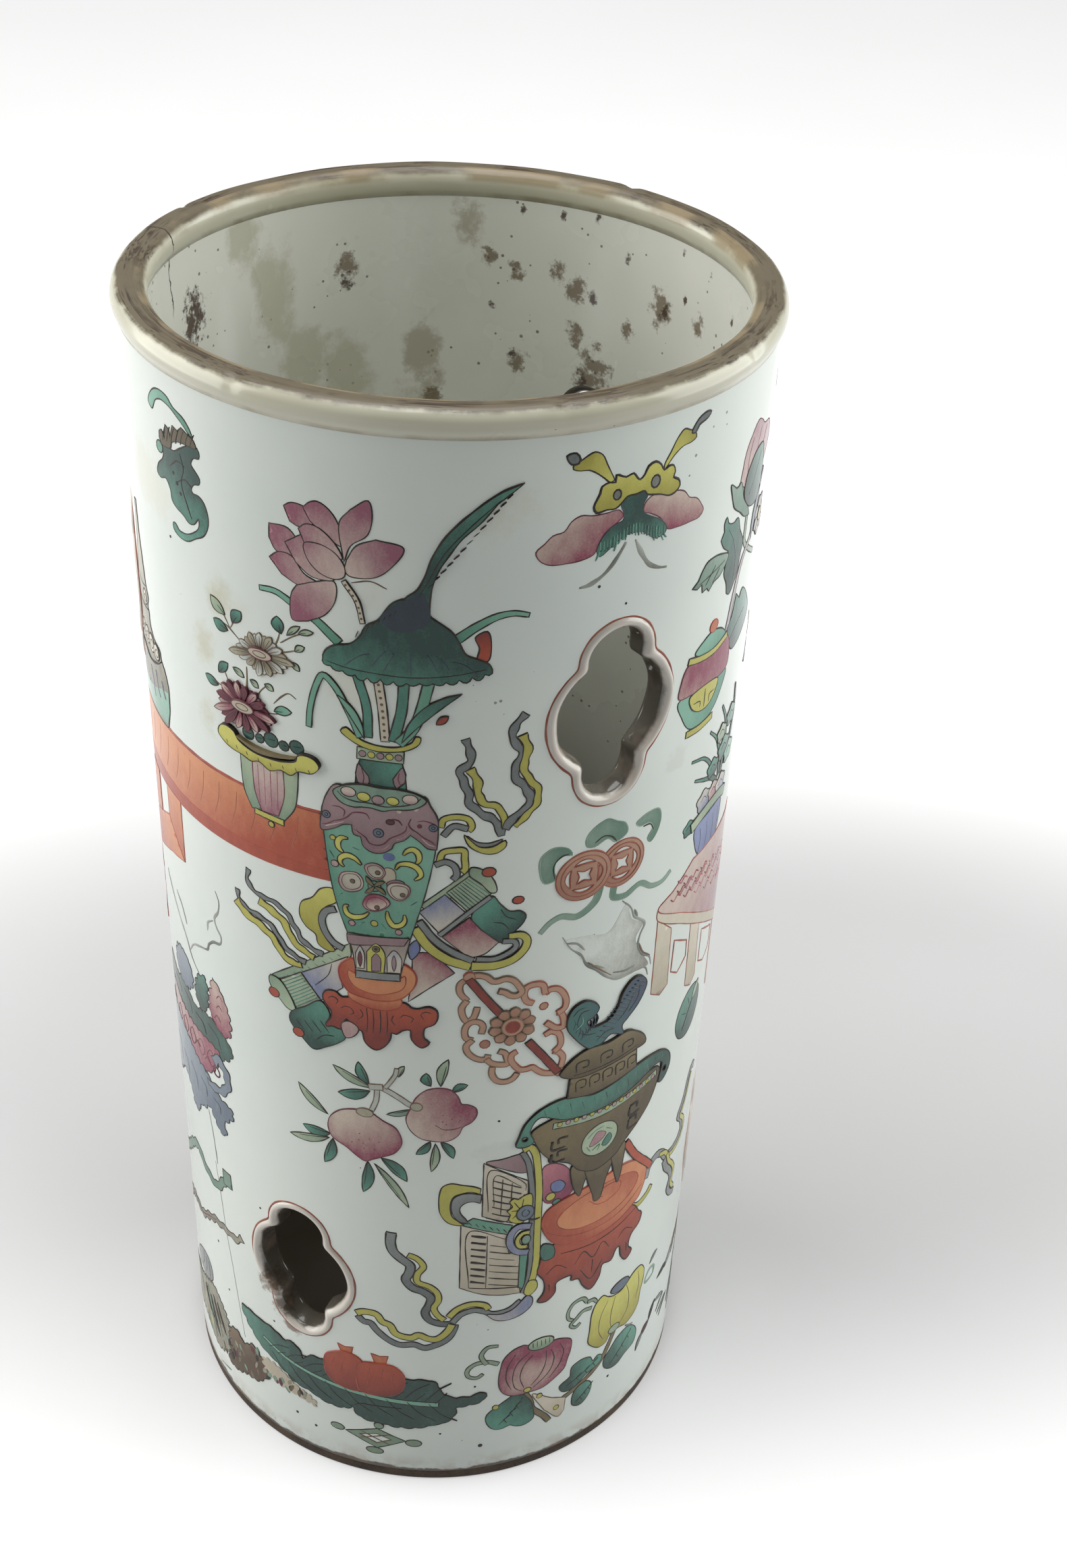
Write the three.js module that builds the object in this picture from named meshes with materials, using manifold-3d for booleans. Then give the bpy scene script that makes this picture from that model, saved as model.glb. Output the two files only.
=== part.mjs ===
// A tall cylindrical porcelain hat stand with a rolled lip and six pierced quatrefoil windows.
// The clay members are thrown or moulded apart, luted together with slip and fired as one pot.
// The frame is +Z up in millimetres, with its origin on the surface that the foot stands on.
// Azimuth 0 faces -Y, and a positive azimuth turns towards +X.
import * as THREE from "three";
import { mergeVertices } from "three/addons/utils/BufferGeometryUtils.js";
import Module from "manifold-3d";

const wasm = await Module();
wasm.setup();

// Overall pot
const potHeight = 283;
const footOuterRadius = 61.1;
const shoulderOuterRadius = 64.3;
const wallThicknessAtFoot = 6.5;
const wallThicknessAtShoulder = 5.5;

// Rolled lip
const lipHeight = 5.7;
const lipRollHeight = 2.7;
const lipOverhang = 1;
const lipInset = 0.8;
const lipCrestWidth = 2.4;

// Unglazed foot and sunk base
const footHeight = 3.2;
const footWidth = 9;
const footChamfer = 0.7;
const baseThickness = 6;
const baseClearance = 0.3;

// Quatrefoil window: a round belly with a smaller lobe above and below it
const bellyRadius = 12;
const lobeRadius = 6;
const lobeRise = 12.6;
const collarWidth = 2.7;
const collarRaise = 0.8;
const collarRounding = 1.6;
const collarClearance = 0.3;
const upperWindowDrop = 66;
const upperWindowHeight = potHeight - upperWindowDrop;
const lowerWindowHeight = 64;
const windows = [
  { name: "window_collar_upper_right", azimuth: 30.4, height: upperWindowHeight },
  { name: "window_collar_upper_back", azimuth: 148, height: upperWindowHeight },
  { name: "window_collar_upper_left", azimuth: -90, height: upperWindowHeight },
  { name: "window_collar_lower_left", azimuth: -30.4, height: lowerWindowHeight },
  { name: "window_collar_lower_right", azimuth: 90, height: lowerWindowHeight },
  { name: "window_collar_lower_back", azimuth: 210, height: lowerWindowHeight },
];

// Fineness of the round shapes
const turns = 96;
const rollSteps = 5;
const bellySteps = 12;
const lobeSteps = 10;
const weldDistance = 0.001;
const cutOverrun = 4;

const shoulderHeight = potHeight - lipHeight;
const boreRadiusAtFoot = footOuterRadius - wallThicknessAtFoot;
const boreRadiusAtShoulder = shoulderOuterRadius - wallThicknessAtShoulder;

// Radius of the wall's outer face at a height, growing evenly from foot to shoulder.
function outerRadius(z) {
  return THREE.MathUtils.mapLinear(z, 0, shoulderHeight, footOuterRadius, shoulderOuterRadius);
}

// Radius of the bore at a height.
function boreRadius(z) {
  return THREE.MathUtils.mapLinear(z, 0, shoulderHeight, boreRadiusAtFoot, boreRadiusAtShoulder);
}

const glaze = new THREE.MeshStandardMaterial({ color: 0xdfe3df, roughness: 0.12, metalness: 0 });
const wornRim = new THREE.MeshStandardMaterial({ color: 0xb5a58a, roughness: 0.35, metalness: 0 });
const collarGlaze = new THREE.MeshStandardMaterial({ color: 0xdcd6cc, roughness: 0.15, metalness: 0 });
const biscuit = new THREE.MeshStandardMaterial({ color: 0x6b5e52, roughness: 0.85, metalness: 0 });

// A closed outline of [radius, height] points turned once round the Z axis.
function turned(outline) {
  const points = [...outline, outline[0]].map(([radius, height]) => new THREE.Vector2(radius, height));
  return new THREE.LatheGeometry(points, turns).rotateX(Math.PI / 2);
}

// A three.js geometry as a solid that can be cut.
function solidOf(geometry) {
  const bare = geometry.index ? geometry.toNonIndexed() : geometry.clone();
  bare.deleteAttribute("normal");
  bare.deleteAttribute("uv");
  const merged = mergeVertices(bare, weldDistance);
  return new wasm.Manifold(
    new wasm.Mesh({
      numProp: 3,
      vertProperties: merged.attributes.position.array,
      triVerts: new Uint32Array(merged.index.array),
    }),
  );
}

// A solid as a three.js geometry.
function geometryOf(solid) {
  const mesh = solid.getMesh();
  const geometry = new THREE.BufferGeometry();
  geometry.setAttribute("position", new THREE.BufferAttribute(mesh.vertProperties, 3));
  geometry.setIndex(new THREE.BufferAttribute(mesh.triVerts, 1));
  geometry.computeVertexNormals();
  return geometry;
}

// Evenly spaced [u, v] points on an arc, without its last point.
function arcPoints(centreHeight, radius, from, to, steps) {
  return Array.from({ length: steps }, (_, i) => {
    const angle = from + ((to - from) * i) / steps;
    return [radius * Math.cos(angle), centreHeight + radius * Math.sin(angle)];
  });
}

// The window's outline grown by an offset, as [u, v] points about its centre, anticlockwise.
function quatrefoil(offset) {
  const belly = bellyRadius + offset;
  const lobe = lobeRadius + offset;
  const cuspHeight = (lobeRise ** 2 + belly ** 2 - lobe ** 2) / (2 * lobeRise);
  const cuspReach = Math.sqrt(belly ** 2 - cuspHeight ** 2);
  const bellyTurn = Math.atan2(cuspHeight, cuspReach);
  const lobeTurn = Math.atan2(cuspHeight - lobeRise, cuspReach);
  return [
    ...arcPoints(0, belly, -bellyTurn, bellyTurn, bellySteps),
    ...arcPoints(lobeRise, lobe, lobeTurn, Math.PI - lobeTurn, lobeSteps),
    ...arcPoints(0, belly, Math.PI - bellyTurn, Math.PI + bellyTurn, bellySteps),
    ...arcPoints(-lobeRise, lobe, Math.PI + lobeTurn, 2 * Math.PI - lobeTurn, lobeSteps),
  ];
}

// A window's [u, v] point bent round the pot at a radius given by its height.
function onPot(window, [u, v], radiusAt) {
  const azimuth = THREE.MathUtils.degToRad(window.azimuth) + u / outerRadius(window.height);
  const z = window.height + v;
  const radius = radiusAt(z);
  return new THREE.Vector3(radius * Math.sin(azimuth), -radius * Math.cos(azimuth), z);
}

// One closed skin through loops of equal length, each joined to the next and the last to the first.
function ringOfLoops(loops) {
  const count = loops[0].length;
  const indices = [];
  loops.forEach((_, row) => {
    const next = (row + 1) % loops.length;
    for (let i = 0; i < count; i += 1) {
      const j = (i + 1) % count;
      const [a, b, c, d] = [row * count + i, row * count + j, next * count + j, next * count + i];
      indices.push(a, b, c, a, c, d);
    }
  });
  const geometry = new THREE.BufferGeometry().setFromPoints(loops.flat());
  geometry.setIndex(indices);
  geometry.computeVertexNormals();
  return geometry;
}

// A plug of the window's outline that passes right through the wall.
function windowCutter(window, offset) {
  const outline = quatrefoil(offset);
  const insideRadius = (z) => boreRadius(z) - cutOverrun;
  const outsideRadius = (z) => outerRadius(z) + cutOverrun;
  const near = outline.map((point) => onPot(window, point, outsideRadius));
  const far = outline.map((point) => onPot(window, point, insideRadius));
  const count = outline.length;
  const nearCentre = onPot(window, [0, 0], outsideRadius);
  const farCentre = onPot(window, [0, 0], insideRadius);
  const indices = [];
  for (let i = 0; i < count; i += 1) {
    const j = (i + 1) % count;
    indices.push(i, count + j, j, i, count + i, count + j);
    indices.push(2 * count, i, j, 2 * count + 1, count + j, count + i);
  }
  const geometry = new THREE.BufferGeometry().setFromPoints([...near, ...far, nearCentre, farCentre]);
  geometry.setIndex(indices);
  return geometry;
}

// The thrown wall, standing on the foot ring and pierced for the six collars.
function makeWall() {
  let wall = solidOf(
    turned([
      [boreRadius(footHeight), footHeight],
      [outerRadius(footHeight), footHeight],
      [shoulderOuterRadius, shoulderHeight],
      [boreRadiusAtShoulder, shoulderHeight],
    ]),
  );
  for (const window of windows) {
    wall = wall.subtract(solidOf(windowCutter(window, collarWidth + collarClearance)));
  }
  return geometryOf(wall);
}

// The rolled lip: a flat worn crest between two quarter rolls, undercut to the shoulder outside.
function makeLip() {
  const outside = shoulderOuterRadius + lipOverhang;
  const inside = boreRadiusAtShoulder - lipInset;
  const crestMiddle = (outside + inside) / 2;
  const crestOutside = crestMiddle + lipCrestWidth / 2;
  const crestInside = crestMiddle - lipCrestWidth / 2;
  const rollRise = lipHeight - lipRollHeight;
  const rollLevel = shoulderHeight + lipRollHeight;
  const outline = [
    [boreRadiusAtShoulder, shoulderHeight],
    [shoulderOuterRadius, shoulderHeight],
  ];
  for (let i = 0; i <= rollSteps; i += 1) {
    const turn = (Math.PI / 2) * (i / rollSteps);
    const reach = outside - crestOutside;
    outline.push([crestOutside + reach * Math.cos(turn), rollLevel + rollRise * Math.sin(turn)]);
  }
  for (let i = rollSteps; i >= 0; i -= 1) {
    const turn = (Math.PI / 2) * (i / rollSteps);
    const reach = crestInside - inside;
    outline.push([crestInside - reach * Math.cos(turn), rollLevel + rollRise * Math.sin(turn)]);
  }
  return turned(outline);
}

// The unglazed foot ring that carries the wall and the base.
function makeFoot() {
  const inside = footOuterRadius - footWidth;
  return turned([
    [inside, 0],
    [footOuterRadius - footChamfer, 0],
    [outerRadius(footChamfer), footChamfer],
    [outerRadius(footHeight), footHeight],
    [inside, footHeight],
  ]);
}

// The base disc, lying on the foot ring inside the wall.
function makeBase() {
  const radius = boreRadius(footHeight) - baseClearance;
  return new THREE.CylinderGeometry(radius, radius, baseThickness, turns)
    .rotateX(Math.PI / 2)
    .translate(0, 0, footHeight + baseThickness / 2);
}

// A collar's section, from its outer edge over the raised bead and through the jamb to the bore.
// Each offset is a share of the collar's width, and each rise a share of its raise.
const beadShares = [
  { offset: 1, rise: 0 },
  { offset: 0.78, rise: 0.78 },
  { offset: 0.5, rise: 1 },
  { offset: 0.2, rise: 0.35 },
];
const innerEdgeShare = 0.45;

// One luted collar, lining its window from the bead outside to the bore.
function makeCollar(window) {
  const loop = (offset, radiusAt) => quatrefoil(offset).map((point) => onPot(window, point, radiusAt));
  const bead = beadShares.map(({ offset, rise }) =>
    loop(offset * collarWidth, (z) => outerRadius(z) + rise * collarRaise),
  );
  return ringOfLoops([
    ...bead,
    loop(0, (z) => outerRadius(z) - collarRounding),
    loop(0, (z) => boreRadius(z) + collarRounding),
    loop(innerEdgeShare * collarWidth, boreRadius),
    loop(collarWidth, boreRadius),
  ]);
}

// A geometry as a named piece of the pot.
function piece(name, geometry, material) {
  const mesh = new THREE.Mesh(geometry, material);
  mesh.name = name;
  return mesh;
}

const hatStand = new THREE.Group();
hatStand.add(
  piece("wall", makeWall(), glaze),
  piece("lip_ring", makeLip(), wornRim),
  piece("foot_ring", makeFoot(), biscuit),
  piece("base_disc", makeBase(), biscuit),
  ...windows.map((window) => piece(window.name, makeCollar(window), collarGlaze)),
);

export default hatStand;
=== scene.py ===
"""A tall porcelain hat stand, dressed with its glaze, its wear and its raised overglaze enamels.

The pot is a slightly flared cylinder that stands on +Z up. Sizes on it are in millimetres. A place on the
outer face is (u, z): u is measured round the pot at its mean radius, from the side that faces -Y towards
+X, and z is the height above the foot. Everything becomes metres when a mesh is made.
"""

import logging
import math
import random
from dataclasses import dataclass, field
from enum import Enum
from typing import Callable, Sequence

import bpy
import numpy as np
from mathutils import Matrix, Vector
from mathutils.geometry import delaunay_2d_cdt


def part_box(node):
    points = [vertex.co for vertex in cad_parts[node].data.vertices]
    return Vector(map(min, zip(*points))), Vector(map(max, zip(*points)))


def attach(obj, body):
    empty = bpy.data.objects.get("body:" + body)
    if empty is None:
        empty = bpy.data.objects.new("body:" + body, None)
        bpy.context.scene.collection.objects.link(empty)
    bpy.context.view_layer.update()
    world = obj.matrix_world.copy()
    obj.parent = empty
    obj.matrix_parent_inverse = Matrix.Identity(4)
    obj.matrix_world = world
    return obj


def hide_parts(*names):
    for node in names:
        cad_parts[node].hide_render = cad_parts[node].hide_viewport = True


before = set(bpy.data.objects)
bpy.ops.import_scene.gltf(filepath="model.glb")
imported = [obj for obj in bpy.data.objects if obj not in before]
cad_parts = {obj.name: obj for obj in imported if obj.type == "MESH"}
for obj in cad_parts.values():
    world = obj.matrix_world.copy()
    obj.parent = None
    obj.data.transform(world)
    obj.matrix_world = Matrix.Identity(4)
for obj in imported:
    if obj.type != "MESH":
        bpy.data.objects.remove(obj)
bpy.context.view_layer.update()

log = logging.getLogger("hat_stand")

MM = 0.001
GIRTH_RADIUS = 63.0
PHOTO_WIDTH = 1581
PHOTO_HEIGHT = 2324
TINY = 1e-6
TINY_AREA = 1e-9
LINE_WIDTH = 0.36
WINDOW_POINTS = 168

Socket = bpy.types.NodeSocket
Point = tuple[float, float]
Point3 = tuple[float, float, float]
Outline = list[Point]
Colour = tuple[float, float, float]


def linear(colour: Colour) -> tuple[float, float, float, float]:
    """Turns an sRGB colour written in 0 to 255 into the linear colour that a shader takes.

    Args:
        colour: red, green and blue.

    Returns:
        The linear colour with full alpha.
    """
    shares = [c / 255 for c in colour]
    parts = [s / 12.92 if s <= 0.04045 else ((s + 0.055) / 1.055) ** 2.4 for s in shares]
    return (parts[0], parts[1], parts[2], 1.0)


# Drawn outlines

def smooth(points: Sequence[Point], closed: bool = False, step: float = 0.8) -> Outline:
    """Samples the centripetal curve that passes through some points.

    Args:
        points: the points that the curve passes through.
        closed: whether it returns to its first point.
        step: the rough distance between samples.

    Returns:
        The sampled points. An open curve holds both ends, a closed one doesn't repeat its first point.
    """
    knots = np.array(points, float)
    if len(knots) < 3 and not closed:
        knots = np.linspace(knots[0], knots[-1], 3)
    if closed:
        padded = np.vstack([knots[-1:], knots, knots[:2]])
    else:
        padded = np.vstack([2 * knots[0] - knots[1], knots, 2 * knots[-1] - knots[-2]])
    spans = len(knots) if closed else len(knots) - 1
    sampled: list[np.ndarray] = []
    for i in range(spans):
        before, start, end, after = padded[i:i + 4]
        gaps = [max(np.linalg.norm(b - a), TINY) ** 0.5 for a, b in
                ((before, start), (start, end), (end, after))]
        chord = end - start
        leave = chord + gaps[1] * ((start - before) / gaps[0] - (end - before) / (gaps[0] + gaps[1]))
        reach = chord + gaps[1] * ((after - end) / gaps[2] - (after - start) / (gaps[1] + gaps[2]))
        count = max(1, math.ceil(np.linalg.norm(chord) / step))
        for t in np.arange(count) / count:
            sampled.append((2 * t**3 - 3 * t**2 + 1) * start + (t**3 - 2 * t**2 + t) * leave
                           + (3 * t**2 - 2 * t**3) * end + (t**3 - t**2) * reach)
    if not closed:
        sampled.append(knots[-1])
    return [(float(p[0]), float(p[1])) for p in sampled]


def loop(*runs: Sequence[Point], step: float = 0.8) -> Outline:
    """Joins runs into a closed outline with a corner at the end of each.

    Args:
        runs: lists of points. Each run starts where the one before it ended, and is smooth in itself.
        step: the rough distance between samples.

    Returns:
        The closed outline.
    """
    outline: Outline = []
    last = runs[-1][-1]
    for run in runs:
        outline += smooth([last, *run], step=step)[:-1]
        last = run[-1]
    return outline


def blob(*points: Point) -> Outline:
    """A closed outline that is smooth all round."""
    return smooth(points, closed=True)


def disc(centre: Point, radius: float, squash: float = 1.0, tilt: float = 0.0) -> Outline:
    """An ellipse.

    Args:
        centre: its centre.
        radius: half its width before it is tilted.
        squash: its height as a share of its width.
        tilt: its turn in degrees, anticlockwise.

    Returns:
        The closed outline.
    """
    count = max(10, round(2 * math.pi * radius / 0.7))
    turn = math.radians(tilt)
    points = []
    for i in range(count):
        angle = 2 * math.pi * i / count
        x, y = radius * math.cos(angle), radius * squash * math.sin(angle)
        points.append((centre[0] + x * math.cos(turn) - y * math.sin(turn),
                       centre[1] + x * math.sin(turn) + y * math.cos(turn)))
    return points


def petal(base: Point, tip: Point, width: float, bend: float = 0.0, belly: float = 0.55) -> Outline:
    """A leaf or petal with a pointed base and tip.

    Args:
        base: where it starts.
        tip: where it ends.
        width: its greatest width.
        bend: how far its middle swings to the left of the line from base to tip.
        belly: where along that line it is widest, as a share.

    Returns:
        The closed outline.
    """
    start, end = np.array(base, float), np.array(tip, float)
    axis = end - start
    side = np.array([-axis[1], axis[0]]) / max(np.linalg.norm(axis), TINY)

    def at(share: float, reach: float) -> Point:
        """The point at a share of the axis, off to the side by a reach."""
        spot = start + axis * share + side * (reach + bend * 4 * share * (1 - share))
        return (float(spot[0]), float(spot[1]))

    half = width / 2
    left = [at(belly * 0.45, half * 0.72), at(belly, half), at(belly + (1 - belly) * 0.6, half * 0.62), tip]
    right = [at(belly + (1 - belly) * 0.6, -half * 0.62), at(belly, -half), at(belly * 0.45, -half * 0.72),
             base]
    return loop(left, right, step=0.6)


def band(path: Sequence[Point], start: float, end: float | None = None, ripple: float = 0.0) -> Outline:
    """A strip along a smooth path, square at both ends.

    Args:
        path: points on its centreline.
        start: its width at the first point.
        end: its width at the last point, or None for the same.
        ripple: how far its edges swing in and out, as cloth does.

    Returns:
        The closed outline.
    """
    line = np.array(smooth(path, step=0.6), float)
    sides = normals(line)
    count = len(line)
    widths = np.linspace(start, start if end is None else end, count)[:, None] / 2
    along = np.arange(count)[:, None]
    left = line + sides * (widths + ripple * np.sin(along * 0.95 + start))
    right = line - sides * (widths + ripple * np.sin(along * 0.8 + 2.0))
    return [(float(p[0]), float(p[1])) for p in [*left, *right[::-1]]]


def hook(path: Sequence[Point], width: float) -> Outline:
    """A brush curl along a smooth path, widest in its middle and pointed at its ends.

    Args:
        path: points on its centreline.
        width: its greatest width.

    Returns:
        The closed outline.
    """
    line = np.array(smooth(path, step=0.5), float)
    swell = np.sin(np.linspace(0.14, math.pi - 0.14, len(line)))[:, None] ** 0.6 * width / 2
    sides = normals(line) * swell
    return [(float(p[0]), float(p[1])) for p in [*(line + sides), *(line - sides)[::-1]]]


def ragged(outline: Outline, depth: float, pitch: float, below: float = 1e9) -> Outline:
    """Breaks the edge of an outline into small lobes, like a crinkled leaf.

    Args:
        outline: the closed outline.
        depth: how far the lobes stand out.
        pitch: the rough width of a lobe.
        below: only points lower than this height are moved.

    Returns:
        The outline with its lobes.
    """
    even, at = evenly(turned_to(np.array(outline, float), 1), pitch=pitch / 4)
    lift = depth * (np.abs(np.sin(math.pi * at / pitch)) ** 0.7 - 0.5)
    lift *= (1 + 0.4 * np.sin(at * 0.37)) * np.clip((below - even[:, 1]) / 2, 0, 1)
    return [(float(p[0]), float(p[1])) for p in even - normals(even, closed=True) * lift[:, None]]


def evenly(outline: np.ndarray, count: int = 0, pitch: float = 1.0) -> tuple[np.ndarray, np.ndarray]:
    """Walks round a closed outline in even steps.

    Args:
        outline: the outline.
        count: how many points are wanted, or 0 for as many as the pitch asks for.
        pitch: the rough distance between points.

    Returns:
        The points, and how far along the outline each of them lies.
    """
    closed = np.vstack([outline, outline[:1]])
    lengths = np.concatenate([[0], np.cumsum(np.linalg.norm(np.diff(closed, axis=0), axis=1))])
    at = np.linspace(0, lengths[-1], count or max(12, round(lengths[-1] / pitch)), endpoint=False)
    return np.stack([np.interp(at, lengths, closed[:, axis]) for axis in (0, 1)], axis=1), at


def normals(line: np.ndarray, closed: bool = False) -> np.ndarray:
    """The left-hand unit normals at the points of a line, or of a closed outline."""
    along = np.roll(line, -1, axis=0) - np.roll(line, 1, axis=0) if closed else np.gradient(line, axis=0)
    along /= np.maximum(np.linalg.norm(along, axis=1), TINY)[:, None]
    return np.stack([-along[:, 1], along[:, 0]], axis=1)


# Finishes

class Nodes:
    """A material's node tree, built from named sockets."""

    def __init__(self, name: str) -> None:
        """Makes an empty node material."""
        self.material = bpy.data.materials.new(name)
        self.material.use_nodes = True
        self.tree = self.material.node_tree
        self.tree.nodes.clear()
        self.output = self.tree.nodes.new("ShaderNodeOutputMaterial")

    def add(self, kind: str, inputs: dict[str | int, object] | None = None,
            **settings: object) -> bpy.types.Node:
        """Adds a node.

        Args:
            kind: the node's type without ShaderNode.
            inputs: what each input takes, a socket of another node or a value.
            settings: the node's own settings.

        Returns:
            The node.
        """
        node = self.tree.nodes.new(f"ShaderNode{kind}")
        for name, value in settings.items():
            setattr(node, name, value)
        for name, value in (inputs or {}).items():
            if isinstance(value, bpy.types.NodeSocket):
                self.tree.links.new(value, node.inputs[name])
            else:
                node.inputs[name].default_value = value
        return node

    def math(self, operation: str, first: object, second: object = 0.0, clamp: bool = False) -> Socket:
        """The result of one sum on two values or sockets."""
        return self.add("Math", {0: first, 1: second}, operation=operation, use_clamp=clamp).outputs[0]

    def times(self, first: object, second: object) -> Socket:
        """The product of two values or sockets."""
        return self.math("MULTIPLY", first, second)

    def plus(self, first: object, second: object) -> Socket:
        """The sum of two values or sockets."""
        return self.math("ADD", first, second)

    def vector(self, operation: str, first: object, second: object = (0.0, 0.0, 0.0)) -> Socket:
        """The result of one sum on two vectors, a number for a length or a dot product."""
        outputs = self.add("VectorMath", {0: first, 1: second}, operation=operation).outputs
        return outputs["Value" if operation in ("LENGTH", "DOT_PRODUCT") else "Vector"]

    def place(self) -> Socket:
        """The place on the object, in metres."""
        return self.add("TexCoord").outputs["Object"]

    def height(self) -> Socket:
        """The height above the foot, in metres."""
        return self.add("SeparateXYZ", {0: self.place()}).outputs["Z"]

    def radius(self) -> Socket:
        """The distance from the pot's axis, in metres."""
        return self.vector("LENGTH", self.vector("MULTIPLY", self.place(), (1, 1, 0)))

    def noise(self, scale: float, detail: float = 3.0, rough: float = 0.55,
              stretch: Point3 = (1, 1, 1), shift: float = 0.0) -> Socket:
        """Noise in the object's own space.

        Args:
            scale: how many features lie in a metre.
            detail: its octaves.
            rough: how strong the fine octaves are.
            stretch: a factor on the coordinates along X, Y and Z.
            shift: how far the coordinates are moved, so that two noises differ.

        Returns:
            The noise's value, near 0.5.
        """
        moved = self.add("Mapping",
                         {"Vector": self.place(), "Scale": stretch, "Location": (shift, shift, shift)})
        node = self.add("TexNoise", {"Vector": moved.outputs[0], "Scale": scale, "Detail": detail,
                                     "Roughness": rough})
        return node.outputs["Fac"]

    def swing(self, noise: Socket, amount: float) -> Socket:
        """A noise turned into a swing of that amount about 0."""
        return self.times(self.math("SUBTRACT", noise, 0.5), amount)

    def ramp(self, value: object, low: float, high: float, start: float = 0.0, end: float = 1.0) -> Socket:
        """Maps a value from low..high to start..end, smoothly and clamped."""
        node = self.add("MapRange", {"Value": value, "From Min": low, "From Max": high,
                                     "To Min": start, "To Max": end}, interpolation_type="SMOOTHSTEP")
        return node.outputs[0]

    def blend(self, share: object, first: object, second: object) -> Socket:
        """Mixes two colours by a share."""
        return self.add("Mix", {"Factor": share, 6: first, 7: second}, data_type="RGBA").outputs[2]

    def bump(self, height: object, distance: float, strength: float = 1.0) -> Socket:
        """A bumped normal from a height, whose full range is a distance in metres."""
        return self.add("Bump", {"Height": height, "Distance": distance, "Strength": strength}).outputs[0]

    def finish(self, colour: object, roughness: object, normal: object = None,
               **fixed: object) -> bpy.types.Material:
        """Closes the tree with a Principled shader.

        Args:
            colour: its base colour.
            roughness: its roughness.
            normal: its bumped normal.
            fixed: the shader's other values, by the names of its sockets with _ for a space.

        Returns:
            The material.
        """
        inputs: dict[str | int, object] = {"Base Color": colour, "Roughness": roughness}
        inputs.update({name.replace("_", " "): value for name, value in fixed.items()})
        if normal is not None:
            inputs["Normal"] = normal
        shader = self.add("BsdfPrincipled", inputs)
        self.tree.links.new(shader.outputs[0], self.output.inputs["Surface"])
        return self.material


GLOSSY = {"IOR": 1.5, "Coat_Weight": 0.25, "Coat_Roughness": 0.04}
CRACK_BROWN = (48, 38, 32)


@dataclass(frozen=True)
class Stain:
    """Patches of dirt or iron stain of one colour and grain, as (azimuth, height, radius) spots."""

    spots: tuple[Point3, ...]
    strength: float
    colour: Colour
    reach: float = 58.5
    tall: float = 1.0
    grain: float = 160.0
    edge: float = 0.18

    def nearness(self, n: Nodes) -> Socket:
        """How near a place is to the closest spot, from 0 at its edge to 1 in its middle."""
        place = n.place()
        near: object = 0.0
        for azimuth, height, radius in self.spots:
            turn = math.radians(azimuth)
            centre = (self.reach * math.sin(turn) * MM, -self.reach * math.cos(turn) * MM, height * MM)
            away = n.vector("MULTIPLY", n.vector("SUBTRACT", place, centre), (1, 1, 1 / self.tall))
            near = n.math("MAXIMUM", near, n.ramp(n.vector("LENGTH", away), radius * MM, 0.0))
        return near


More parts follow.
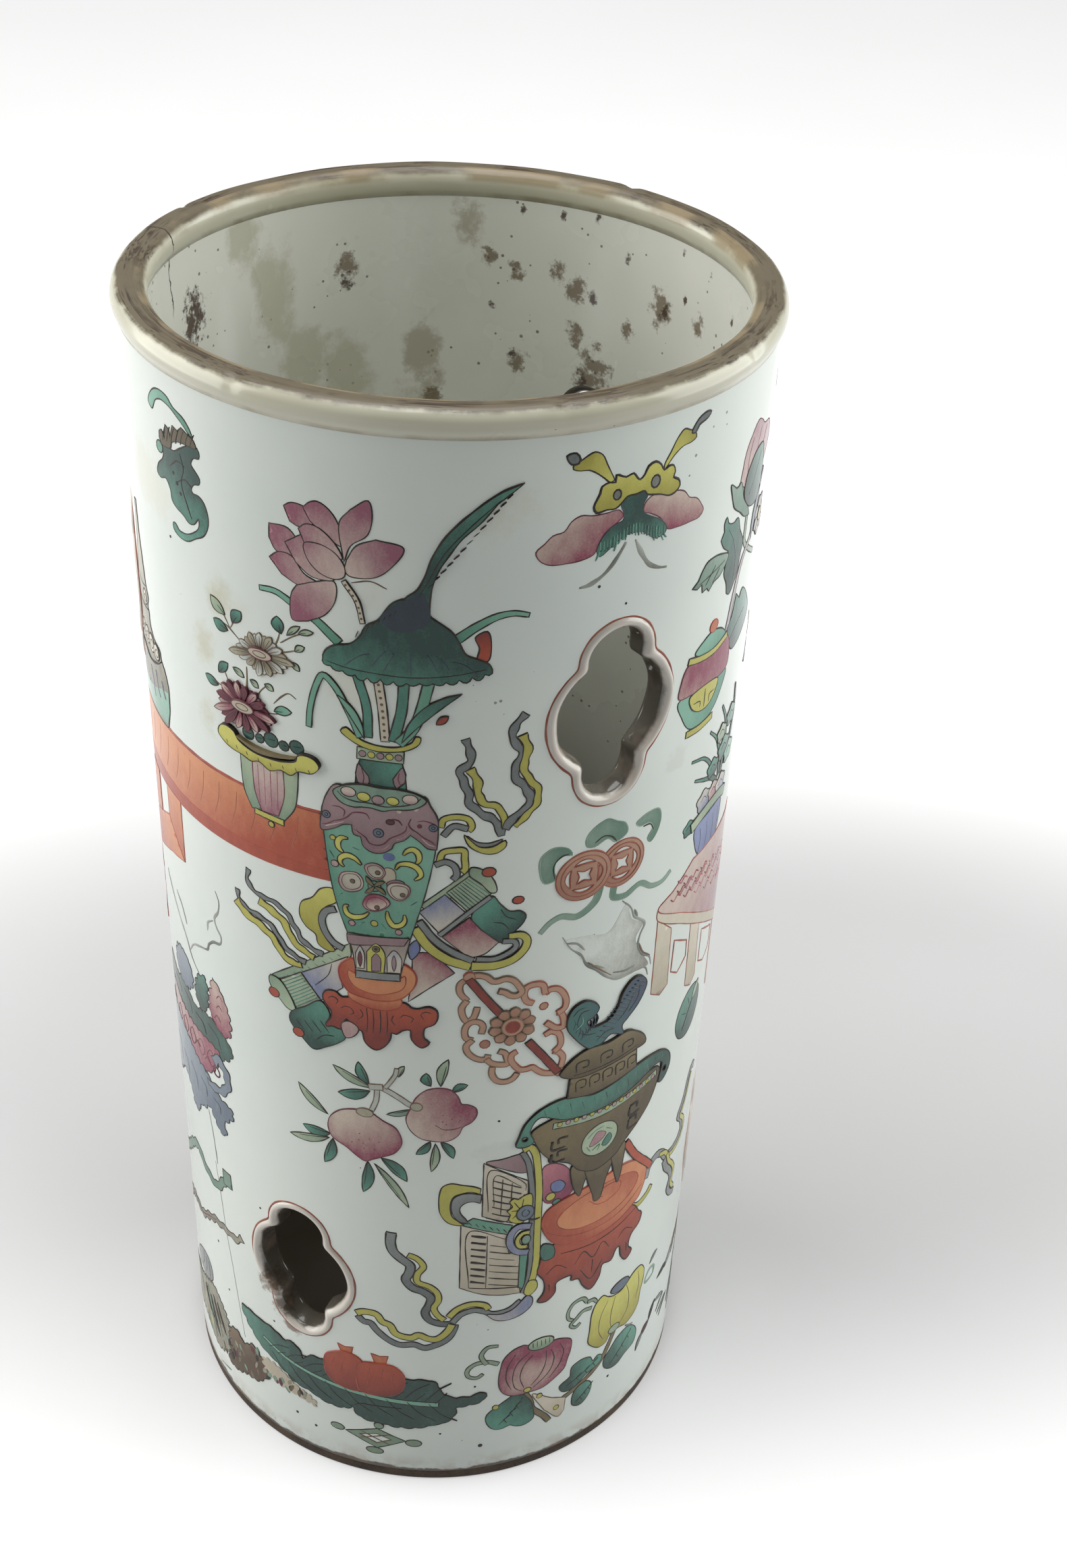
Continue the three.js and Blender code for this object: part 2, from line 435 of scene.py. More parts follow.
@dataclass(frozen=True)
class GlazeFinish:
    """Glossy porcelain glaze with a faint tint, pinholes and soft unevenness."""

    name: str
    body: Colour = (224, 231, 224)
    pooled: Colour = (205, 214, 210)
    speck: Colour = (70, 58, 46)
    roughness: float = 0.09
    wave_depth: float = 0.00012
    clean: float = 0.62
    speck_scale: float = 420.0
    speck_size: float = 0.16
    stain_level: float = 0.72

    def material(self, stains: Sequence[Stain] = ()) -> bpy.types.Material:
        """The glaze's material, with stains that darken it."""
        n = Nodes(self.name)
        colour, rough, normal = self.layers(n, stains)
        return n.finish(colour, rough, normal, **GLOSSY)

    def layers(self, n: Nodes, stains: Sequence[Stain] = ()) -> tuple[Socket, Socket, Socket]:
        """The glaze's colour, roughness and normal.

        Args:
            n: the material's nodes.
            stains: patches that darken it.

        Returns:
            The three sockets.
        """
        cloud = n.ramp(n.noise(14, 3), 0.35, 0.7)
        colour = n.blend(n.times(cloud, 0.55), linear(self.body), linear(self.pooled))
        place = n.place()
        cells = n.add("TexVoronoi", {"Vector": place, "Scale": self.speck_scale, "Randomness": 1.0})
        lucky = n.add("TexNoise", {"Vector": place, "Scale": 60.0, "Detail": 1.0}).outputs["Fac"]
        reach = n.ramp(lucky, self.clean, self.clean + 0.18, 0.0, self.speck_size)
        spot = n.math("LESS_THAN", cells.outputs["Distance"], reach)
        colour = n.blend(n.times(spot, 0.75), colour, linear(self.speck))
        for index, stain in enumerate(stains):
            colour = self.stained(n, colour, stain, index)
        wave = n.noise(55, 2, 0.5, stretch=(1, 1, 0.35))
        rough = n.ramp(n.noise(30, 4, shift=3.1), 0.3, 0.8, self.roughness, self.roughness * 2.4)
        return colour, rough, n.bump(wave, self.wave_depth, 0.5)

    def stained(self, n: Nodes, colour: Socket, stain: Stain, index: int) -> Socket:
        """Lays a stain over a colour.

        Args:
            n: the material's nodes.
            colour: what lies under the stain.
            stain: the stain.
            index: its number, which sets where its noise is taken.

        Returns:
            The stained colour.
        """
        near = stain.nearness(n)
        grain = n.noise(stain.grain, 6, 0.7, shift=0.37 * (index + 1))
        mask = n.ramp(n.plus(grain, n.times(near, 0.42)), self.stain_level, self.stain_level + stain.edge)
        share = n.math("MULTIPLY", n.times(mask, n.ramp(near, 0.0, 0.25)), stain.strength, clamp=True)
        return n.blend(share, colour, linear(stain.colour))

    @staticmethod
    def cracked(n: Nodes, colour: Socket, azimuth: float, low: float) -> Socket:
        """Draws a dark hairline crack that runs down from the lip.

        Args:
            n: the material's nodes.
            colour: what the crack runs through.
            azimuth: where it is, in degrees.
            low: the height at which it ends, in metres.

        Returns:
            The cracked colour.
        """
        turn = math.radians(azimuth)
        across = n.vector("DOT_PRODUCT", n.place(), (math.cos(turn), math.sin(turn), 0))
        outward = n.vector("DOT_PRODUCT", n.place(), (math.sin(turn), -math.cos(turn), 0))
        bent = n.plus(across, n.swing(n.noise(150, 4), 0.006))
        line = n.ramp(n.math("ABSOLUTE", bent), 0.0003, 0.0001)
        line = n.times(line, n.math("GREATER_THAN", outward, 0.0))
        return n.blend(n.times(line, n.ramp(n.height(), low, low + 0.004)), colour, linear(CRACK_BROWN))


BRUSH_SCALE = 420
BRUSH_RELIEF = 0.00006
GRAIN_SCALE = 2600


class Gloss(Enum):
    """How an enamel takes the light, as (roughness, coat, specular level)."""

    THICK = (0.14, 0.12, 0.25)
    THIN = (0.26, 0.04, 0.25)
    DRY = (0.42, 0.0, 0.2)


class Enamel(Enum):
    """The enamels of the palette: a pale wash, a deep wash and a gloss."""

    LEAF = ((86, 150, 130), (12, 60, 52), Gloss.THICK)
    TEAL = ((128, 180, 158), (84, 142, 120), Gloss.THICK)
    CELADON = ((176, 192, 162), (124, 148, 124), Gloss.THICK)
    PINK = ((210, 192, 180), (146, 84, 104), Gloss.THICK)
    MAGENTA = ((190, 118, 130), (128, 40, 72), Gloss.THICK)
    MAUVE = ((168, 140, 142), (132, 104, 110), Gloss.THICK)
    YELLOW = ((206, 202, 100), (160, 152, 54), Gloss.THICK)
    SLATE = ((146, 152, 150), (90, 98, 98), Gloss.THICK)
    BLUE = ((130, 142, 184), (72, 88, 140), Gloss.THICK)
    IRON = ((212, 142, 98), (168, 74, 50), Gloss.THIN)
    RUST = ((184, 84, 56), (124, 46, 36), Gloss.THIN)
    BROWN = ((128, 114, 80), (82, 70, 46), Gloss.THIN)
    CREAM = ((214, 206, 188), (184, 174, 154), Gloss.THIN)
    GREY_PINK = ((190, 184, 168), (136, 116, 112), Gloss.THICK)
    LAVENDER = ((206, 200, 188), (124, 132, 164), Gloss.THICK)
    BLUE_BLACK = ((40, 62, 78), (22, 34, 46), Gloss.THICK)
    SLATE_BLUE = ((50, 104, 98), (50, 68, 90), Gloss.THICK)
    MIST = ((224, 230, 223), (140, 140, 130), Gloss.THIN)
    PLUM = ((120, 70, 78), (78, 36, 48), Gloss.DRY)
    INK = ((54, 46, 38), (28, 24, 20), Gloss.DRY)
    IRON_INK = ((168, 108, 88), (138, 72, 60), Gloss.DRY)
    SEPIA = ((134, 116, 94), (88, 72, 58), Gloss.DRY)
    SMOKE = ((176, 180, 172), (104, 106, 100), Gloss.DRY)
    ROSE = ((210, 194, 178), (138, 50, 78), Gloss.THICK)
    STEEL = ((136, 150, 160), (90, 104, 122), Gloss.THICK)
    SAGE = ((150, 172, 156), (94, 128, 110), Gloss.THIN)
    STRAW = ((190, 186, 164), (118, 114, 96), Gloss.THIN)
    TAN = ((190, 150, 126), (160, 116, 94), Gloss.THIN)
    CRACK = ((206, 208, 200), (172, 172, 162), Gloss.DRY)

    def material(self) -> bpy.types.Material:
        """The enamel's material, made the first time it is asked for."""
        name = f"enamel_{self.name.lower()}"
        return bpy.data.materials.get(name) or self.painted(name)

    def painted(self, name: str) -> bpy.types.Material:
        """Makes the enamel's material: a wash whose depth the mesh carries, broken by brush marks.

        Args:
            name: the material's name.

        Returns:
            The material.
        """
        pale, deep, gloss = self.value
        n = Nodes(name)
        depth = n.add("Attribute", attribute_name="depth").outputs["Fac"]
        brush = n.noise(BRUSH_SCALE, 4, 0.6, stretch=(1, 1, 0.5))
        uneven = n.plus(n.swing(brush, 0.7), n.swing(n.noise(GRAIN_SCALE, 2, 0.5), 0.35))
        wash = n.math("ADD", depth, uneven, clamp=True)
        colour = n.blend(wash, linear(pale), linear(deep))
        roughness, coat, specular = gloss.value
        return n.finish(colour, roughness, n.bump(brush, BRUSH_RELIEF, 0.6), IOR=1.5,
                        Specular_IOR_Level=specular, Coat_Weight=coat, Coat_Roughness=0.06)


(LEAF, TEAL, CELADON, PINK, MAGENTA, MAUVE, YELLOW, SLATE, BLUE, IRON, RUST, BROWN, CREAM, GREY_PINK,
 LAVENDER, BLUE_BLACK, SLATE_BLUE, MIST, PLUM, INK, IRON_INK, SEPIA, SMOKE, ROSE, STEEL, SAGE, STRAW, TAN,
 CRACK) = Enamel


# The pot's own shape, taken from the frame

@dataclass
class PotShape:
    """The radii and heights of the pot in millimetres, read from the frame."""

    wall_at_foot: float = 6.5
    wall_at_shoulder: float = 5.5
    foot: float = field(init=False)
    shoulder: float = field(init=False)
    height: float = field(init=False)
    foot_radius: float = field(init=False)
    shoulder_radius: float = field(init=False)

    def __post_init__(self) -> None:
        """Reads the heights and radii from the frame's wall, lip and foot."""
        self.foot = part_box("foot_ring")[1].z / MM
        self.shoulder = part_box("wall")[1].z / MM
        self.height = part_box("lip_ring")[1].z / MM
        self.foot_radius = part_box("foot_ring")[1].x / MM
        self.shoulder_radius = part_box("wall")[1].x / MM

    def outer(self, z: float | np.ndarray) -> float | np.ndarray:
        """The outer radius at a height."""
        share = (z - self.foot) / (self.shoulder - self.foot)
        return self.foot_radius + (self.shoulder_radius - self.foot_radius) * share

    def bore(self, z: float | np.ndarray) -> float | np.ndarray:
        """The bore's radius at a height."""
        share = z / self.shoulder
        at_foot = self.outer(0.0) - self.wall_at_foot
        return at_foot + (self.shoulder_radius - self.wall_at_shoulder - at_foot) * share

    def wrap(self, u: np.ndarray, z: np.ndarray, radius: np.ndarray) -> np.ndarray:
        """Points in metres at (u, z) places and radii in millimetres."""
        azimuth = u / GIRTH_RADIUS
        return np.stack([radius * np.sin(azimuth), -radius * np.cos(azimuth), z], axis=-1) * MM


def new_piece(name: str, points: Sequence[Sequence[float]], faces: Sequence[Sequence[int]],
              materials: Sequence[bpy.types.Material],
              marks: Sequence[int] | None = None) -> bpy.types.Object:
    """Makes a smooth-shaded piece that rides on the pot.

    Args:
        name: the piece's name.
        points: its points in metres.
        faces: the corners of each face.
        materials: its materials.
        marks: each face's material, as a place in materials.

    Returns:
        The piece.
    """
    mesh = bpy.data.meshes.new(name)
    mesh.from_pydata([tuple(p) for p in points], [], faces)
    for material in materials:
        mesh.materials.append(material)
    if marks is not None:
        mesh.polygons.foreach_set("material_index", list(marks))
    mesh.polygons.foreach_set("use_smooth", [True] * len(mesh.polygons))
    mesh.update()
    piece = bpy.data.objects.new(name, mesh)
    bpy.context.scene.collection.objects.link(piece)
    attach(piece, "root")
    log.info("%s: %d points, %d faces", name, len(mesh.vertices), len(mesh.polygons))
    return piece


def inside(points: np.ndarray, outline: np.ndarray) -> np.ndarray:
    """Which points lie inside a closed outline, by the even-odd rule."""
    ends = np.roll(outline, -1, axis=0)
    flat = outline[:, 1] == ends[:, 1]
    rise = np.where(flat, 1.0, ends[:, 1] - outline[:, 1])
    z = points[:, 1][:, None]
    low, high = np.minimum(outline[:, 1], ends[:, 1]), np.maximum(outline[:, 1], ends[:, 1])
    between = (z > low) & (z <= high) & ~flat
    at = outline[:, 0] + (z - outline[:, 1]) * (ends[:, 0] - outline[:, 0]) / rise
    return (between & (points[:, 0][:, None] < at)).sum(axis=1) % 2 == 1


def clearance(points: np.ndarray, outline: np.ndarray) -> np.ndarray:
    """The distance from each point to the nearest side of a closed outline."""
    side = np.roll(outline, -1, axis=0) - outline
    away = points[:, None, :] - outline[None, :, :]
    share = np.clip((away * side).sum(axis=2) / np.maximum((side * side).sum(axis=1), TINY_AREA), 0, 1)
    return np.linalg.norm(away - share[:, :, None] * side, axis=2).min(axis=1)


def triangles(edges: list[np.ndarray], inner: np.ndarray) -> tuple[np.ndarray, list[tuple[int, ...]]]:
    """Fills an outline with triangles that keep its sides.

    Args:
        edges: the outline and then its holes.
        inner: the points inside it.

    Returns:
        The points and the triangles, anticlockwise.
    """
    sides = []
    first = 0
    for edge in edges:
        sides += [(first + i, first + (i + 1) % len(edge)) for i in range(len(edge))]
        first += len(edge)
    made, _, faces, *_ = delaunay_2d_cdt([Vector(p) for p in np.vstack([*edges, inner])], sides, [], 0, 1e-5)
    flat = np.array([tuple(p) for p in made])
    corners = np.array([tuple(face) for face in faces])
    middles = flat[corners].mean(axis=1)
    kept = inside(middles, edges[0])
    for hole in edges[1:]:
        kept &= ~inside(middles, hole)
    corners = corners[kept]
    one, two, three = (flat[corners[:, i]] for i in range(3))
    spread = (two - one)[:, 0] * (three - one)[:, 1] - (two - one)[:, 1] * (three - one)[:, 0]
    corners[spread < 0] = corners[spread < 0][:, ::-1]
    used = np.unique(corners)
    new_place = np.full(len(flat), -1)
    new_place[used] = np.arange(len(used))
    return flat[used], [tuple(int(i) for i in face) for face in new_place[corners]]


class Canvas:
    """Remembers how high the enamel already stands at each place, so that later strokes lie on top."""

    cell = 1.6

    def __init__(self) -> None:
        """Starts with a bare pot."""
        self.levels: dict[tuple[int, int], int] = {}

    def cover(self, places: np.ndarray) -> int:
        """Lays one more coat over some places.

        Args:
            places: the (u, z) points that the coat covers.

        Returns:
            The coat's level, 0 on the bare glaze.
        """
        turned = np.stack([places[:, 0] % (2 * math.pi * GIRTH_RADIUS), places[:, 1]], axis=1)
        cells = {(int(c[0]), int(c[1])) for c in np.round(turned / self.cell)}
        level = 1 + max((self.levels.get(c, -1) for c in cells), default=-1)
        for c in cells:
            self.levels[c] = level
        return level


@dataclass
class Placement:
    """Where a motif that was drawn at its home place is painted."""

    around: float = 0.0
    up: float = 0.0
    pivot: Point = (0.0, 0.0)
    mirrored: bool = False
    scale: float = 1.0

    def move(self, places: np.ndarray) -> np.ndarray:
        """Moves (u, z) points from the home place, mirroring and scaling them about the pivot."""
        side = -self.scale if self.mirrored else self.scale
        u = self.pivot[0] + (places[:, 0] - self.pivot[0]) * side + self.around
        z = self.pivot[1] + (places[:, 1] - self.pivot[1]) * self.scale + self.up
        return np.stack([u, z], axis=1)


class Painting:
    """One motif in raised enamel, gathered fill by fill and stroke by stroke into one mesh."""

    coat = 0.010
    body = 0.045
    round_edge = 0.006
    round_reach = 0.35
    sink = 0.02
    stroke_flat = 0.62

    def __init__(self, name: str, pot: PotShape, canvas: Canvas, placement: Placement) -> None:
        """Starts an empty painting.

        Args:
            name: the piece's name.
            pot: the pot that it is painted on.
            canvas: the enamel that is already there.
            placement: where the motif goes.
        """
        self.name = name
        self.pot = pot
        self.canvas = canvas
        self.placement = placement
        self.random = random.Random(name)
        self.places: list[np.ndarray] = []
        self.lifts: list[np.ndarray] = []
        self.depths: list[np.ndarray] = []
        self.faces: list[tuple[int, ...]] = []
        self.marks: list[int] = []
        self.palette: list[Enamel] = []
        self.count = 0

    def take(self, places: np.ndarray, lifts: np.ndarray, depths: np.ndarray, faces: list[tuple[int, ...]],
             enamel: Enamel) -> None:
        """Adds points and faces in one enamel to the mesh.

        Args:
            places: their (u, z) places at the motif's home.
            lifts: how far each stands off the wall, in millimetres.
            depths: how deep the wash is at each.
            faces: the corners of each face, counted from the first of these points.
            enamel: what they are made of.
        """
        if enamel not in self.palette:
            self.palette.append(enamel)
        flip = self.placement.mirrored
        self.faces += [tuple(i + self.count for i in (face[::-1] if flip else face)) for face in faces]
        self.marks += [self.palette.index(enamel)] * len(faces)
        self.places.append(self.placement.move(places))
        self.lifts.append(lifts)
        self.depths.append(np.clip(depths, 0, 1))
        self.count += len(places)

    def fill(self, outline: Outline, enamel: Enamel, wash: tuple[Point, Point] | None = None,
             depth: float = 0.4, rim: float = 0.0, line: Enamel | None = INK, width: float = LINE_WIDTH,
             holes: Sequence[Outline] = (), spread: float = 0.8) -> None:
        """Fills an outline with enamel, and draws its edge.

        Args:
            outline: the closed outline.
            enamel: what it is filled with.
            wash: two points, from where the wash is pale to where it is deep, or None for an even wash.
            depth: how deep an even wash is.
            rim: how much deeper the wash is at the edge.
            line: the enamel of the drawn edge, or None for no line.
            width: the line's width.
            holes: closed outlines left bare.
            spread: how far the deeper edge reaches in.
        """
        edges = [turned_to(np.array(outline, float), 1), *(turned_to(np.array(h, float), -1) for h in holes)]
        flat, faces = triangles(edges, self.inner_points(edges))
        level = self.canvas.cover(self.placement.move(flat))
        away = clearance(flat, edges[0])
        for hole in edges[1:]:
            away = np.minimum(away, clearance(flat, hole))
        top = self.coat * level
        lifts = top + self.body - self.round_edge * (1 - np.clip(away / self.round_reach, 0, 1))
        if wash is None:
            depths = np.full(len(flat), depth)
        else:
            pale, deep = np.array(wash[0], float), np.array(wash[1], float)
            axis = deep - pale
            depths = ((flat - pale) @ axis) / max(axis @ axis, TINY_AREA)
        depths = depths + rim * np.exp(-away / spread)
        self.take(flat, lifts, depths, faces, enamel)
        for edge in edges:
            self.skirt(edge, top, enamel, depth if wash is None else 0.5)
        if line is not None:
            for edge in edges:
                self.stroke([tuple(p) for p in edge], width, line, closed=True)

    def skirt(self, edge: np.ndarray, top: float, enamel: Enamel, depth: float) -> None:
        """Drops a fill's edge down into the glaze."""
        count = len(edge)
        lifts = np.concatenate([np.full(count, top + self.body - self.round_edge),
                                np.full(count, -self.sink)])
        faces = [(i, i + count, (i + 1) % count + count, (i + 1) % count) for i in range(count)]
        self.take(np.vstack([edge, edge]), lifts, np.full(2 * count, depth), faces, enamel)

    def inner_points(self, edges: list[np.ndarray]) -> np.ndarray:
        """Points inside a fill, on a staggered grid that keeps clear of its edges."""
        low, high = edges[0].min(axis=0), edges[0].max(axis=0)
        step = float(np.clip(math.sqrt(abs(signed_area(edges[0]))) / 8, 0.55, 1.5))
        rows = np.arange(low[1] + step / 2, high[1], step * 0.87)
        grid = [(u + (step / 2 if r % 2 else 0), z) for r, z in enumerate(rows)
                for u in np.arange(low[0], high[0] + step, step)]
        if not grid:
            return np.zeros((0, 2))
        points = np.array(grid, float)
        keep = inside(points, edges[0])
        points = points[keep]
        keep = np.ones(len(points), bool)
        for index, edge in enumerate(edges):
            keep &= clearance(points, edge) > step * 0.42
            if index:
                keep &= ~inside(points, edge)
        return points[keep]

    def stroke(self, path: Sequence[Point], width: float = LINE_WIDTH, enamel: Enamel = INK,
               closed: bool = False, fade: float = 0.5) -> None:
        """Draws a raised brush line along sampled points.

        Args:
            path: points that are close together.
            width: the line's width.
            enamel: what it is drawn with.
            closed: whether it returns to its start.
            fade: the share of its width that an open line loses at its ends.
        """
        line = np.array(path, float)
        side = normals(line, closed)
        count = len(line)
        start = self.random.uniform(0, 40)
        steps = np.arange(count)
        waver = 1 + 0.16 * np.sin(start + steps * 0.9) + 0.12 * np.sin(start * 1.7 + steps * 0.37)
        if not closed:
            ends = np.minimum(steps, count - 1 - steps) / max(count * 0.3, 1)
            waver *= 1 - fade * (1 - np.clip(ends, 0, 1)) ** 2
        half = width / 2 * waver
        level = self.canvas.cover(self.placement.move(line))
        top = self.coat * level + self.body
        shares = [(1.0, -self.sink), (self.stroke_flat, top), (-self.stroke_flat, top), (-1.0, -self.sink)]
        rows = len(shares)
        across = [line + side * (half * share)[:, None] for share, _ in shares]
        places = np.stack(across, axis=1).reshape(-1, 2)
        lifts = np.tile([lift for _, lift in shares], count)
        depths = np.repeat(0.55 + 0.3 * np.sin(start * 2.3 + steps * 0.21), rows)
        faces = []
        for i in range(count if closed else count - 1):
            near, far = i * rows, ((i + 1) % count) * rows
            for row in range(rows - 1):
                faces.append((near + row, near + row + 1, far + row + 1, far + row))
        if not closed:
            faces.append((0, 3, 2, 1))
            last = (count - 1) * rows
            faces.append((last, last + 1, last + 2, last + 3))
        self.take(places, lifts, depths, faces, enamel)

    def line(self, *points: Point, width: float = LINE_WIDTH, enamel: Enamel = INK,
             fade: float = 0.5) -> None:
        """Draws a smooth open line through some points."""
        self.stroke(smooth(points), width, enamel, fade=fade)

    def dots(self, path: Sequence[Point], count: int, radius: float, enamel: Enamel) -> None:
        """Sets round dots evenly along a smooth path."""
        places = smooth(path, step=0.3)
        for i in range(count):
            centre = places[round(i * (len(places) - 1) / max(count - 1, 1))]
            self.fill(disc(centre, radius), enamel, depth=0.6, line=None)

    def finish(self) -> bpy.types.Object:
        """Wraps everything round the pot and makes the piece.

        Returns:
            The piece.
        """
        places = np.vstack(self.places)
        lifts = np.concatenate(self.lifts)
        radius = self.pot.outer(places[:, 1]) + lifts
        points = self.pot.wrap(places[:, 0], places[:, 1], radius)
        materials = [enamel.material() for enamel in self.palette]
        piece = new_piece(self.name, points, self.faces, materials, self.marks)
        depth = piece.data.attributes.new("depth", "FLOAT", "POINT")
        depth.data.foreach_set("value", np.concatenate(self.depths).astype(np.float32))
        return piece


def turned_to(outline: np.ndarray, sense: int) -> np.ndarray:
    """A closed outline that runs anticlockwise for a sense of 1 and clockwise for -1."""
    return outline if signed_area(outline) * sense > 0 else outline[::-1]


def signed_area(outline: np.ndarray) -> float:
    """The area of a closed outline, positive where it runs anticlockwise."""
    ends = np.roll(outline, -1, axis=0)
    return float(np.sum(outline[:, 0] * ends[:, 1] - ends[:, 0] * outline[:, 1]) / 2)


# The clay members

def quatrefoil(offset: float) -> np.ndarray:
    """A window's outline about its centre, anticlockwise and evenly spaced, with its cusps softened.

    Args:
        offset: how far outside the opening it lies.

    Returns:
        The (u, z) points.
    """
    belly, lobe, rise = 12.0 + offset, 6.0 + offset, 12.6
    cusp = (rise**2 + belly**2 - lobe**2) / (2 * rise)
    reach = math.sqrt(belly**2 - cusp**2)
    turn, lobe_turn = math.atan2(cusp, reach), math.atan2(cusp - rise, reach)
    arcs = [(0.0, belly, -turn, turn), (rise, lobe, lobe_turn, math.pi - lobe_turn),
            (0.0, belly, math.pi - turn, math.pi + turn),
            (-rise, lobe, math.pi + lobe_turn, 2 * math.pi - lobe_turn)]
    dense = []
    for centre, radius, start, end in arcs:
        for angle in np.linspace(start, end, 120, endpoint=False):
            dense.append((radius * math.cos(angle), centre + radius * math.sin(angle)))
    even, _ = evenly(np.array(dense), WINDOW_POINTS)
    for _ in range(3):
        even = even * 0.5 + (np.roll(even, 1, axis=0) + np.roll(even, -1, axis=0)) * 0.25
    return even


def tube_faces(rows: int, count: int, closed: bool = True) -> list[tuple[int, ...]]:
    """Quads between rings of points, where ring r holds the points r * count to (r + 1) * count - 1.

    Args:
        rows: how many rings there are.
        count: the points in each.
        closed: whether the last ring joins the first.

    Returns:
        The quads.
    """
    faces = []
    for row in range(rows if closed else rows - 1):
        below, above = row * count, (row + 1) % rows * count
        for i in range(count):
            j = (i + 1) % count
            faces.append((below + i, below + j, above + j, above + i))
    return faces


def turned(profile: Sequence[Point], turns: int, waver: Callable[[float, int], Point]) -> list[Point3]:
    """Turns the points of a (radius, z) profile round the pot's axis.

    Args:
        profile: its points, anticlockwise when seen with the axis on the left.
        turns: the number of steps round.
        waver: gives a (radius, z) change for an angle and a place in the profile.

    Returns:
        The points in metres, one ring after another.
    """
    points = []
    for place, (radius, z) in enumerate(profile):
        for i in range(turns):
            angle = 2 * math.pi * i / turns
            wider, higher = waver(angle, place)
            reach = radius + wider
            points.append((reach * math.sin(angle) * MM, -reach * math.cos(angle) * MM, (z + higher) * MM))
    return points


@dataclass(frozen=True)
class Window:
    """One of the six pierced windows, at its azimuth in degrees and its height."""

    node: str
    azimuth: float
    height: float
    seed: int
    margin: float = 3.4

    @property
    def u(self) -> float:
        """How far round the pot its centre lies."""
        return math.radians(self.azimuth) * GIRTH_RADIUS

    def keep_clear(self, outline: Outline) -> Outline:
        """Pushes the points of a drawing that lies to the right of the window off its collar.

        Args:
            outline: the (u, z) points.

        Returns:
            The points, each at or beyond the collar's right side at its height.
        """
        ring = quatrefoil(self.margin) + (self.u, self.height)
        hidden = inside(np.array(outline), ring)
        moved = []
        for (u, z), covered in zip(outline, hidden):
            level = ring[np.abs(ring[:, 1] - z) < 1.0]
            moved.append((float(level[:, 0].max()), z) if covered and len(level) else (u, z))
        return moved


WINDOWS = (
    Window("window_collar_upper_right", 30.4, 217, 1),
    Window("window_collar_upper_back", 148, 217, 2),
    Window("window_collar_upper_left", -90, 217, 3),
    Window("window_collar_lower_left", -30.4, 64, 4),
    Window("window_collar_lower_right", 90, 64, 5),
    Window("window_collar_lower_back", -150, 64, 6),
)


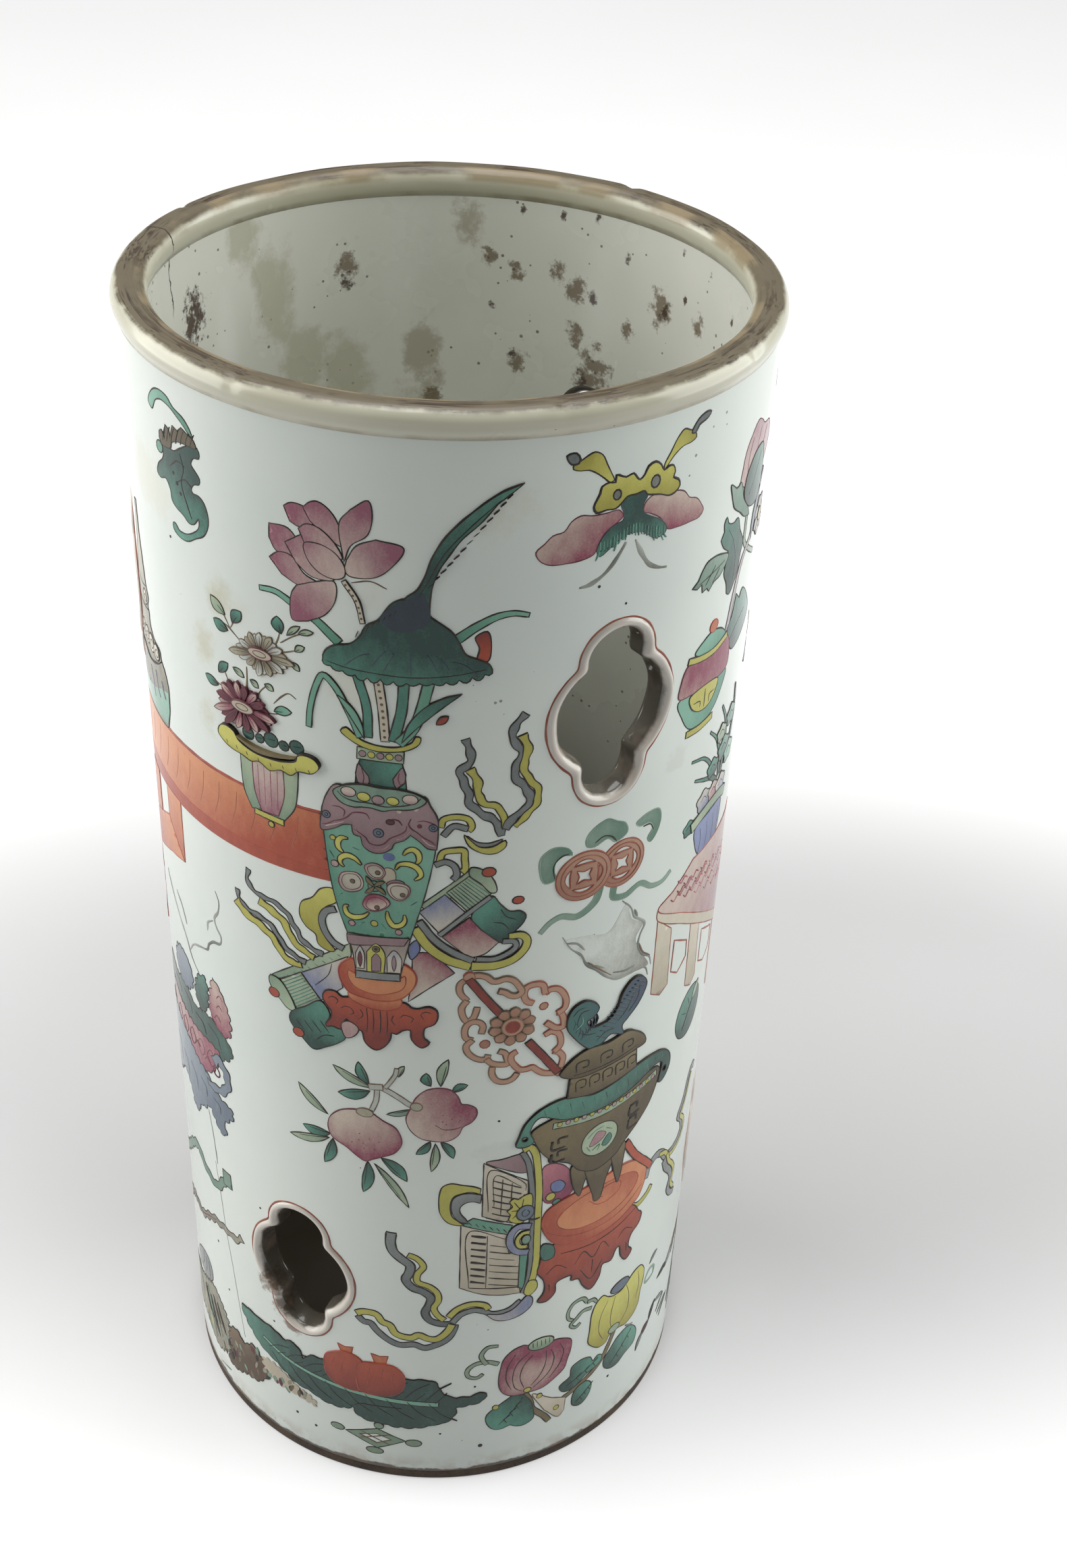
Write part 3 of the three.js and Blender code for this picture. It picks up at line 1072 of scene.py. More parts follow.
@dataclass
class Wall:
    """The thrown wall: one closed skin, pierced for the collars."""

    pot: PotShape
    grid_step: float = 2.4
    seat: float = 1.9
    hole_reach: float = 30.0
    stained_foot: float = 3.6
    foot_brown: Colour = (62, 48, 36)
    halo_brown: Colour = (150, 122, 90)
    bore_painted_shade: Colour = (74, 66, 54)
    crack: Point = (253.5, 0.264)

    def build(self) -> bpy.types.Object:
        """Makes the wall, dresses it and lets it stand for the CAD wall.

        Returns:
            The piece.
        """
        half = math.pi * GIRTH_RADIUS
        low, high = self.pot.foot, self.pot.shoulder
        columns = round(2 * half / self.grid_step)
        rows = round((high - low) / self.grid_step)
        us = np.linspace(-half, half, columns + 1)
        zs = np.linspace(low, high, rows + 1)
        frame_line = [*((u, low) for u in us[:-1]), *((half, z) for z in zs[:-1]),
                      *((u, high) for u in us[:0:-1]), *((-half, z) for z in zs[:0:-1])]
        holes = [turned_to(quatrefoil(self.seat) + (w.u, w.height), -1) for w in WINDOWS]
        grid = np.array([(u, z) for u in us[1:-1] for z in zs[1:-1]])
        for hole in holes:
            near = np.linalg.norm(grid - hole.mean(axis=0), axis=1) < self.hole_reach
            clear = np.ones(len(grid), bool)
            clear[near] = ~inside(grid[near], hole) & (clearance(grid[near], hole) > self.grid_step * 0.45)
            grid = grid[clear]
        return self.skin(*triangles([np.array(frame_line), *holes], grid), half)

    def skin(self, flat: np.ndarray, faces: list[tuple[int, ...]], half: float) -> bpy.types.Object:
        """Closes the flat pattern round the pot, adds the bore and joins the two along every edge.

        Args:
            flat: the pattern's (u, z) points.
            faces: its triangles.
            half: half the girth, where the pattern's two sides meet.

        Returns:
            The piece.
        """
        right = {round(z, 3): i for i, (u, z) in enumerate(flat) if abs(u - half) < 1e-3}
        home = {i: right[round(z, 3)] for i, (u, z) in enumerate(flat) if abs(u + half) < 1e-3}
        faces = [tuple(home.get(i, i) for i in face) for face in faces]
        outer = self.pot.wrap(flat[:, 0], flat[:, 1], self.pot.outer(flat[:, 1]))
        inner = self.pot.wrap(flat[:, 0], flat[:, 1], self.pot.bore(flat[:, 1]))
        count = len(flat)
        sides = {side: True for face in faces for side in zip(face, face[1:] + face[:1])}
        rims = [(a, b) for a, b in sides if (b, a) not in sides]
        every = [*faces, *(tuple(i + count for i in face[::-1]) for face in faces),
                 *((b, a, a + count, b + count) for a, b in rims)]
        marks = [0] * len(faces) + [1] * len(faces) + [0] * len(rims)
        used = np.unique([i for face in every for i in face])
        place = np.full(2 * count, -1)
        place[used] = np.arange(len(used))
        points = np.vstack([outer, inner])[used]
        every = [tuple(int(place[i]) for i in face) for face in every]
        piece = new_piece("wall_skin", points, every, [self.outside(), self.inside_glaze()], marks)
        self.set_normals(piece.data, len(faces))
        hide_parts("wall")
        return piece

    def set_normals(self, mesh: bpy.types.Mesh, skin_faces: int) -> None:
        """Gives the two skins the true cylinder normals, and each edge its own flat ones."""
        slope = (self.pot.shoulder_radius - self.pot.foot_radius) / (self.pot.shoulder - self.pot.foot)
        normals_out = []
        for polygon in mesh.polygons:
            for vertex in polygon.vertices:
                x, y, _ = mesh.vertices[vertex].co
                radial = Vector((x, y, 0)).normalized()
                if polygon.index < skin_faces:
                    normals_out.append(Vector((radial.x, radial.y, -slope)).normalized())
                elif polygon.index < 2 * skin_faces:
                    normals_out.append(Vector((-radial.x, -radial.y, slope)).normalized())
                else:
                    normals_out.append(polygon.normal.copy())
        mesh.normals_split_custom_set(normals_out)

    def outside(self) -> bpy.types.Material:
        """The outer glaze, dark brown where it thins out above the foot."""
        finish = GlazeFinish("glaze_outside")
        n = Nodes(finish.name)
        colour, rough, normal = finish.layers(n, OUTSIDE_STAINS)
        wavy = n.plus(n.height(), n.swing(n.noise(26, 3), 0.0045))
        wavy = n.plus(wavy, n.swing(n.noise(300, 3), 0.0022))
        dirt = n.ramp(wavy, self.stained_foot * MM, (self.stained_foot + 0.7) * MM, 0.93, 0.0)
        colour = n.blend(dirt, colour, linear(self.foot_brown))
        halo = n.ramp(wavy, (self.stained_foot + 0.4) * MM, (self.stained_foot + 6) * MM, 0.35, 0.0)
        colour = n.blend(n.times(halo, n.ramp(n.noise(200, 5), 0.4, 0.65)), colour, linear(self.halo_brown))
        return n.finish(colour, n.plus(rough, n.times(dirt, 0.5)), normal, **GLOSSY)

    def inside_glaze(self) -> bpy.types.Material:
        """The thinner, greyer glaze of the bore, with painted shade that darkens it towards the bottom."""
        finish = GlazeFinish("glaze_inside", body=(231, 232, 223), pooled=(212, 214, 204), roughness=0.16,
                             clean=0.44)
        n = Nodes(finish.name)
        colour, rough, normal = finish.layers(n, INSIDE_STAINS)
        colour = finish.cracked(n, colour, *self.crack)
        # Painted shade: below 245 mm the bore's glaze darkens towards a dark brown, most at the bottom,
        # where little light reaches.
        dim = n.ramp(n.plus(n.height(), n.times(n.noise(40, 4), 0.02)), 0.245, 0.05, 0.0, 0.9)
        colour = n.blend(dim, colour, linear(self.bore_painted_shade))
        return n.finish(colour, rough, normal, IOR=1.5, Coat_Weight=0.15, Coat_Roughness=0.1)


OLIVE, RUN, GRIME, SOOT = (184, 181, 156), (158, 150, 124), (112, 94, 68), (74, 54, 42)

OUTSIDE_STAINS = (
    Stain(((-46, 224, 10), (-46.5, 209, 9), (-42, 236, 8)), 0.6, (188, 180, 142), reach=63.2, tall=1.3,
          grain=60, edge=0.3),
    Stain(((-37, 236, 11), (-12, 246, 9)), 0.34, (196, 188, 152), reach=63.2, grain=60, edge=0.5),
    Stain(((-39.5, 53, 8), (-36.5, 48, 8), (-33.5, 44, 6)), 0.9, (112, 86, 60), reach=62, grain=220),
    Stain(((-16, 226, 14), (8, 262, 16), (-62, 252, 18)), 0.28, (206, 198, 160), reach=63.5, grain=60),
    Stain(((-52, 262, 12), (47, 200, 9), (12, 108, 10), (-25, 60, 9)), 0.2, (186, 184, 168), reach=63,
          grain=90),
)

COLLAR_STAINS = (
    Stain(((-39, 54, 9), (-36, 48, 9)), 0.9, (92, 68, 46), reach=61, grain=220),
)

INSIDE_STAINS = (
    Stain(((221, 258, 14), (215, 238, 14), (228, 276, 11), (212, 226, 14), (203, 236, 15), (208, 222, 18),
           (190, 222, 14)), 0.66, OLIVE, tall=2.0, grain=70, edge=0.2),
    Stain(((177, 270, 8), (186, 244, 10), (183, 232, 8)), 0.66, RUN, tall=1.7, grain=110),
    Stain(((203, 262, 6), (166, 261, 4), (172, 264, 4), (157, 262, 4.5), (152, 259, 5), (130, 261, 7),
           (152, 249, 5), (147, 241, 10), (165, 240, 5), (118, 261, 5), (139, 253, 4), (184, 230, 5)), 0.85,
          GRIME, tall=1.4, grain=420),
    Stain(((245, 262, 9.5), (203, 259, 3), (129, 260, 3.5), (150, 238, 4), (166.5, 242, 2.2),
           (140.2, 269, 2.0), (165, 275, 1.8), (124.8, 275, 1.4), (115, 274, 1.6), (148, 258, 2.4),
           (171, 253, 2.0), (156, 275, 1.6), (148, 276, 2.0), (104, 268, 1.6), (123, 265, 1.5)), 0.95, SOOT,
          tall=1.5, grain=520),
)


@dataclass
class Collar:
    """A luted collar: a rounded bead outside, a jamb and a bevel towards the bore."""

    pot: PotShape
    window: Window
    width: float = 2.3
    rise: float = 0.55
    section: tuple[Point, ...] = (
        (1.10, -0.15), (1.0, 0.04), (0.94, 0.45), (0.85, 0.8), (0.74, 0.98), (0.62, 1.0), (0.5, 0.88),
        (0.38, 0.55), (0.27, 0.05), (0.16, -0.6), (0.06, -1.4), (0.0, -2.4))
    bevel: tuple[Point, ...] = ((0.0, 1.7), (0.06, 1.1), (0.25, 0.5), (0.55, 0.1), (1.1, 0.15))

    def build(self) -> bpy.types.Object:
        """Makes the collar, dresses it and lets it stand for its CAD node.

        Returns:
            The piece.
        """
        rows = [self.row(share * self.width, rise * self.rise, self.pot.outer)
                for share, rise in self.section]
        rows += [self.row(share * self.width, lift, self.pot.bore) for share, lift in self.bevel]
        points = np.vstack(rows)
        faces = [face[::-1] for face in tube_faces(len(rows), WINDOW_POINTS)]
        piece = new_piece(self.window.node + "_glazed", points, faces, [collar_glaze()])
        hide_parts(self.window.node)
        return piece

    def row(self, offset: float, lift: float, radius_at: Callable[[np.ndarray], np.ndarray]) -> np.ndarray:
        """One loop round the window, a little uneven as a hand leaves it.

        Args:
            offset: how far outside the opening the loop lies.
            lift: how far it stands off the surface.
            radius_at: gives the surface's radius at a height.

        Returns:
            The loop's points in metres.
        """
        loop_points = quatrefoil(offset)
        around = np.arctan2(loop_points[:, 1], loop_points[:, 0])
        seed = self.window.seed
        uneven = 0.1 * np.sin(3 * around + seed) + 0.07 * np.sin(5 * around + 2.1 * seed)
        uneven += 0.05 * np.sin(9 * around + 0.7 * seed)
        away = loop_points / np.linalg.norm(loop_points, axis=1)[:, None]
        flat = loop_points + away * uneven[:, None] + (self.window.u, self.window.height)
        swell = lift + 0.06 * np.sin(4 * around + 1.3 * seed) * (1 if 0 < lift < 1 else 0)
        return self.pot.wrap(flat[:, 0], flat[:, 1], radius_at(flat[:, 1]) + swell)


FACE_AT_FOOT, FACE_FLARE = 0.0611, 0.01154
JAMB_GRIME_AND_SHADE, CLAY_BLUSH = (66, 60, 50), (206, 176, 158)


def collar_glaze() -> bpy.types.Material:
    """Cream glaze over the beads, darkened in the jambs by grime and painted shade, with pinkish clay where
    it is thin.
    """
    made = bpy.data.materials.get("glaze_collar")
    if made:
        return made
    finish = GlazeFinish("glaze_collar", body=(210, 203, 193), pooled=(196, 192, 183))
    n = Nodes(finish.name)
    colour, rough, normal = finish.layers(n, COLLAR_STAINS)
    # The jambs, sunk between the bead and the bore, are darkened towards a dark brown: grime, and painted
    # shade in the recess.
    reached = n.plus(n.radius(), n.swing(n.noise(240, 5), 0.0018))
    face = n.plus(FACE_AT_FOOT, n.times(n.height(), FACE_FLARE))
    sunk = n.math("SUBTRACT", face, reached)
    darkening = n.times(n.ramp(sunk, -0.0001, 0.0009), n.ramp(sunk, 0.0088, 0.0074))
    colour = n.blend(n.times(darkening, 0.92), colour, linear(JAMB_GRIME_AND_SHADE))
    blush = n.times(n.ramp(n.noise(120, 3, shift=2), 0.5, 0.7), 0.22)
    colour = n.blend(blush, colour, linear(CLAY_BLUSH))
    return n.finish(colour, rough, normal, **GLOSSY)


@dataclass
class Lip:
    """The rolled lip, rubbed flat and brown on its crest, with a few chips."""

    pot: PotShape
    roll_height: float = 2.7
    overhang: float = 1.0
    inset: float = 0.8
    crest_width: float = 2.4
    turns: int = 400
    chips: tuple[Point3, ...] = ((1.02, 2.4, 0.5), (-0.62, 1.6, 0.35), (2.5, 2.0, 0.45), (-2.1, 1.4, 0.4),
                                 (0.31, 1.1, 0.25))
    crest_heights: Point = (0.2813, 0.2824)
    crest_radii: Point = (0.0646, 0.0636)
    edge_radii: Point = (0.0607, 0.0603)
    edge_heights: Point = (0.2800, 0.2812)
    crease_heights: Point = (0.2786, 0.2777)
    worn_brown: Colour = (92, 80, 60)
    edge_tan: Colour = (150, 134, 104)
    crease_dirt_and_shade: Colour = (150, 138, 112)
    streaks: tuple[tuple[float, float, Colour], ...] = ((1100.0, 0.49, (66, 50, 36)),
                                                        (2600.0, 0.53, (44, 32, 24)))
    crack: Point = (253.0, 0.276)

    def build(self) -> bpy.types.Object:
        """Makes the lip, dresses it and lets it stand for the CAD lip.

        Returns:
            The piece.
        """
        profile = self.profile()
        points = turned(profile, self.turns, self.waver(profile))
        piece = new_piece("lip_worn", points, tube_faces(len(profile), self.turns), [self.glaze()])
        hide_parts("lip_ring")
        return piece

    def profile(self) -> list[Point]:
        """The lip's section, from the bore round the outside and over the crest."""
        shoulder, level, top = self.pot.shoulder, self.pot.shoulder + self.roll_height, self.pot.height
        outside = self.pot.shoulder_radius + self.overhang
        bore = float(self.pot.bore(shoulder))
        inside_radius = bore - self.inset
        middle = (outside + inside_radius) / 2
        crest_out, crest_in = middle + self.crest_width / 2, middle - self.crest_width / 2
        points: list[Point] = [(bore, shoulder - 0.4), (self.pot.shoulder_radius - 0.05, shoulder - 0.4),
                               (self.pot.shoulder_radius - 0.02, shoulder + 0.1)]
        for share in np.linspace(0.1, 1.0, 6):
            swell = 0.5 - 0.5 * math.cos(math.pi * share ** 0.8)
            points.append((self.pot.shoulder_radius + self.overhang * swell,
                           shoulder + self.roll_height * share))
        for turn in np.linspace(0.15, 0.5 * math.pi, 7):
            points.append((crest_out + (outside - crest_out) * math.cos(turn),
                           level + (top - level) * math.sin(turn)))
        points.append((middle, top))
        for turn in np.linspace(0.5 * math.pi, 0, 8):
            points.append((crest_in - (crest_in - inside_radius) * math.cos(turn),
                           level + (top - level) * math.sin(turn)))
        points.append((inside_radius + 0.25, level - 1.6))
        return points

    def waver(self, profile: list[Point]) -> Callable[[float, int], Point]:
        """Gives the change of a profile point at an angle: small unevenness, and the chips."""
        outermost = max(radius for radius, _ in profile)
        middle = (outermost + min(radius for radius, _ in profile)) / 2

        def change(angle: float, place: int) -> Point:
            """The (radius, z) change."""
            radius, z = profile[place]
            if z < self.pot.shoulder + 0.2:
                return (0.0, 0.0)
            sag = -0.06 * (1 + math.sin(7 * angle + 0.4)) - 0.04 * (1 + math.sin(17 * angle))
            inward = -0.05 * (1 + math.sin(5 * angle + 1.1)) * (1 if radius > middle else -1)
            crest = (z - self.pot.shoulder) / (self.pot.height - self.pot.shoulder)
            drop = 0.0
            for chip_angle, wide, deep in self.chips:
                near = math.remainder(angle - chip_angle, 2 * math.pi) * radius / wide
                if radius > middle and abs(near) < 1.4:
                    drop += deep * math.exp(-2 * near * near) * max(0.0, crest) ** 2
            return (inward - drop * 0.8, (sag - drop) * crest)

        return change

    def glaze(self) -> bpy.types.Material:
        """Cream glaze that is worn through to stained clay on the crest, and darkened in the crease under
        the roll by dirt and painted shade.
        """
        finish = GlazeFinish("glaze_lip", body=(205, 203, 184), pooled=(178, 174, 148), roughness=0.13)
        n = Nodes(finish.name)
        colour, rough, normal = finish.layers(n)
        radius, height = n.radius(), n.height()
        uneven = n.swing(n.noise(150, 6, 0.65), 0.0022)
        crest = n.ramp(n.plus(height, n.times(uneven, 0.6)), *self.crest_heights)
        crest = n.times(crest, n.ramp(n.plus(radius, uneven), *self.crest_radii))
        colour = n.blend(n.times(crest, 0.92), colour, linear(self.worn_brown))
        for scale, low, tone in self.streaks:
            bent = n.times(n.noise(14, 3), 0.02)
            rings = n.add("CombineXYZ", {0: radius, 1: n.times(height, 0.4), 2: bent})
            grain = n.add("TexNoise", {"Vector": rings.outputs[0], "Scale": scale, "Detail": 3.0})
            patchy = n.ramp(n.noise(60, 4, shift=scale), 0.4, 0.6)
            streak = n.times(n.times(n.ramp(grain.outputs["Fac"], low, low + 0.09), crest), patchy)
            colour = n.blend(n.times(streak, 0.85), colour, linear(tone))
        edge = n.times(n.ramp(radius, *self.edge_radii), n.ramp(height, *self.edge_heights))
        edge = n.times(edge, n.ramp(n.noise(60, 5, shift=7), 0.42, 0.6, 0.0, 0.75))
        colour = n.blend(edge, colour, linear(self.edge_tan))
        # The crease under the roll is darkened in patches towards tan: dirt, and painted shade where the
        # roll overhangs.
        crease = n.ramp(n.plus(height, n.times(uneven, 0.4)), *self.crease_heights)
        crease = n.times(crease, n.ramp(n.noise(110, 4, shift=5), 0.4, 0.65, 0.12, 0.6))
        colour = n.blend(crease, colour, linear(self.crease_dirt_and_shade))
        colour = finish.cracked(n, colour, *self.crack)
        rough = n.plus(rough, n.times(crest, 0.25))
        return n.finish(colour, rough, normal, IOR=1.5, Coat_Weight=0.2, Coat_Roughness=0.06)


@dataclass
class Foot:
    """The unglazed foot ring and the sunk base disc."""

    pot: PotShape
    width: float = 9.0
    chamfer: float = 0.7
    base_thickness: float = 6.0
    turns: int = 300
    bare_rings: int = 4
    foot_clay: Colour = (88, 72, 58)
    base_clay: Colour = (186, 168, 142)
    darkening: Colour = (40, 30, 24)

    def build(self) -> None:
        """Makes the ring and the disc, and lets them stand for their CAD nodes."""
        outer = float(self.pot.outer(0.0))
        inner = outer - self.width
        top = self.pot.foot
        ring = [(inner + 0.4, 0.05), (inner + 1.4, 0.0), (outer - self.chamfer, 0.0), (outer - 0.35, 0.14),
                (outer - 0.1, 0.42), (float(self.pot.outer(0.9)), 0.9), (float(self.pot.outer(2.2)), 2.2),
                (float(self.pot.outer(top)), top + 0.01), (inner, top + 0.01), (inner, 2.0),
                (inner + 0.1, 0.6)]
        points = turned(ring, self.turns, self.scraped)
        piece = new_piece("foot_ring_biscuit", points, tube_faces(len(ring), self.turns),
                          [self.biscuit("biscuit_foot", self.foot_clay)])
        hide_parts("foot_ring")
        self.build_base(float(self.pot.bore(top)), inner, top)

    def build_base(self, radius: float, opening: float, low: float) -> None:
        """Makes the base disc: scraped bare below, glazed above, with glaze pooled at the wall."""
        high = low + self.base_thickness
        profile = [(0.0, low - 0.35), (opening * 0.5, low - 0.28), (opening - 2, low - 0.1), (opening, low),
                   (radius, low), (radius, high + 1.2), (radius - 0.5, high + 0.55),
                   (radius - 1.4, high + 0.12), (radius - 3, high - 0.05), (radius * 0.6, high - 0.3),
                   (0.0, high - 0.45)]
        rings = profile[1:-1]
        rows = len(rings)

        def ripple(angle: float, place: int) -> Point:
            """The scraper's rings on the part that shows below."""
            reach = rings[place][0]
            return (0.0, 0.05 * math.sin(40 * reach / radius) if reach < opening else 0.0)

        points = turned(rings, self.turns, ripple)
        faces = tube_faces(rows, self.turns, closed=False)
        glazed_from = self.bare_rings * self.turns
        marks = [0 if min(face) < glazed_from else 1 for face in faces] + [0, 1] * self.turns
        below, above = len(points), len(points) + 1
        points += [(0.0, 0.0, profile[0][1] * MM), (0.0, 0.0, profile[-1][1] * MM)]
        last = (rows - 1) * self.turns
        for i in range(self.turns):
            j = (i + 1) % self.turns
            faces.append((below, j, i))
            faces.append((above, last + i, last + j))
        # The glazed top of the base, at the bottom of the bore, is near-black brown: painted shade, with the
        # floor stains as dirt on top.
        floor = GlazeFinish("glaze_floor", body=(66, 58, 46), pooled=(48, 40, 32), roughness=0.3)
        piece = new_piece("base_disc_sunk", points, faces,
                          [self.biscuit("biscuit_base", self.base_clay), floor.material(FLOOR_STAINS)],
                          marks)
        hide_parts("base_disc")

    @staticmethod
    def scraped(angle: float, place: int) -> Point:
        """The small unevenness that a scraping tool leaves."""
        if place < 3:
            return (0.05 * math.sin(11 * angle), 0.0)
        return (0.03 * (math.sin(9 * angle) - 1), 0.0)

    def biscuit(self, name: str, clay: Colour) -> bpy.types.Material:
        """Bare fired clay, darkened by handling.

        Args:
            name: the material's name.
            clay: its colour.

        Returns:
            The material.
        """
        n = Nodes(name)
        cloud = n.ramp(n.noise(70, 6, 0.7), 0.3, 0.7)
        dark = (clay[0] * 0.55, clay[1] * 0.55, clay[2] * 0.55)
        colour = n.blend(cloud, linear(dark), linear(clay))
        grain = n.noise(1600, 4, 0.7)
        colour = n.blend(n.times(n.ramp(grain, 0.55, 0.75), 0.4), colour, linear(self.darkening))
        return n.finish(colour, n.ramp(grain, 0.2, 0.8, 0.7, 0.95), n.bump(grain, 0.0003, 0.6))


FLOOR_STAINS = (
    Stain(((51, 9, 34), (-140, 9, 30)), 0.6, (122, 100, 72), reach=20, grain=100),
)


# The studio

@dataclass
class Studio:
    """A pale floor, soft light from both sides and above, and the camera at the photograph's angle."""

    camera_place: Point3 = (0.0, -0.40200, 0.43757)
    camera_forward: Point3 = (0.04109949, 0.82521708, -0.56331839)
    camera_up: Point3 = (-0.01551454, 0.56425387, 0.82545555)
    focal_pixels: float = 3221.0
    sensor: float = 36.0
    floor_reach: float = 4.0
    room_strength: float = 0.16
    white_strength: float = 0.66
    shade_strength: float = 0.06
    room_colour: tuple[float, float, float, float] = (0.98, 1.0, 0.97, 1.0)
    lamps: tuple[tuple[str, Point3, float, float, Colour], ...] = (
        ("lamp_left", (-0.95, 0.1, 0.45), 0.9, 9.0, (1.0, 0.995, 0.972)),
        ("lamp_right", (0.95, 0.1, 0.45), 0.9, 7.8, (0.99, 1.0, 0.985)),
        ("lamp_above", (-0.05, 0.1, 1.25), 1.0, 11.2, (1.0, 1.0, 0.99)))
    lamp_target: Point3 = (0.0, 0.0, 0.14)

    def build(self) -> None:
        """Makes the floor, the lamps, the room's light and the camera."""
        self.build_floor()
        for name, place, size, power, colour in self.lamps:
            self.lamp(name, place, size, power, colour)
        world = bpy.data.worlds.new("room")
        bpy.context.scene.world = world
        world.use_nodes = True
        background = world.node_tree.nodes["Background"]
        background.inputs["Color"].default_value = self.room_colour
        background.inputs["Strength"].default_value = self.room_strength
        bpy.context.scene.view_settings.view_transform = "Standard"
        self.build_camera()

    def build_floor(self) -> None:
        """Makes the pale floor that the pot stands on, with a painted shadow about the pot in its glow."""
        reach = self.floor_reach
        mesh = bpy.data.meshes.new("floor")
        mesh.from_pydata([(-reach, -reach, 0), (reach, -reach, 0), (reach, reach, 0), (-reach, reach, 0)],
                         [], [(0, 1, 2, 3)])
        n = Nodes("floor_paper")
        colour = n.blend(n.ramp(n.noise(6, 2), 0.3, 0.7), (0.5, 0.5, 0.5, 1), (0.52, 0.52, 0.525, 1))
        seen = n.add("LightPath").outputs
        kinds = n.math("ADD", n.math("ADD", seen["Is Camera Ray"], seen["Is Glossy Ray"]),
                       seen["Is Transmission Ray"], clamp=True)
        # Painted shadow: the floor's glow for camera and glossy rays drops to the shade strength in a soft
        # ellipse about the pot, a little behind it and to the right.
        away = n.vector("MULTIPLY", n.vector("SUBTRACT", n.place(), (0.05, 0.10, 0)), (3.0, 6.0, 1))
        white_with_painted_shadow = n.ramp(n.vector("LENGTH", away), 0.45, 1.25, self.shade_strength, self.white_strength)
        mesh.materials.append(n.finish(colour, 0.9, Specular_IOR_Level=0.1, Emission_Color=(1, 1, 1, 1),
                                       Emission_Strength=n.times(kinds, white_with_painted_shadow)))
        floor = bpy.data.objects.new("floor", mesh)
        bpy.context.scene.collection.objects.link(floor)

    def lamp(self, name: str, place: Point3, size: float, power: float, colour: Colour) -> None:
        """Hangs a soft lamp that faces the middle of the pot.

        Args:
            name: the lamp's name.
            place: where it hangs, in metres.
            size: its width and its height in metres.
            power: its power in watts.
            colour: its colour.
        """
        light = bpy.data.lights.new(name, "AREA")
        light.shape = "RECTANGLE"
        light.size = light.size_y = size
        light.energy = power
        light.color = colour
        lamp = bpy.data.objects.new(name, light)
        lamp.location = place
        lamp.rotation_euler = (Vector(self.lamp_target) - Vector(place)).to_track_quat("-Z", "Y").to_euler()
        bpy.context.scene.collection.objects.link(lamp)

    def build_camera(self) -> None:
        """Makes the camera and gives it to the scene."""
        data = bpy.data.cameras.new("camera")
        data.sensor_width = self.sensor
        data.lens = self.focal_pixels * self.sensor / max(PHOTO_WIDTH, PHOTO_HEIGHT)
        data.clip_start = 0.01
        camera = bpy.data.objects.new("camera", data)
        forward, up = Vector(self.camera_forward), Vector(self.camera_up)
        right = forward.cross(up)
        turn = Matrix((right, up, -forward)).transposed()
        camera.matrix_world = Matrix.Translation(self.camera_place) @ turn.to_4x4()
        bpy.context.scene.collection.objects.link(camera)
        bpy.context.scene.camera = camera


# The painted motifs, each drawn at its home place on the front

class Motif:
    """A painted motif, which knows how to draw itself at its home place."""

    name = "motif"

    def paint(self, p: Painting) -> None:
        """Draws the motif."""
        raise NotImplementedError


class Bat(Motif):
    """A bat with curled wings, a happy sign, flying down from a scrolled crest."""

    name = "bat"

    def paint(self, p: Painting) -> None:
        """Draws the crest, the body and the fur."""
        p.fill(blob((-64.9, 269.2), (-64, 271.2), (-62, 272.8), (-59.8, 273.3), (-57.5, 272.9),
                    (-55.8, 271.6), (-53, 270.6), (-51.2, 269.2), (-50.3, 267.5), (-51.3, 267.9),
                    (-52.5, 268.8), (-55, 270.3), (-57, 271.2), (-60, 271.5), (-61.9, 270.6), (-62.8, 269.2),
                    (-63.5, 268.3)), TEAL, wash=((-64, 270), (-51, 268)), rim=0.3)
        body = blob((-60.5, 262.6), (-56.5, 262.6), (-54.5, 263.8), (-52, 265.3), (-49.8, 266.2),
                    (-48.7, 265.2), (-48.8, 263.9), (-50.4, 263.5), (-51.2, 262), (-50, 260.8), (-49, 259.8),
                    (-49.2, 258.6), (-50.8, 258), (-51.6, 256.8), (-51.2, 256.1), (-49.6, 256.1),
                    (-48.2, 255.2), (-47.3, 253), (-47.5, 250.5), (-48.8, 248.3), (-51, 246.9), (-54, 245.1),
                    (-56.5, 245), (-58.3, 245.9), (-58.4, 247.2), (-57.5, 247.3), (-56.5, 246.4),
                    (-54, 246.6), (-51.5, 248), (-50.1, 249.5), (-50, 251.3), (-51.5, 249.6), (-53, 249.3),
                    (-54.5, 250.2), (-57, 251), (-58.2, 252), (-58.5, 253.8), (-60, 255.7), (-62, 255),
                    (-63.2, 255.6), (-62.6, 257.6), (-60.8, 259.3), (-60.2, 260.5))
        p.fill(body, LEAF, wash=((-56, 246), (-53, 259)), rim=0.2)
        p.fill(disc((-61.5, 261.5), 1.2), TEAL, depth=0.8)
        p.fill(loop([(-60.3, 265.3), (-59.3, 263.9)], [(-58.8, 266.9)], [(-57.6, 266.3), (-57.3, 264.9)],
                    [(-56.3, 267.7)], [(-54.8, 267.2)], [(-53.5, 268.3)],
                    [(-51.5, 267.6), (-50, 267), (-49.4, 265.7), (-52.5, 265.4), (-55, 265), (-57, 264),
                     (-57.3, 262.9), (-60.5, 262.4), (-61.3, 263.5)], [(-61.2, 264.8)]), BROWN, depth=0.9,
               width=0.3)
        for i in range(7):
            u = -60 + i * 1.5
            p.line((u, 263.4 + 0.35 * i), (u + 0.5, 265.2 + 0.3 * i), (u + 1.2, 266.8 + 0.24 * i), width=0.3)
        p.line((-58, 259), (-55.5, 261), (-53.2, 260.6), width=0.5)
        p.line((-56, 256.5), (-53.4, 258), (-51.5, 257.2), width=0.4)
        p.line((-54.5, 262.8), (-53.6, 260), (-54.6, 257), (-53.2, 253), (-52, 250.5), width=0.45)
        p.dots([(-57, 258), (-55, 254.5)], 3, 0.4, INK)


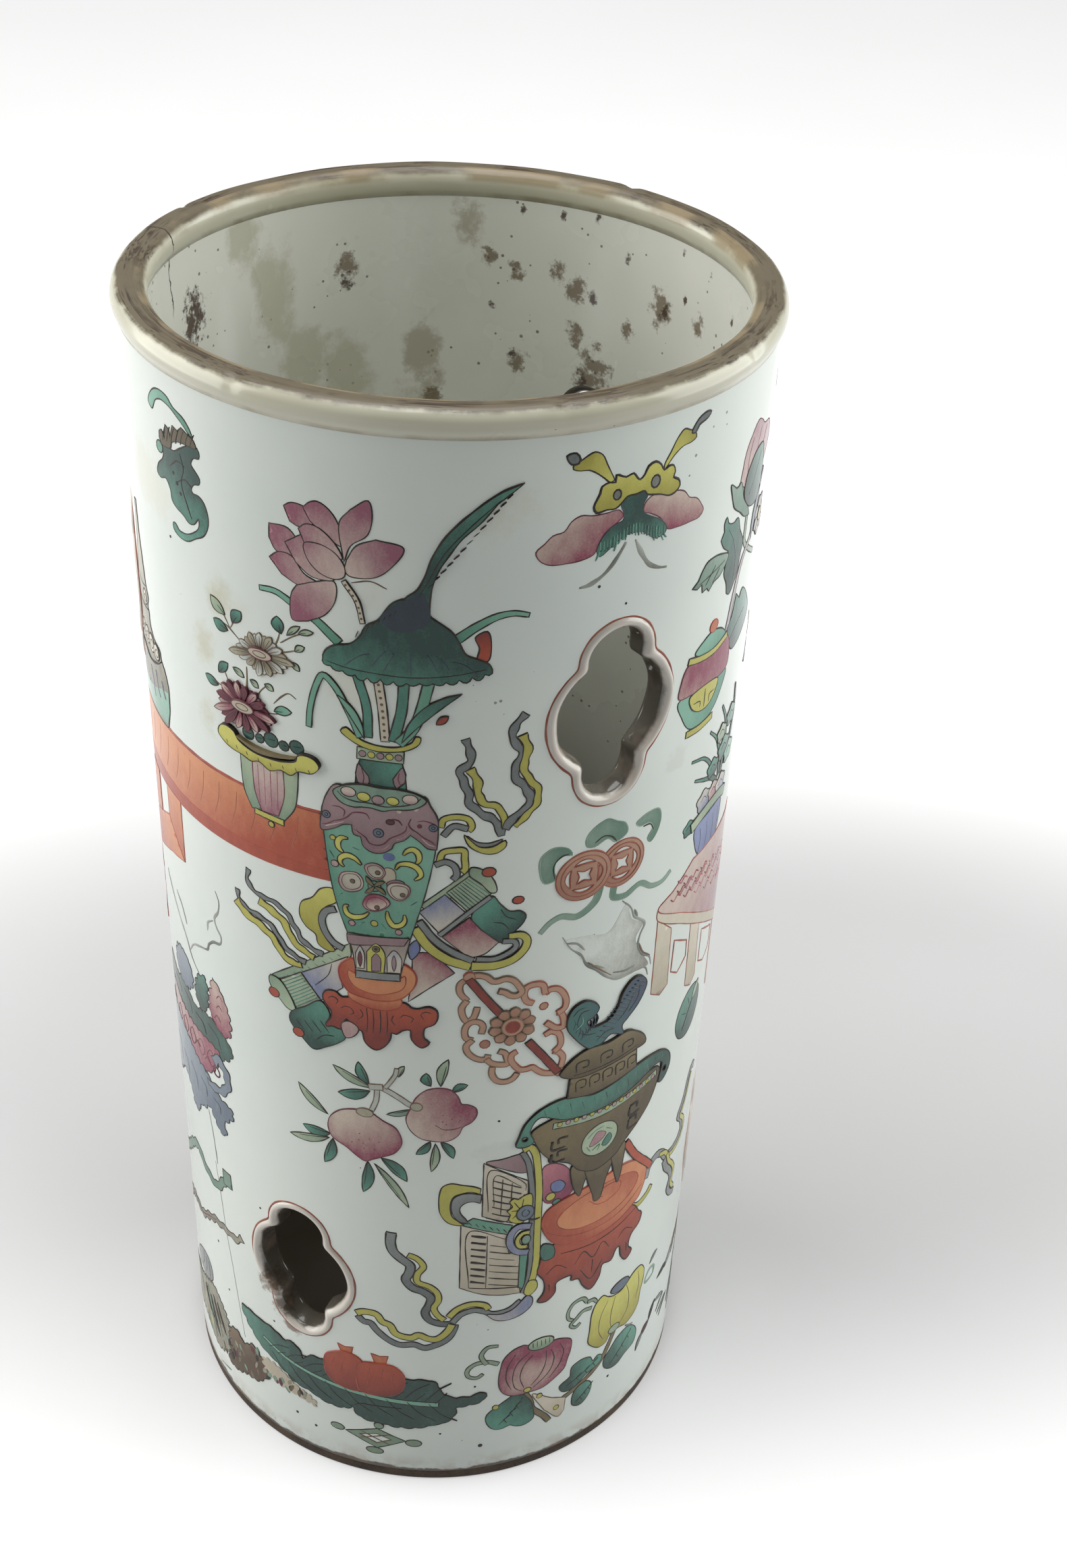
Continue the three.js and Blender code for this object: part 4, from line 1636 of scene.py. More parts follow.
class Lotus(Motif):
    """A lotus flower with a leaf, reeds and stems, standing in the vase."""

    name = "lotus"
    heart = (-18.5, 249.0)

    def paint(self, p: Painting) -> None:
        """Draws the stems, the leaf and then the flower."""
        self.stems(p)
        self.leaf(p)
        self.flower(p)

    def stems(self, p: Painting) -> None:
        """Draws what stands between the vase's mouth and the leaf."""
        p.fill(band([(-16.3, 228.8), (-14.5, 222), (-14.3, 215.4)], 1.7), LEAF, depth=0.25, width=0.35)
        p.fill(band([(-12.3, 228.4), (-11.5, 222), (-11, 215)], 1.7), CREAM, depth=0.3, width=0.35)
        p.dots([(-12.2, 227.4), (-11.5, 222), (-11.1, 216)], 9, 0.3, SEPIA)
        p.fill(band([(-7.5, 228.6), (-8, 222), (-9.5, 215.2)], 1.9), LEAF, depth=0.35, width=0.35)
        p.fill(band([(-3, 228.6), (-4.5, 222), (-6, 218), (-8.5, 214.8)], 2.0), TEAL, depth=0.6, width=0.35)
        p.fill(petal((-8, 215), (3, 226.3), 2.2, 1.6), LEAF, wash=((-8, 215), (3, 226)))
        p.fill(band([(-26, 215.3), (-25.5, 220), (-24, 225.5), (-22.8, 227.5), (-20.5, 225.5),
                     (-17.5, 219.5), (-15.8, 215.2)], 1.1, 1.3), TEAL, depth=0.45, width=0.32)
        p.fill(petal((-15, 215), (-20.3, 224), 1.5, -0.8), TEAL)
        p.fill(petal((-1.6, 219.6), (0.6, 221.4), 1.4), RUST, depth=0.6)
        p.fill(band([(-35.5, 242.5), (-32, 242.7), (-28.8, 241.3), (-26.4, 240.2), (-24, 238.9),
                     (-19.5, 235)], 1.0, 1.9), TEAL, wash=((-35, 242), (-20, 235)), width=0.35)
        p.fill(band([(1.8, 237.8), (5, 240.3), (9, 242.5), (12, 243), (14.8, 242.4)], 1.9, 0.9), TEAL,
               wash=((15, 242), (2, 238)), width=0.35)
        p.fill(blob((5.2, 238.3), (7.3, 239.5), (8.1, 236.5), (7.5, 233.2), (5.7, 233.6), (6, 236)), RUST,
               wash=((6, 233), (7, 239)))
        p.line((-17, 248), (-13.5, 248.8), (-10.6, 247.6), width=0.35, enamel=SEPIA)

    def leaf(self, p: Painting) -> None:
        """Draws the drooping leaf, its long folded tip and its veins."""
        bowl = loop([(-7, 246), (-9.5, 245), (-11, 243), (-12.3, 241), (-14.5, 239.5), (-15.5, 237.3),
                     (-17.5, 235.3), (-20.5, 234.4), (-22.3, 232.8), (-22.7, 230.7), (-21, 229.6),
                     (-18, 228.9), (-15.5, 228.3), (-12, 228.2), (-8, 228), (-4, 228.3), (0, 228.6),
                     (3.5, 229.3), (6, 229.8), (8.3, 231), (7.8, 232.6), (5, 234), (3.5, 234.8),
                     (2.2, 237.6), (1, 239.5), (-0.5, 240.8), (-3, 242.8), (-3.4, 245.2)])
        p.fill(ragged(bowl, 0.8, 2.4, below=232), LEAF, wash=((-12, 219), (-7.5, 237)), width=0.4)
        p.fill(loop([(9, 267.4), (4.5, 264), (0, 259.3), (-2.5, 255), (-4, 250.5), (-5.2, 248), (-7.4, 246),
                     (-8, 243.8)], [(-3, 242.4)], [(-3, 245.5), (-2.5, 249), (-1.5, 252), (0.5, 255.5),
                     (2.5, 258.5), (5.5, 261.5), (8.5, 265.3)], [(12.9, 269)]),
               LEAF, wash=((14, 275), (-2.5, 252)), width=0.4)
        p.fill(blob((-9.4, 244.4), (-11.8, 241.6), (-9.8, 239.4), (-6, 239.6), (-3, 241.6), (-3.2, 245),
                    (-4.6, 247.6), (-6.6, 246.2)), BLUE_BLACK, depth=0.6, line=None)
        p.line((-22, 230.9), (-18.5, 230.2), (-13, 229.8), (-6, 229.6), (1, 230.3), (7.4, 231.6), width=0.3)
        for i in range(7):
            u = -18.6 + i * 4.1 + math.sin(i * 2.1)
            foot = 230.6 + 0.5 * math.sin(i * 1.7)
            p.line((u, foot), (u * 0.75 - 1.6, foot + 2.6), (u * 0.6 - 2.6, foot + 4.6 - abs(u + 7) * 0.12),
                   width=0.3, enamel=BLUE_BLACK)
        for i in range(8):
            u = -16.4 + i * 1.0
            p.line((u, 236.9 + i * 0.8), (u + 0.5, 238.2 + i * 0.76), width=0.24)
        for share in range(13):
            u, z = -2.9 + share * 1.12, 248.6 + share * 1.46
            p.line((u - 0.5, z), (u + 0.5, z + 0.9), width=0.24)
        p.line((-5, 246.4), (-3, 250.6), (-0.6, 255.4), (3.6, 260.6), (9, 266), width=0.24)

    def flower(self, p: Painting) -> None:
        """Draws the petals from the back ones to the front ones, pale at the heart and pink at the tips."""
        back = [
            (loop([(-28, 261.8), (-25, 261.2), (-24, 258.5), (-26.5, 257.3), (-28.5, 258)],
                  [(-29.6, 260.8)]), (-27.5, 261)),
            (loop([(-24.6, 262.6), (-23, 263.1), (-21, 262), (-19.3, 259.5), (-18.5, 255), (-21.5, 256.6),
                   (-24.5, 259)], [(-25.8, 261.4)]), (-23.6, 262.6)),
            (loop([(-19, 259.8), (-17, 262.6)],
                  [(-13.8, 264.8), (-13.1, 262), (-14, 258), (-17, 255.5), (-18.3, 252)]), (-14.3, 263)),
            (loop([(-16, 255.6), (-12.5, 257.3)],
                  [(-7.6, 256.1), (-10, 251.8), (-13, 249.6), (-17.5, 249.4), (-18.3, 250.5)],
                  [(-17.8, 252.5)]), (-9.5, 255)),
            (loop([(-29, 256.5), (-27, 254), (-28.2, 251), (-31.5, 251.3), (-32.9, 253.6)],
                  [(-32.8, 256.5)]), (-32.2, 255)),
            (loop([(-31, 251.2), (-28.5, 251.1), (-26, 248), (-23, 246.5), (-27, 245.4), (-30.5, 246.8)],
                  [(-33, 249.6)]), (-32.3, 249.4)),
            (loop([(-24, 246.8), (-20.2, 247.6), (-20, 244), (-22, 240.5), (-25.5, 238.3)],
                  [(-28.6, 237.8), (-29, 241), (-28.6, 243.5), (-27.5, 245.3)]), (-26.8, 239.5)),
        ]
        front = [
            (loop([(-25.5, 256), (-25.5, 253), (-22.5, 250.4), (-20.2, 248), (-24.5, 247.8), (-27.5, 250)],
                  [(-29.6, 253.6)]), (-28.6, 252.6)),
            (loop([(-25.4, 258.2), (-23, 258), (-20, 255.5), (-18.6, 252.5), (-22, 253.4), (-25.6, 254.2)],
                  [(-26.8, 257)]), (-25.6, 257)),
            (blob((-25.8, 254.3), (-23, 254.8), (-20, 253.6), (-18.2, 251), (-18.3, 249), (-20, 248.2),
                  (-23, 249), (-25.2, 251.3)), (-25.4, 254.4)),
        ]
        for outline, tip in back:
            p.fill(outline, PINK, wash=(self.heart, tip), width=0.3)
        for outline, tip in front:
            p.fill(outline, PINK, wash=((-17.5, 248.4), (tip[0] - 3, tip[1] + 2)), width=0.3)
        p.fill(band([(-18.4, 248.2), (-16, 244.5), (-15, 240)], 0.9), CREAM, depth=0.3, width=0.3)
        p.dots([(-18, 247.5), (-16, 244.3), (-15.2, 241)], 7, 0.24, SEPIA)


class Chrysanthemums(Motif):
    """Two chrysanthemums in a scalloped pot, standing on the table."""

    name = "chrysanthemums"

    def paint(self, p: Painting) -> None:
        """Draws the leaves, the flowers and the pot."""
        self.leaves(p)
        self.bloom(p, (-36, 228.2), (2.7, 0.42), (MIST, STRAW),
                   [(-43.5, 226.5), (-41, 229.5), (-38.5, 232), (-36, 232.7), (-33.3, 232.5), (-31, 230.5),
                    (-28.5, 228), (-31, 225.5), (-33.7, 224), (-36.5, 223.2), (-39, 225)])
        self.bloom(p, (-40.5, 215), (2.7, 0.45), (ROSE, PLUM),
                   [(-48.5, 211.5), (-47.5, 215.5), (-46, 218), (-44.3, 219.3), (-42, 220), (-39.7, 219.5),
                    (-37, 219), (-35.5, 217), (-33, 214), (-34.5, 211.5), (-37, 210.5), (-39.5, 209.8),
                    (-42, 209.7), (-45.2, 209.6)])
        self.pot(p)

    def leaves(self, p: Painting) -> None:
        """Draws the leaves, buds and thin stems."""
        p.line((-39.5, 224), (-39.6, 220.5), (-40, 217), width=0.5, enamel=BROWN)
        for stem in ([(-44.6, 231.6), (-43.4, 231), (-41, 229.4)], [(-46, 235), (-44.4, 233), (-43.2, 231)],
                     [(-41.6, 234), (-42.6, 232), (-43.2, 231)],
                     [(-31.4, 234.6), (-32, 232.4), (-33, 230.4)],
                     [(-26, 235.6), (-28.6, 234.2), (-31.4, 232)],
                     [(-27.4, 231.6), (-29.6, 230.6), (-32, 229.6)],
                     [(-48.6, 217.6), (-46.4, 217), (-44, 216.6)],
                     [(-45.6, 221.4), (-44.8, 219.6), (-44, 218)],
                     [(-35, 221.4), (-36.4, 219.8), (-37.4, 218)],
                     [(-30.4, 217), (-33, 215.8), (-35, 215.4)],
                     [(-29.6, 227.8), (-31.6, 228.4), (-33.4, 228.2)]):
            p.line(*stem, enamel=BROWN)
        for base, tip, width, enamel in (
                ((-44.3, 233.5), (-48, 236.3), 2.5, CELADON), ((-42.5, 232.5), (-40.2, 235.6), 2.5, LEAF),
                ((-43.8, 230.3), (-47.5, 231.5), 2.4, LEAF), ((-31.2, 234), (-32, 237.5), 2.6, LEAF),
                ((-47.3, 216.8), (-51, 217.7), 2.0, LEAF), ((-47, 219.8), (-44.3, 222.8), 2.0, LEAF),
                ((-43, 222.5), (-40.3, 221.3), 1.5, CELADON), ((-38.8, 221.4), (-36.9, 220.2), 1.4, CELADON),
                ((-35.4, 221.6), (-33.4, 220.8), 1.4, CELADON), ((-33.5, 216.3), (-29.6, 217.2), 2.0, TEAL),
                ((-30, 234), (-27.2, 236.6), 1.2, CELADON), ((-27.6, 235), (-24.5, 236), 1.2, CELADON),
                ((-28.4, 231), (-26.4, 232.4), 1.4, CELADON),
                ((-29.4, 228.4), (-27.6, 226.9), 1.3, CELADON)):
            p.fill(petal(base, tip, width, width * 0.12), enamel, wash=(tip, base), width=0.34)
            p.line(base, ((base[0] + tip[0]) / 2, (base[1] + tip[1]) / 2), width=0.24)
        p.line((-33.5, 218), (-31.5, 220.3), (-30, 221.3), (-28.5, 220.5), width=0.35, enamel=SEPIA)
        for centre, radius in (((-34.5, 209.4), 1.6), ((-28.8, 209.6), 1.5), ((-40, 208.9), 1.4),
                               ((-31.6, 209), 1.1), ((-37.2, 208.8), 1.0)):
            p.fill(disc(centre, radius), LEAF, depth=0.85)
            p.line((centre[0] - radius * 0.6, centre[1]), (centre[0] + radius * 0.6, centre[1] + 0.2),
                   width=0.25)

    @staticmethod
    def bloom(p: Painting, centre: Point, eye: Point, enamels: tuple[Enamel, Enamel],
              tips: list[Point]) -> None:
        """Draws one flower.

        Args:
            p: the painting.
            centre: the middle of its eye.
            eye: the eye's half width and its height as a share of that.
            enamels: the enamels of the petals, by turns.
            tips: the petals' tips.
        """
        ring = [((a[0] + b[0]) / 2 * 0.94 + centre[0] * 0.06, (a[1] + b[1]) / 2 * 0.94 + centre[1] * 0.06)
                for a, b in zip(tips, tips[1:] + tips[:1])]
        line = PLUM if enamels[0] is ROSE else SEPIA
        for index, tip in enumerate(ring + tips):
            away = math.hypot(tip[0] - centre[0], tip[1] - centre[1])
            base = (centre[0] + (tip[0] - centre[0]) * 1.6 / away,
                    centre[1] + (tip[1] - centre[1]) * 1.2 / away)
            p.fill(petal(base, tip, 1.45, 0.15, 0.72), enamels[index % 2], wash=(tip, base), rim=0.25,
                   width=0.26, line=line)
            middle = (base[0] + (tip[0] - base[0]) * 0.8, base[1] + (tip[1] - base[1]) * 0.8)
            p.line(base, middle, width=0.2, enamel=line)
        p.fill(disc(centre, eye[0], eye[1]), CREAM, depth=0.8, rim=0.3, line=PLUM)
        p.stroke(disc(centre, eye[0] * 0.55, eye[1]), 0.26, PLUM, closed=True)

    @staticmethod
    def pot(p: Painting) -> None:
        """Draws the pot: pale green corners, a pink panel, a yellow rim and foot."""
        sides = loop([(-42.2, 199), (-41.7, 195), (-40, 191.5)], [(-32.3, 191)], [(-29.7, 195), (-29, 199),
                     (-28.6, 204.4)], [(-35, 203.2), (-42.3, 204.2)])
        p.fill(sides, CELADON, wash=((-35, 204), (-36, 190)), rim=0.25)
        p.fill(loop([(-39, 196), (-37.5, 191.7)], [(-33.5, 191.9)], [(-32, 197), (-32, 203.8)],
                    [(-39.3, 203.8)]), PINK, wash=((-35, 204), (-35.5, 191)), line=PLUM)
        for u in (-38, -36.5, -35, -33.4):
            p.line((u, 202.5), (u * 0.93 - 2.5, 193.5), width=0.2, enamel=MAGENTA)
        p.fill(loop([(-32.3, 190)], [(-32.3, 191.4)], [(-39.2, 191.7)], [(-39.3, 190.4)]), YELLOW)
        p.fill(disc((-35.3, 189.3), 0.7), YELLOW, depth=0.6)
        rim = blob((-46.5, 208.5), (-44.8, 209), (-43, 208.4), (-42.7, 208), (-42, 207), (-39, 205.8),
                   (-35, 205.5), (-31, 206), (-28.6, 207), (-28.3, 208.2), (-27, 208.8), (-24.8, 208.4),
                   (-23.8, 206.9), (-25.2, 205.1), (-28.2, 204.7), (-29.8, 203.3), (-32, 203.8),
                   (-34.5, 202.8), (-37, 204), (-38.8, 203.3), (-41, 203.9), (-43.5, 204.2), (-45.5, 204.9),
                   (-47.3, 206.5))
        p.fill(rim, YELLOW, wash=((-35, 206), (-35, 202)), rim=0.2)
        p.fill(blob((-42.7, 207.7), (-38, 206), (-33, 206.3), (-28.7, 207.5), (-33, 206.9), (-38, 206.9)),
               BROWN, depth=0.3, line=None)
        for u in (-45, -42.5, -40, -37.2, -34.4, -31.6, -28.8, -26):
            p.line((u, 207 - 0.14 * (18 - abs(u + 35.3))), (u + 0.3, 205.4 - 0.14 * (12 - abs(u + 35.3))),
                   width=0.26)


class Table(Motif):
    """The long iron-red table that the vases stand on."""

    name = "red_table"

    def paint(self, p: Painting) -> None:
        """Draws the top, its dark lower strip, the post and the rail."""
        p.fill(loop([(-60, 196.1), (-42, 196), (-23.6, 196)], [(-22.6, 179.9)],
                    [(-42, 179.5), (-65, 179.3), (-90, 178.9)], [(-90, 196.1)]), IRON,
               wash=((-50, 197), (-44, 181)), line=RUST, width=0.5)
        p.fill(loop([(-22.7, 182.3)], [(-22.5, 179.7)], [(-42, 179.3), (-65, 179.1), (-90, 178.7)],
                    [(-90, 181.6), (-55, 182.6)]), RUST, depth=0.35, line=None)
        p.line((-89, 195.6), (-55, 195.7), (-24, 195.6), width=0.55, enamel=RUST, fade=0.2)
        for u in range(-86, -26, 5):
            p.line((u, 185), (u + 1.4, 189), (u + 2, 193.4), width=0.24, enamel=IRON_INK)
        p.fill(loop([(-65, 179.5)], [(-65, 164)], [(-72.5, 164)], [(-72.5, 179.5)]), IRON,
               wash=((-66, 180), (-70, 163)), line=RUST)
        p.fill(loop([(-72.5, 171.6)], [(-80, 168)], [(-86, 165)], [(-86, 156)], [(-72.5, 162)],
                    [(-65, 164)]), IRON, wash=((-70, 170), (-82, 158)), line=RUST)
        p.fill(loop([(-79, 178.7)], [(-79, 168.5)], [(-85.5, 166)], [(-85.5, 178.7)]), IRON, depth=0.5,
               line=RUST)


class LeftVase(Motif):
    """The tall lidded vase at the table's left end, seen at the pot's side."""

    name = "left_vase"
    middle = -80.0

    def paint(self, p: Painting) -> None:
        """Draws the body with its teal foot and dark drips, the scrolled collar, the neck and the knob."""
        window = WINDOWS[2]
        profile = [(12.0, 196.1), (13.2, 200.2), (13.7, 204.4), (13.4, 207.2), (12.2, 209.6), (10.7, 211.4),
                   (10.2, 213.2), (7.0, 214.2), (4.8, 216.4), (4.6, 219.2), (4.0, 220), (4.9, 222.4),
                   (3.8, 224.6), (2.2, 231), (1.1, 236), (0.6, 242)]
        right = smooth([(self.middle + reach, z) for reach, z in profile])
        left = window.keep_clear([(float(u), float(z)) for u, z in
                                  smooth([(self.middle - reach, z) for reach, z in profile[::-1]])])
        p.fill(loop(right, left), STRAW, wash=((-84, 250), (-72, 206)), width=0.45)
        p.fill(loop([(-92.4, 197), (-80, 196.4), (-68.4, 196.6)], [(-66.9, 200.2), (-66.7, 205)],
                    [(-70.2, 204), (-75.8, 201.6), (-82.4, 200.2), (-92.6, 201.6)]), TEAL,
               wash=((-66, 205), (-74, 200)), line=None)
        for drip in ([(-82.6, 205.6), (-81, 201.6), (-79.6, 200.8)],
                     [(-77.4, 205.8), (-76.4, 202.6), (-75.4, 199.4)],
                     [(-73.6, 206.6), (-73.2, 203.4), (-71.6, 201.2)],
                     [(-70, 206), (-69.4, 203.8), (-68.2, 202.6)], [(-86.4, 204.4), (-85.4, 200.6)],
                     [(-90, 204.2), (-89.2, 201)]):
            p.line(*drip, width=1.5, enamel=BLUE_BLACK)
        for side in (-1, 1):
            for away, z, radius in ((1.6, 212.4, 1.7), (4.9, 212.2, 1.8), (8.2, 211.8, 1.6),
                                    (2.2, 221.4, 1.5)):
                u = self.middle + side * away
                if side > 0 or z < 215:
                    p.fill(disc((u, z), radius, 1.15), CREAM, depth=0.1, width=0.5)
                    p.stroke(disc((u + 0.3, z - 0.1), radius * 0.5, 1.1), 0.36, INK, closed=True)
        p.line((-91, 207), (-83, 208.4), (-77.1, 207.6), (-71.9, 209.1), (-69.2, 210.9), width=0.6)
        p.line((-84.2, 219.4), (-80, 218.8), (-75.6, 219.4), width=0.5)
        p.line((-82.6, 224.6), (-80, 223.8), (-76.6, 224.4), width=0.5)


class Vase(Motif):
    """The tall vase in the middle: a teal body with scrolls, a mauve shoulder and a beaded neck."""

    name = "vase"
    middle = -12.4

    def paint(self, p: Painting) -> None:
        """Draws the body, its foot, shoulder, neck and lip."""
        self.body(p)
        self.flowers(p)
        self.foot(p)
        self.shoulder(p)
        self.neck(p)

    def body(self, p: Painting) -> None:
        """Draws the teal body and its yellow scrolls."""
        p.fill(loop([(-23.4, 191), (-22.7, 184), (-21.8, 178), (-20.6, 173), (-19, 168)], [(-6.2, 168.3)],
                    [(-4.9, 173.4), (-3.5, 179), (-2.3, 185), (-1.4, 191), (-1.2, 196)],
                    [(-12, 197), (-23.8, 196)]), TEAL, wash=((-4, 188), (-22, 174)), rim=0.3)
        scrolls = (
            [(-18.5, 191.3), (-19.8, 191.2), (-20.6, 190.1), (-20.4, 188.6), (-19.5, 187.7)],
            [(-19.4, 184.3), (-20.1, 185), (-20.1, 186.2), (-18.7, 187.2), (-17.2, 186.8), (-15.9, 185.5)],
            [(-7.6, 189.1), (-6.9, 190.1), (-5.8, 190.6), (-4.8, 189.8), (-4.6, 188), (-5.3, 187)],
            [(-9.1, 185.5), (-8.4, 186.7), (-6.5, 187), (-4.9, 186.2), (-4.2, 184.4), (-5.4, 183.2)],
            [(-18.6, 174.8), (-19.3, 174.6), (-19, 172.8), (-17.6, 172.2), (-15.5, 172.9), (-14.5, 174)],
            [(-10.8, 174.9), (-10.6, 173.1), (-9.5, 171.4), (-8, 171.8), (-7.3, 173), (-7.4, 174.4)])
        for path in scrolls:
            p.fill(hook(path, 1.3), YELLOW, wash=(path[2], path[0]), width=0.42)
        for centre, radius, enamel in (((-21.6, 190.8), 0.6, YELLOW), ((-13.4, 171.4), 0.75, YELLOW),
                                       ((-18, 170.6), 0.7, PINK), ((-8.5, 169.9), 0.7, PINK),
                                       ((-21.3, 184.6), 0.8, PINK)):
            p.fill(disc(centre, radius), enamel, depth=0.6, width=0.3)
        p.fill(disc((-10.4, 188.3), 1.2, 0.8), BLUE, depth=0.8, line=None)
        for start, end in (((-22.4, 187.6), (-21.4, 186)), ((-19.8, 177.6), (-21, 176.8)),
                           ((-6.2, 176.8), (-4.8, 178)), ((-16.6, 170.6), (-15.4, 171.4)),
                           ((-11, 170.4), (-12, 171.6)), ((-17.8, 189.4), (-16.2, 189))):
            p.line(start, end, width=0.4, enamel=LEAF)

    @staticmethod
    def flowers(p: Painting) -> None:
        """Draws the bunch of flowers on the body."""
        p.fill(blob((-11, 185.6), (-9.4, 185.2), (-9.2, 182.6), (-10.4, 181.6), (-11.6, 182.6)), CREAM,
               depth=0.9, width=0.28, line=SEPIA)
        p.fill(blob((-10.9, 181.8), (-9.3, 182.9), (-7.4, 182.4), (-7.6, 181), (-9.8, 180.6)), MAUVE,
               depth=0.8, width=0.28)
        for outline, eye, deep, enamel in (
                (blob((-20, 182.6), (-18.6, 183.3), (-16.7, 183.3), (-15.6, 181.9), (-15.7, 179.8),
                      (-17.5, 178.5), (-19.5, 178.5), (-20.6, 180.3)), (-17.7, 181.1), (-22, 177),
                 GREY_PINK), (blob((-10.8, 181), (-10, 182), (-8, 182.2), (-6.5, 181.5), (-6.3, 179.9),
                                   (-7.6, 178.1), (-9.1, 178), (-10.4, 179.2)), (-7.7, 179.4), (-4, 175.5),
                              GREY_PINK), (blob((-15.2, 185.5), (-13.5, 186.4), (-11.8, 185.8),
                                                (-11.1, 184.3), (-12, 182.8), (-13.5, 182.6),
                                                (-14.8, 183.7)), (-12.6, 184.2), (-15.8, 188.6), GREY_PINK),
                (blob((-15.7, 175.9), (-14.7, 178.2), (-12.8, 178.8), (-11, 178.2), (-10.2, 176.9),
                      (-11.7, 175.2), (-13.6, 174.5), (-15.1, 174.9)), (-12.8, 175.6), (-13.8, 178.4),
                 ROSE)):
            p.fill(outline, enamel, wash=(eye, deep), rim=0.35, line=PLUM)
            p.stroke([((a + eye[0] * 0.3) / 1.3, (b + eye[1] * 0.3) / 1.3) for a, b in outline], 0.24, PLUM,
                     closed=True)
            p.fill(disc(eye, 0.5), BROWN, depth=0.6, width=0.22)
        p.fill(disc((-13.3, 180.8), 1.3), SAGE, depth=0.9, width=0.34, holes=[disc((-13.3, 180.8), 0.5)])
        for tip in ((-15.2, 178.8), (-11, 179), (-15, 183), (-11.2, 182.2)):
            p.fill(petal((-13.3, 180.8), tip, 0.9, 0.2), BROWN, depth=0.2, width=0.24)

    @staticmethod
    def foot(p: Painting) -> None:
        """Draws the lappets above the foot and the foot's ring."""
        p.fill(loop([(-17.9, 163), (-17.3, 158.4)], [(-8.2, 158.8)], [(-7.2, 163.5), (-6.2, 168.3)],
                    [(-19, 168)]), GREY_PINK, wash=((-12, 158), (-12, 169)))
        p.fill(loop([(-18.7, 165.4), (-13, 166)], [(-7.4, 166.6)], [(-6.4, 168.6)], [(-19.1, 167.6)]), MAUVE,
               depth=0.7, width=0.3)
        p.fill(loop([(-15, 158.6)], [(-11.5, 158.8)], [(-11.4, 164.4), (-13.1, 166.4), (-15, 164)]), YELLOW,
               depth=0.3, width=0.32)
        p.fill(loop([(-14, 159.2)], [(-12.2, 159.4)], [(-12.2, 162.8), (-13.1, 163.9), (-14, 162.6)]), MAUVE,
               depth=0.7, width=0.26)
        p.fill(disc((-13.1, 165), 0.8), BROWN, width=0.26)
        p.fill(disc((-13.1, 165), 0.35), INK, line=None)
        for left, right, enamel in ((-17.3, -15.5, PLUM), (-10.9, -8, MAUVE)):
            p.fill(loop([(left + 0.1, 159.3)], [(right - 0.1, 159.5)],
                        [(right, 163.4), ((left + right) / 2, 165.2), (left, 163.2)]), LAVENDER,
                   wash=((left, 162), (left, 168)), width=0.28)
            p.fill(petal(((left + right) / 2, 159.7), ((left + right) / 2, 164), 0.9), enamel, depth=0.3,
                   width=0.24)
        p.fill(loop([(-17.4, 156.8)], [(-8.2, 157.4)], [(-8.3, 159.2)], [(-17.3, 158.7)]), SLATE)

    @staticmethod
    def shoulder(p: Painting) -> None:
        """Draws the mauve shoulder with its pointed lower edge, scrolls and dots."""
        edge = [(-23.9, 192.2), (-21.3, 193.1), (-19.3, 194.5), (-17.7, 194.8)]
        lobes = [[(-17.3, 192.6), (-15.9, 192.3)],
                 [(-15.4, 190.1), (-13.5, 188.9), (-11.4, 189.2), (-9.8, 190.4)],
                 [(-9.3, 191.7), (-7.5, 192.6), (-6.2, 194)], [(-4.4, 192.5), (-2.9, 191), (-1.2, 190.8)]]
        top = [(-1, 194), (-1.1, 198), (-2.5, 201), (-3.6, 203), (-12, 200.4), (-20.6, 203.6),
               (-22.8, 200.5), (-23.7, 197.5)]
        p.fill(loop(edge, *lobes, top), MAUVE, wash=((-12, 203), (-12, 189)), rim=0.35)
        for run in ([(-23, 193.3), (-21, 194.2), (-18.9, 195.4)],
                    [(-16.9, 194.4), (-16.6, 193.2), (-15.2, 192.8)],
                    [(-14.8, 190.9), (-13.4, 189.9), (-11.4, 190.1), (-10.3, 191.3)],
                    [(-8.9, 192.6), (-7.4, 193.5), (-6.2, 195)], [(-4, 193.4), (-2.7, 192), (-1.6, 191.7)]):
            p.line(*run, width=0.4, enamel=PINK)
        for path in ([(-21.6, 198.4), (-20.1, 198.5), (-19, 197.8), (-19.3, 196.4)],
                     [(-23.6, 193.6), (-22.5, 194), (-21.3, 194.9), (-19.7, 195.6), (-18.4, 196.6),
                      (-17.6, 197.6), (-16.3, 198), (-14.7, 197.9), (-14.1, 196.8)],
                     [(-17.1, 193.9), (-16, 193.1), (-14.9, 192.3), (-14.2, 191.1), (-12.7, 190.8),
                      (-11.3, 191.4), (-10.2, 192.8), (-8.4, 193.9), (-7.2, 194.9), (-6.9, 196.2)],
                     [(-1.4, 191.9), (-2.4, 192.8), (-3.7, 193.6), (-5, 194.8), (-6.1, 195.6), (-6.6, 196.6),
                      (-6.1, 197.9)], [(-9.8, 197.5), (-8.5, 197.2), (-7.8, 196.2)],
                     [(-5, 197.3), (-3.7, 197.6), (-1.6, 196.9)]):
            p.line(*path, width=0.44, enamel=PLUM)
        for centre, radius in (((-22.8, 196.1), 0.85), ((-12.4, 193.8), 1.05), ((-1.9, 196), 0.85)):
            p.fill(disc(centre, radius), STEEL, depth=1.0, width=0.34)
            p.stroke(disc(centre, radius * 0.4), 0.24, INK, closed=True)
        p.fill(disc((-10.1, 196.7), 0.85, 0.7), PLUM, depth=0.6, width=0.26)
        p.fill(disc((-4.5, 196.3), 0.5), PLUM, depth=0.6, line=None)
        for centre in ((-18.9, 200.8), (-15.6, 199.6), (-8.4, 199.4), (-5.2, 200.2)):
            p.fill(disc(centre, 0.45), PINK, depth=0.1, line=None)

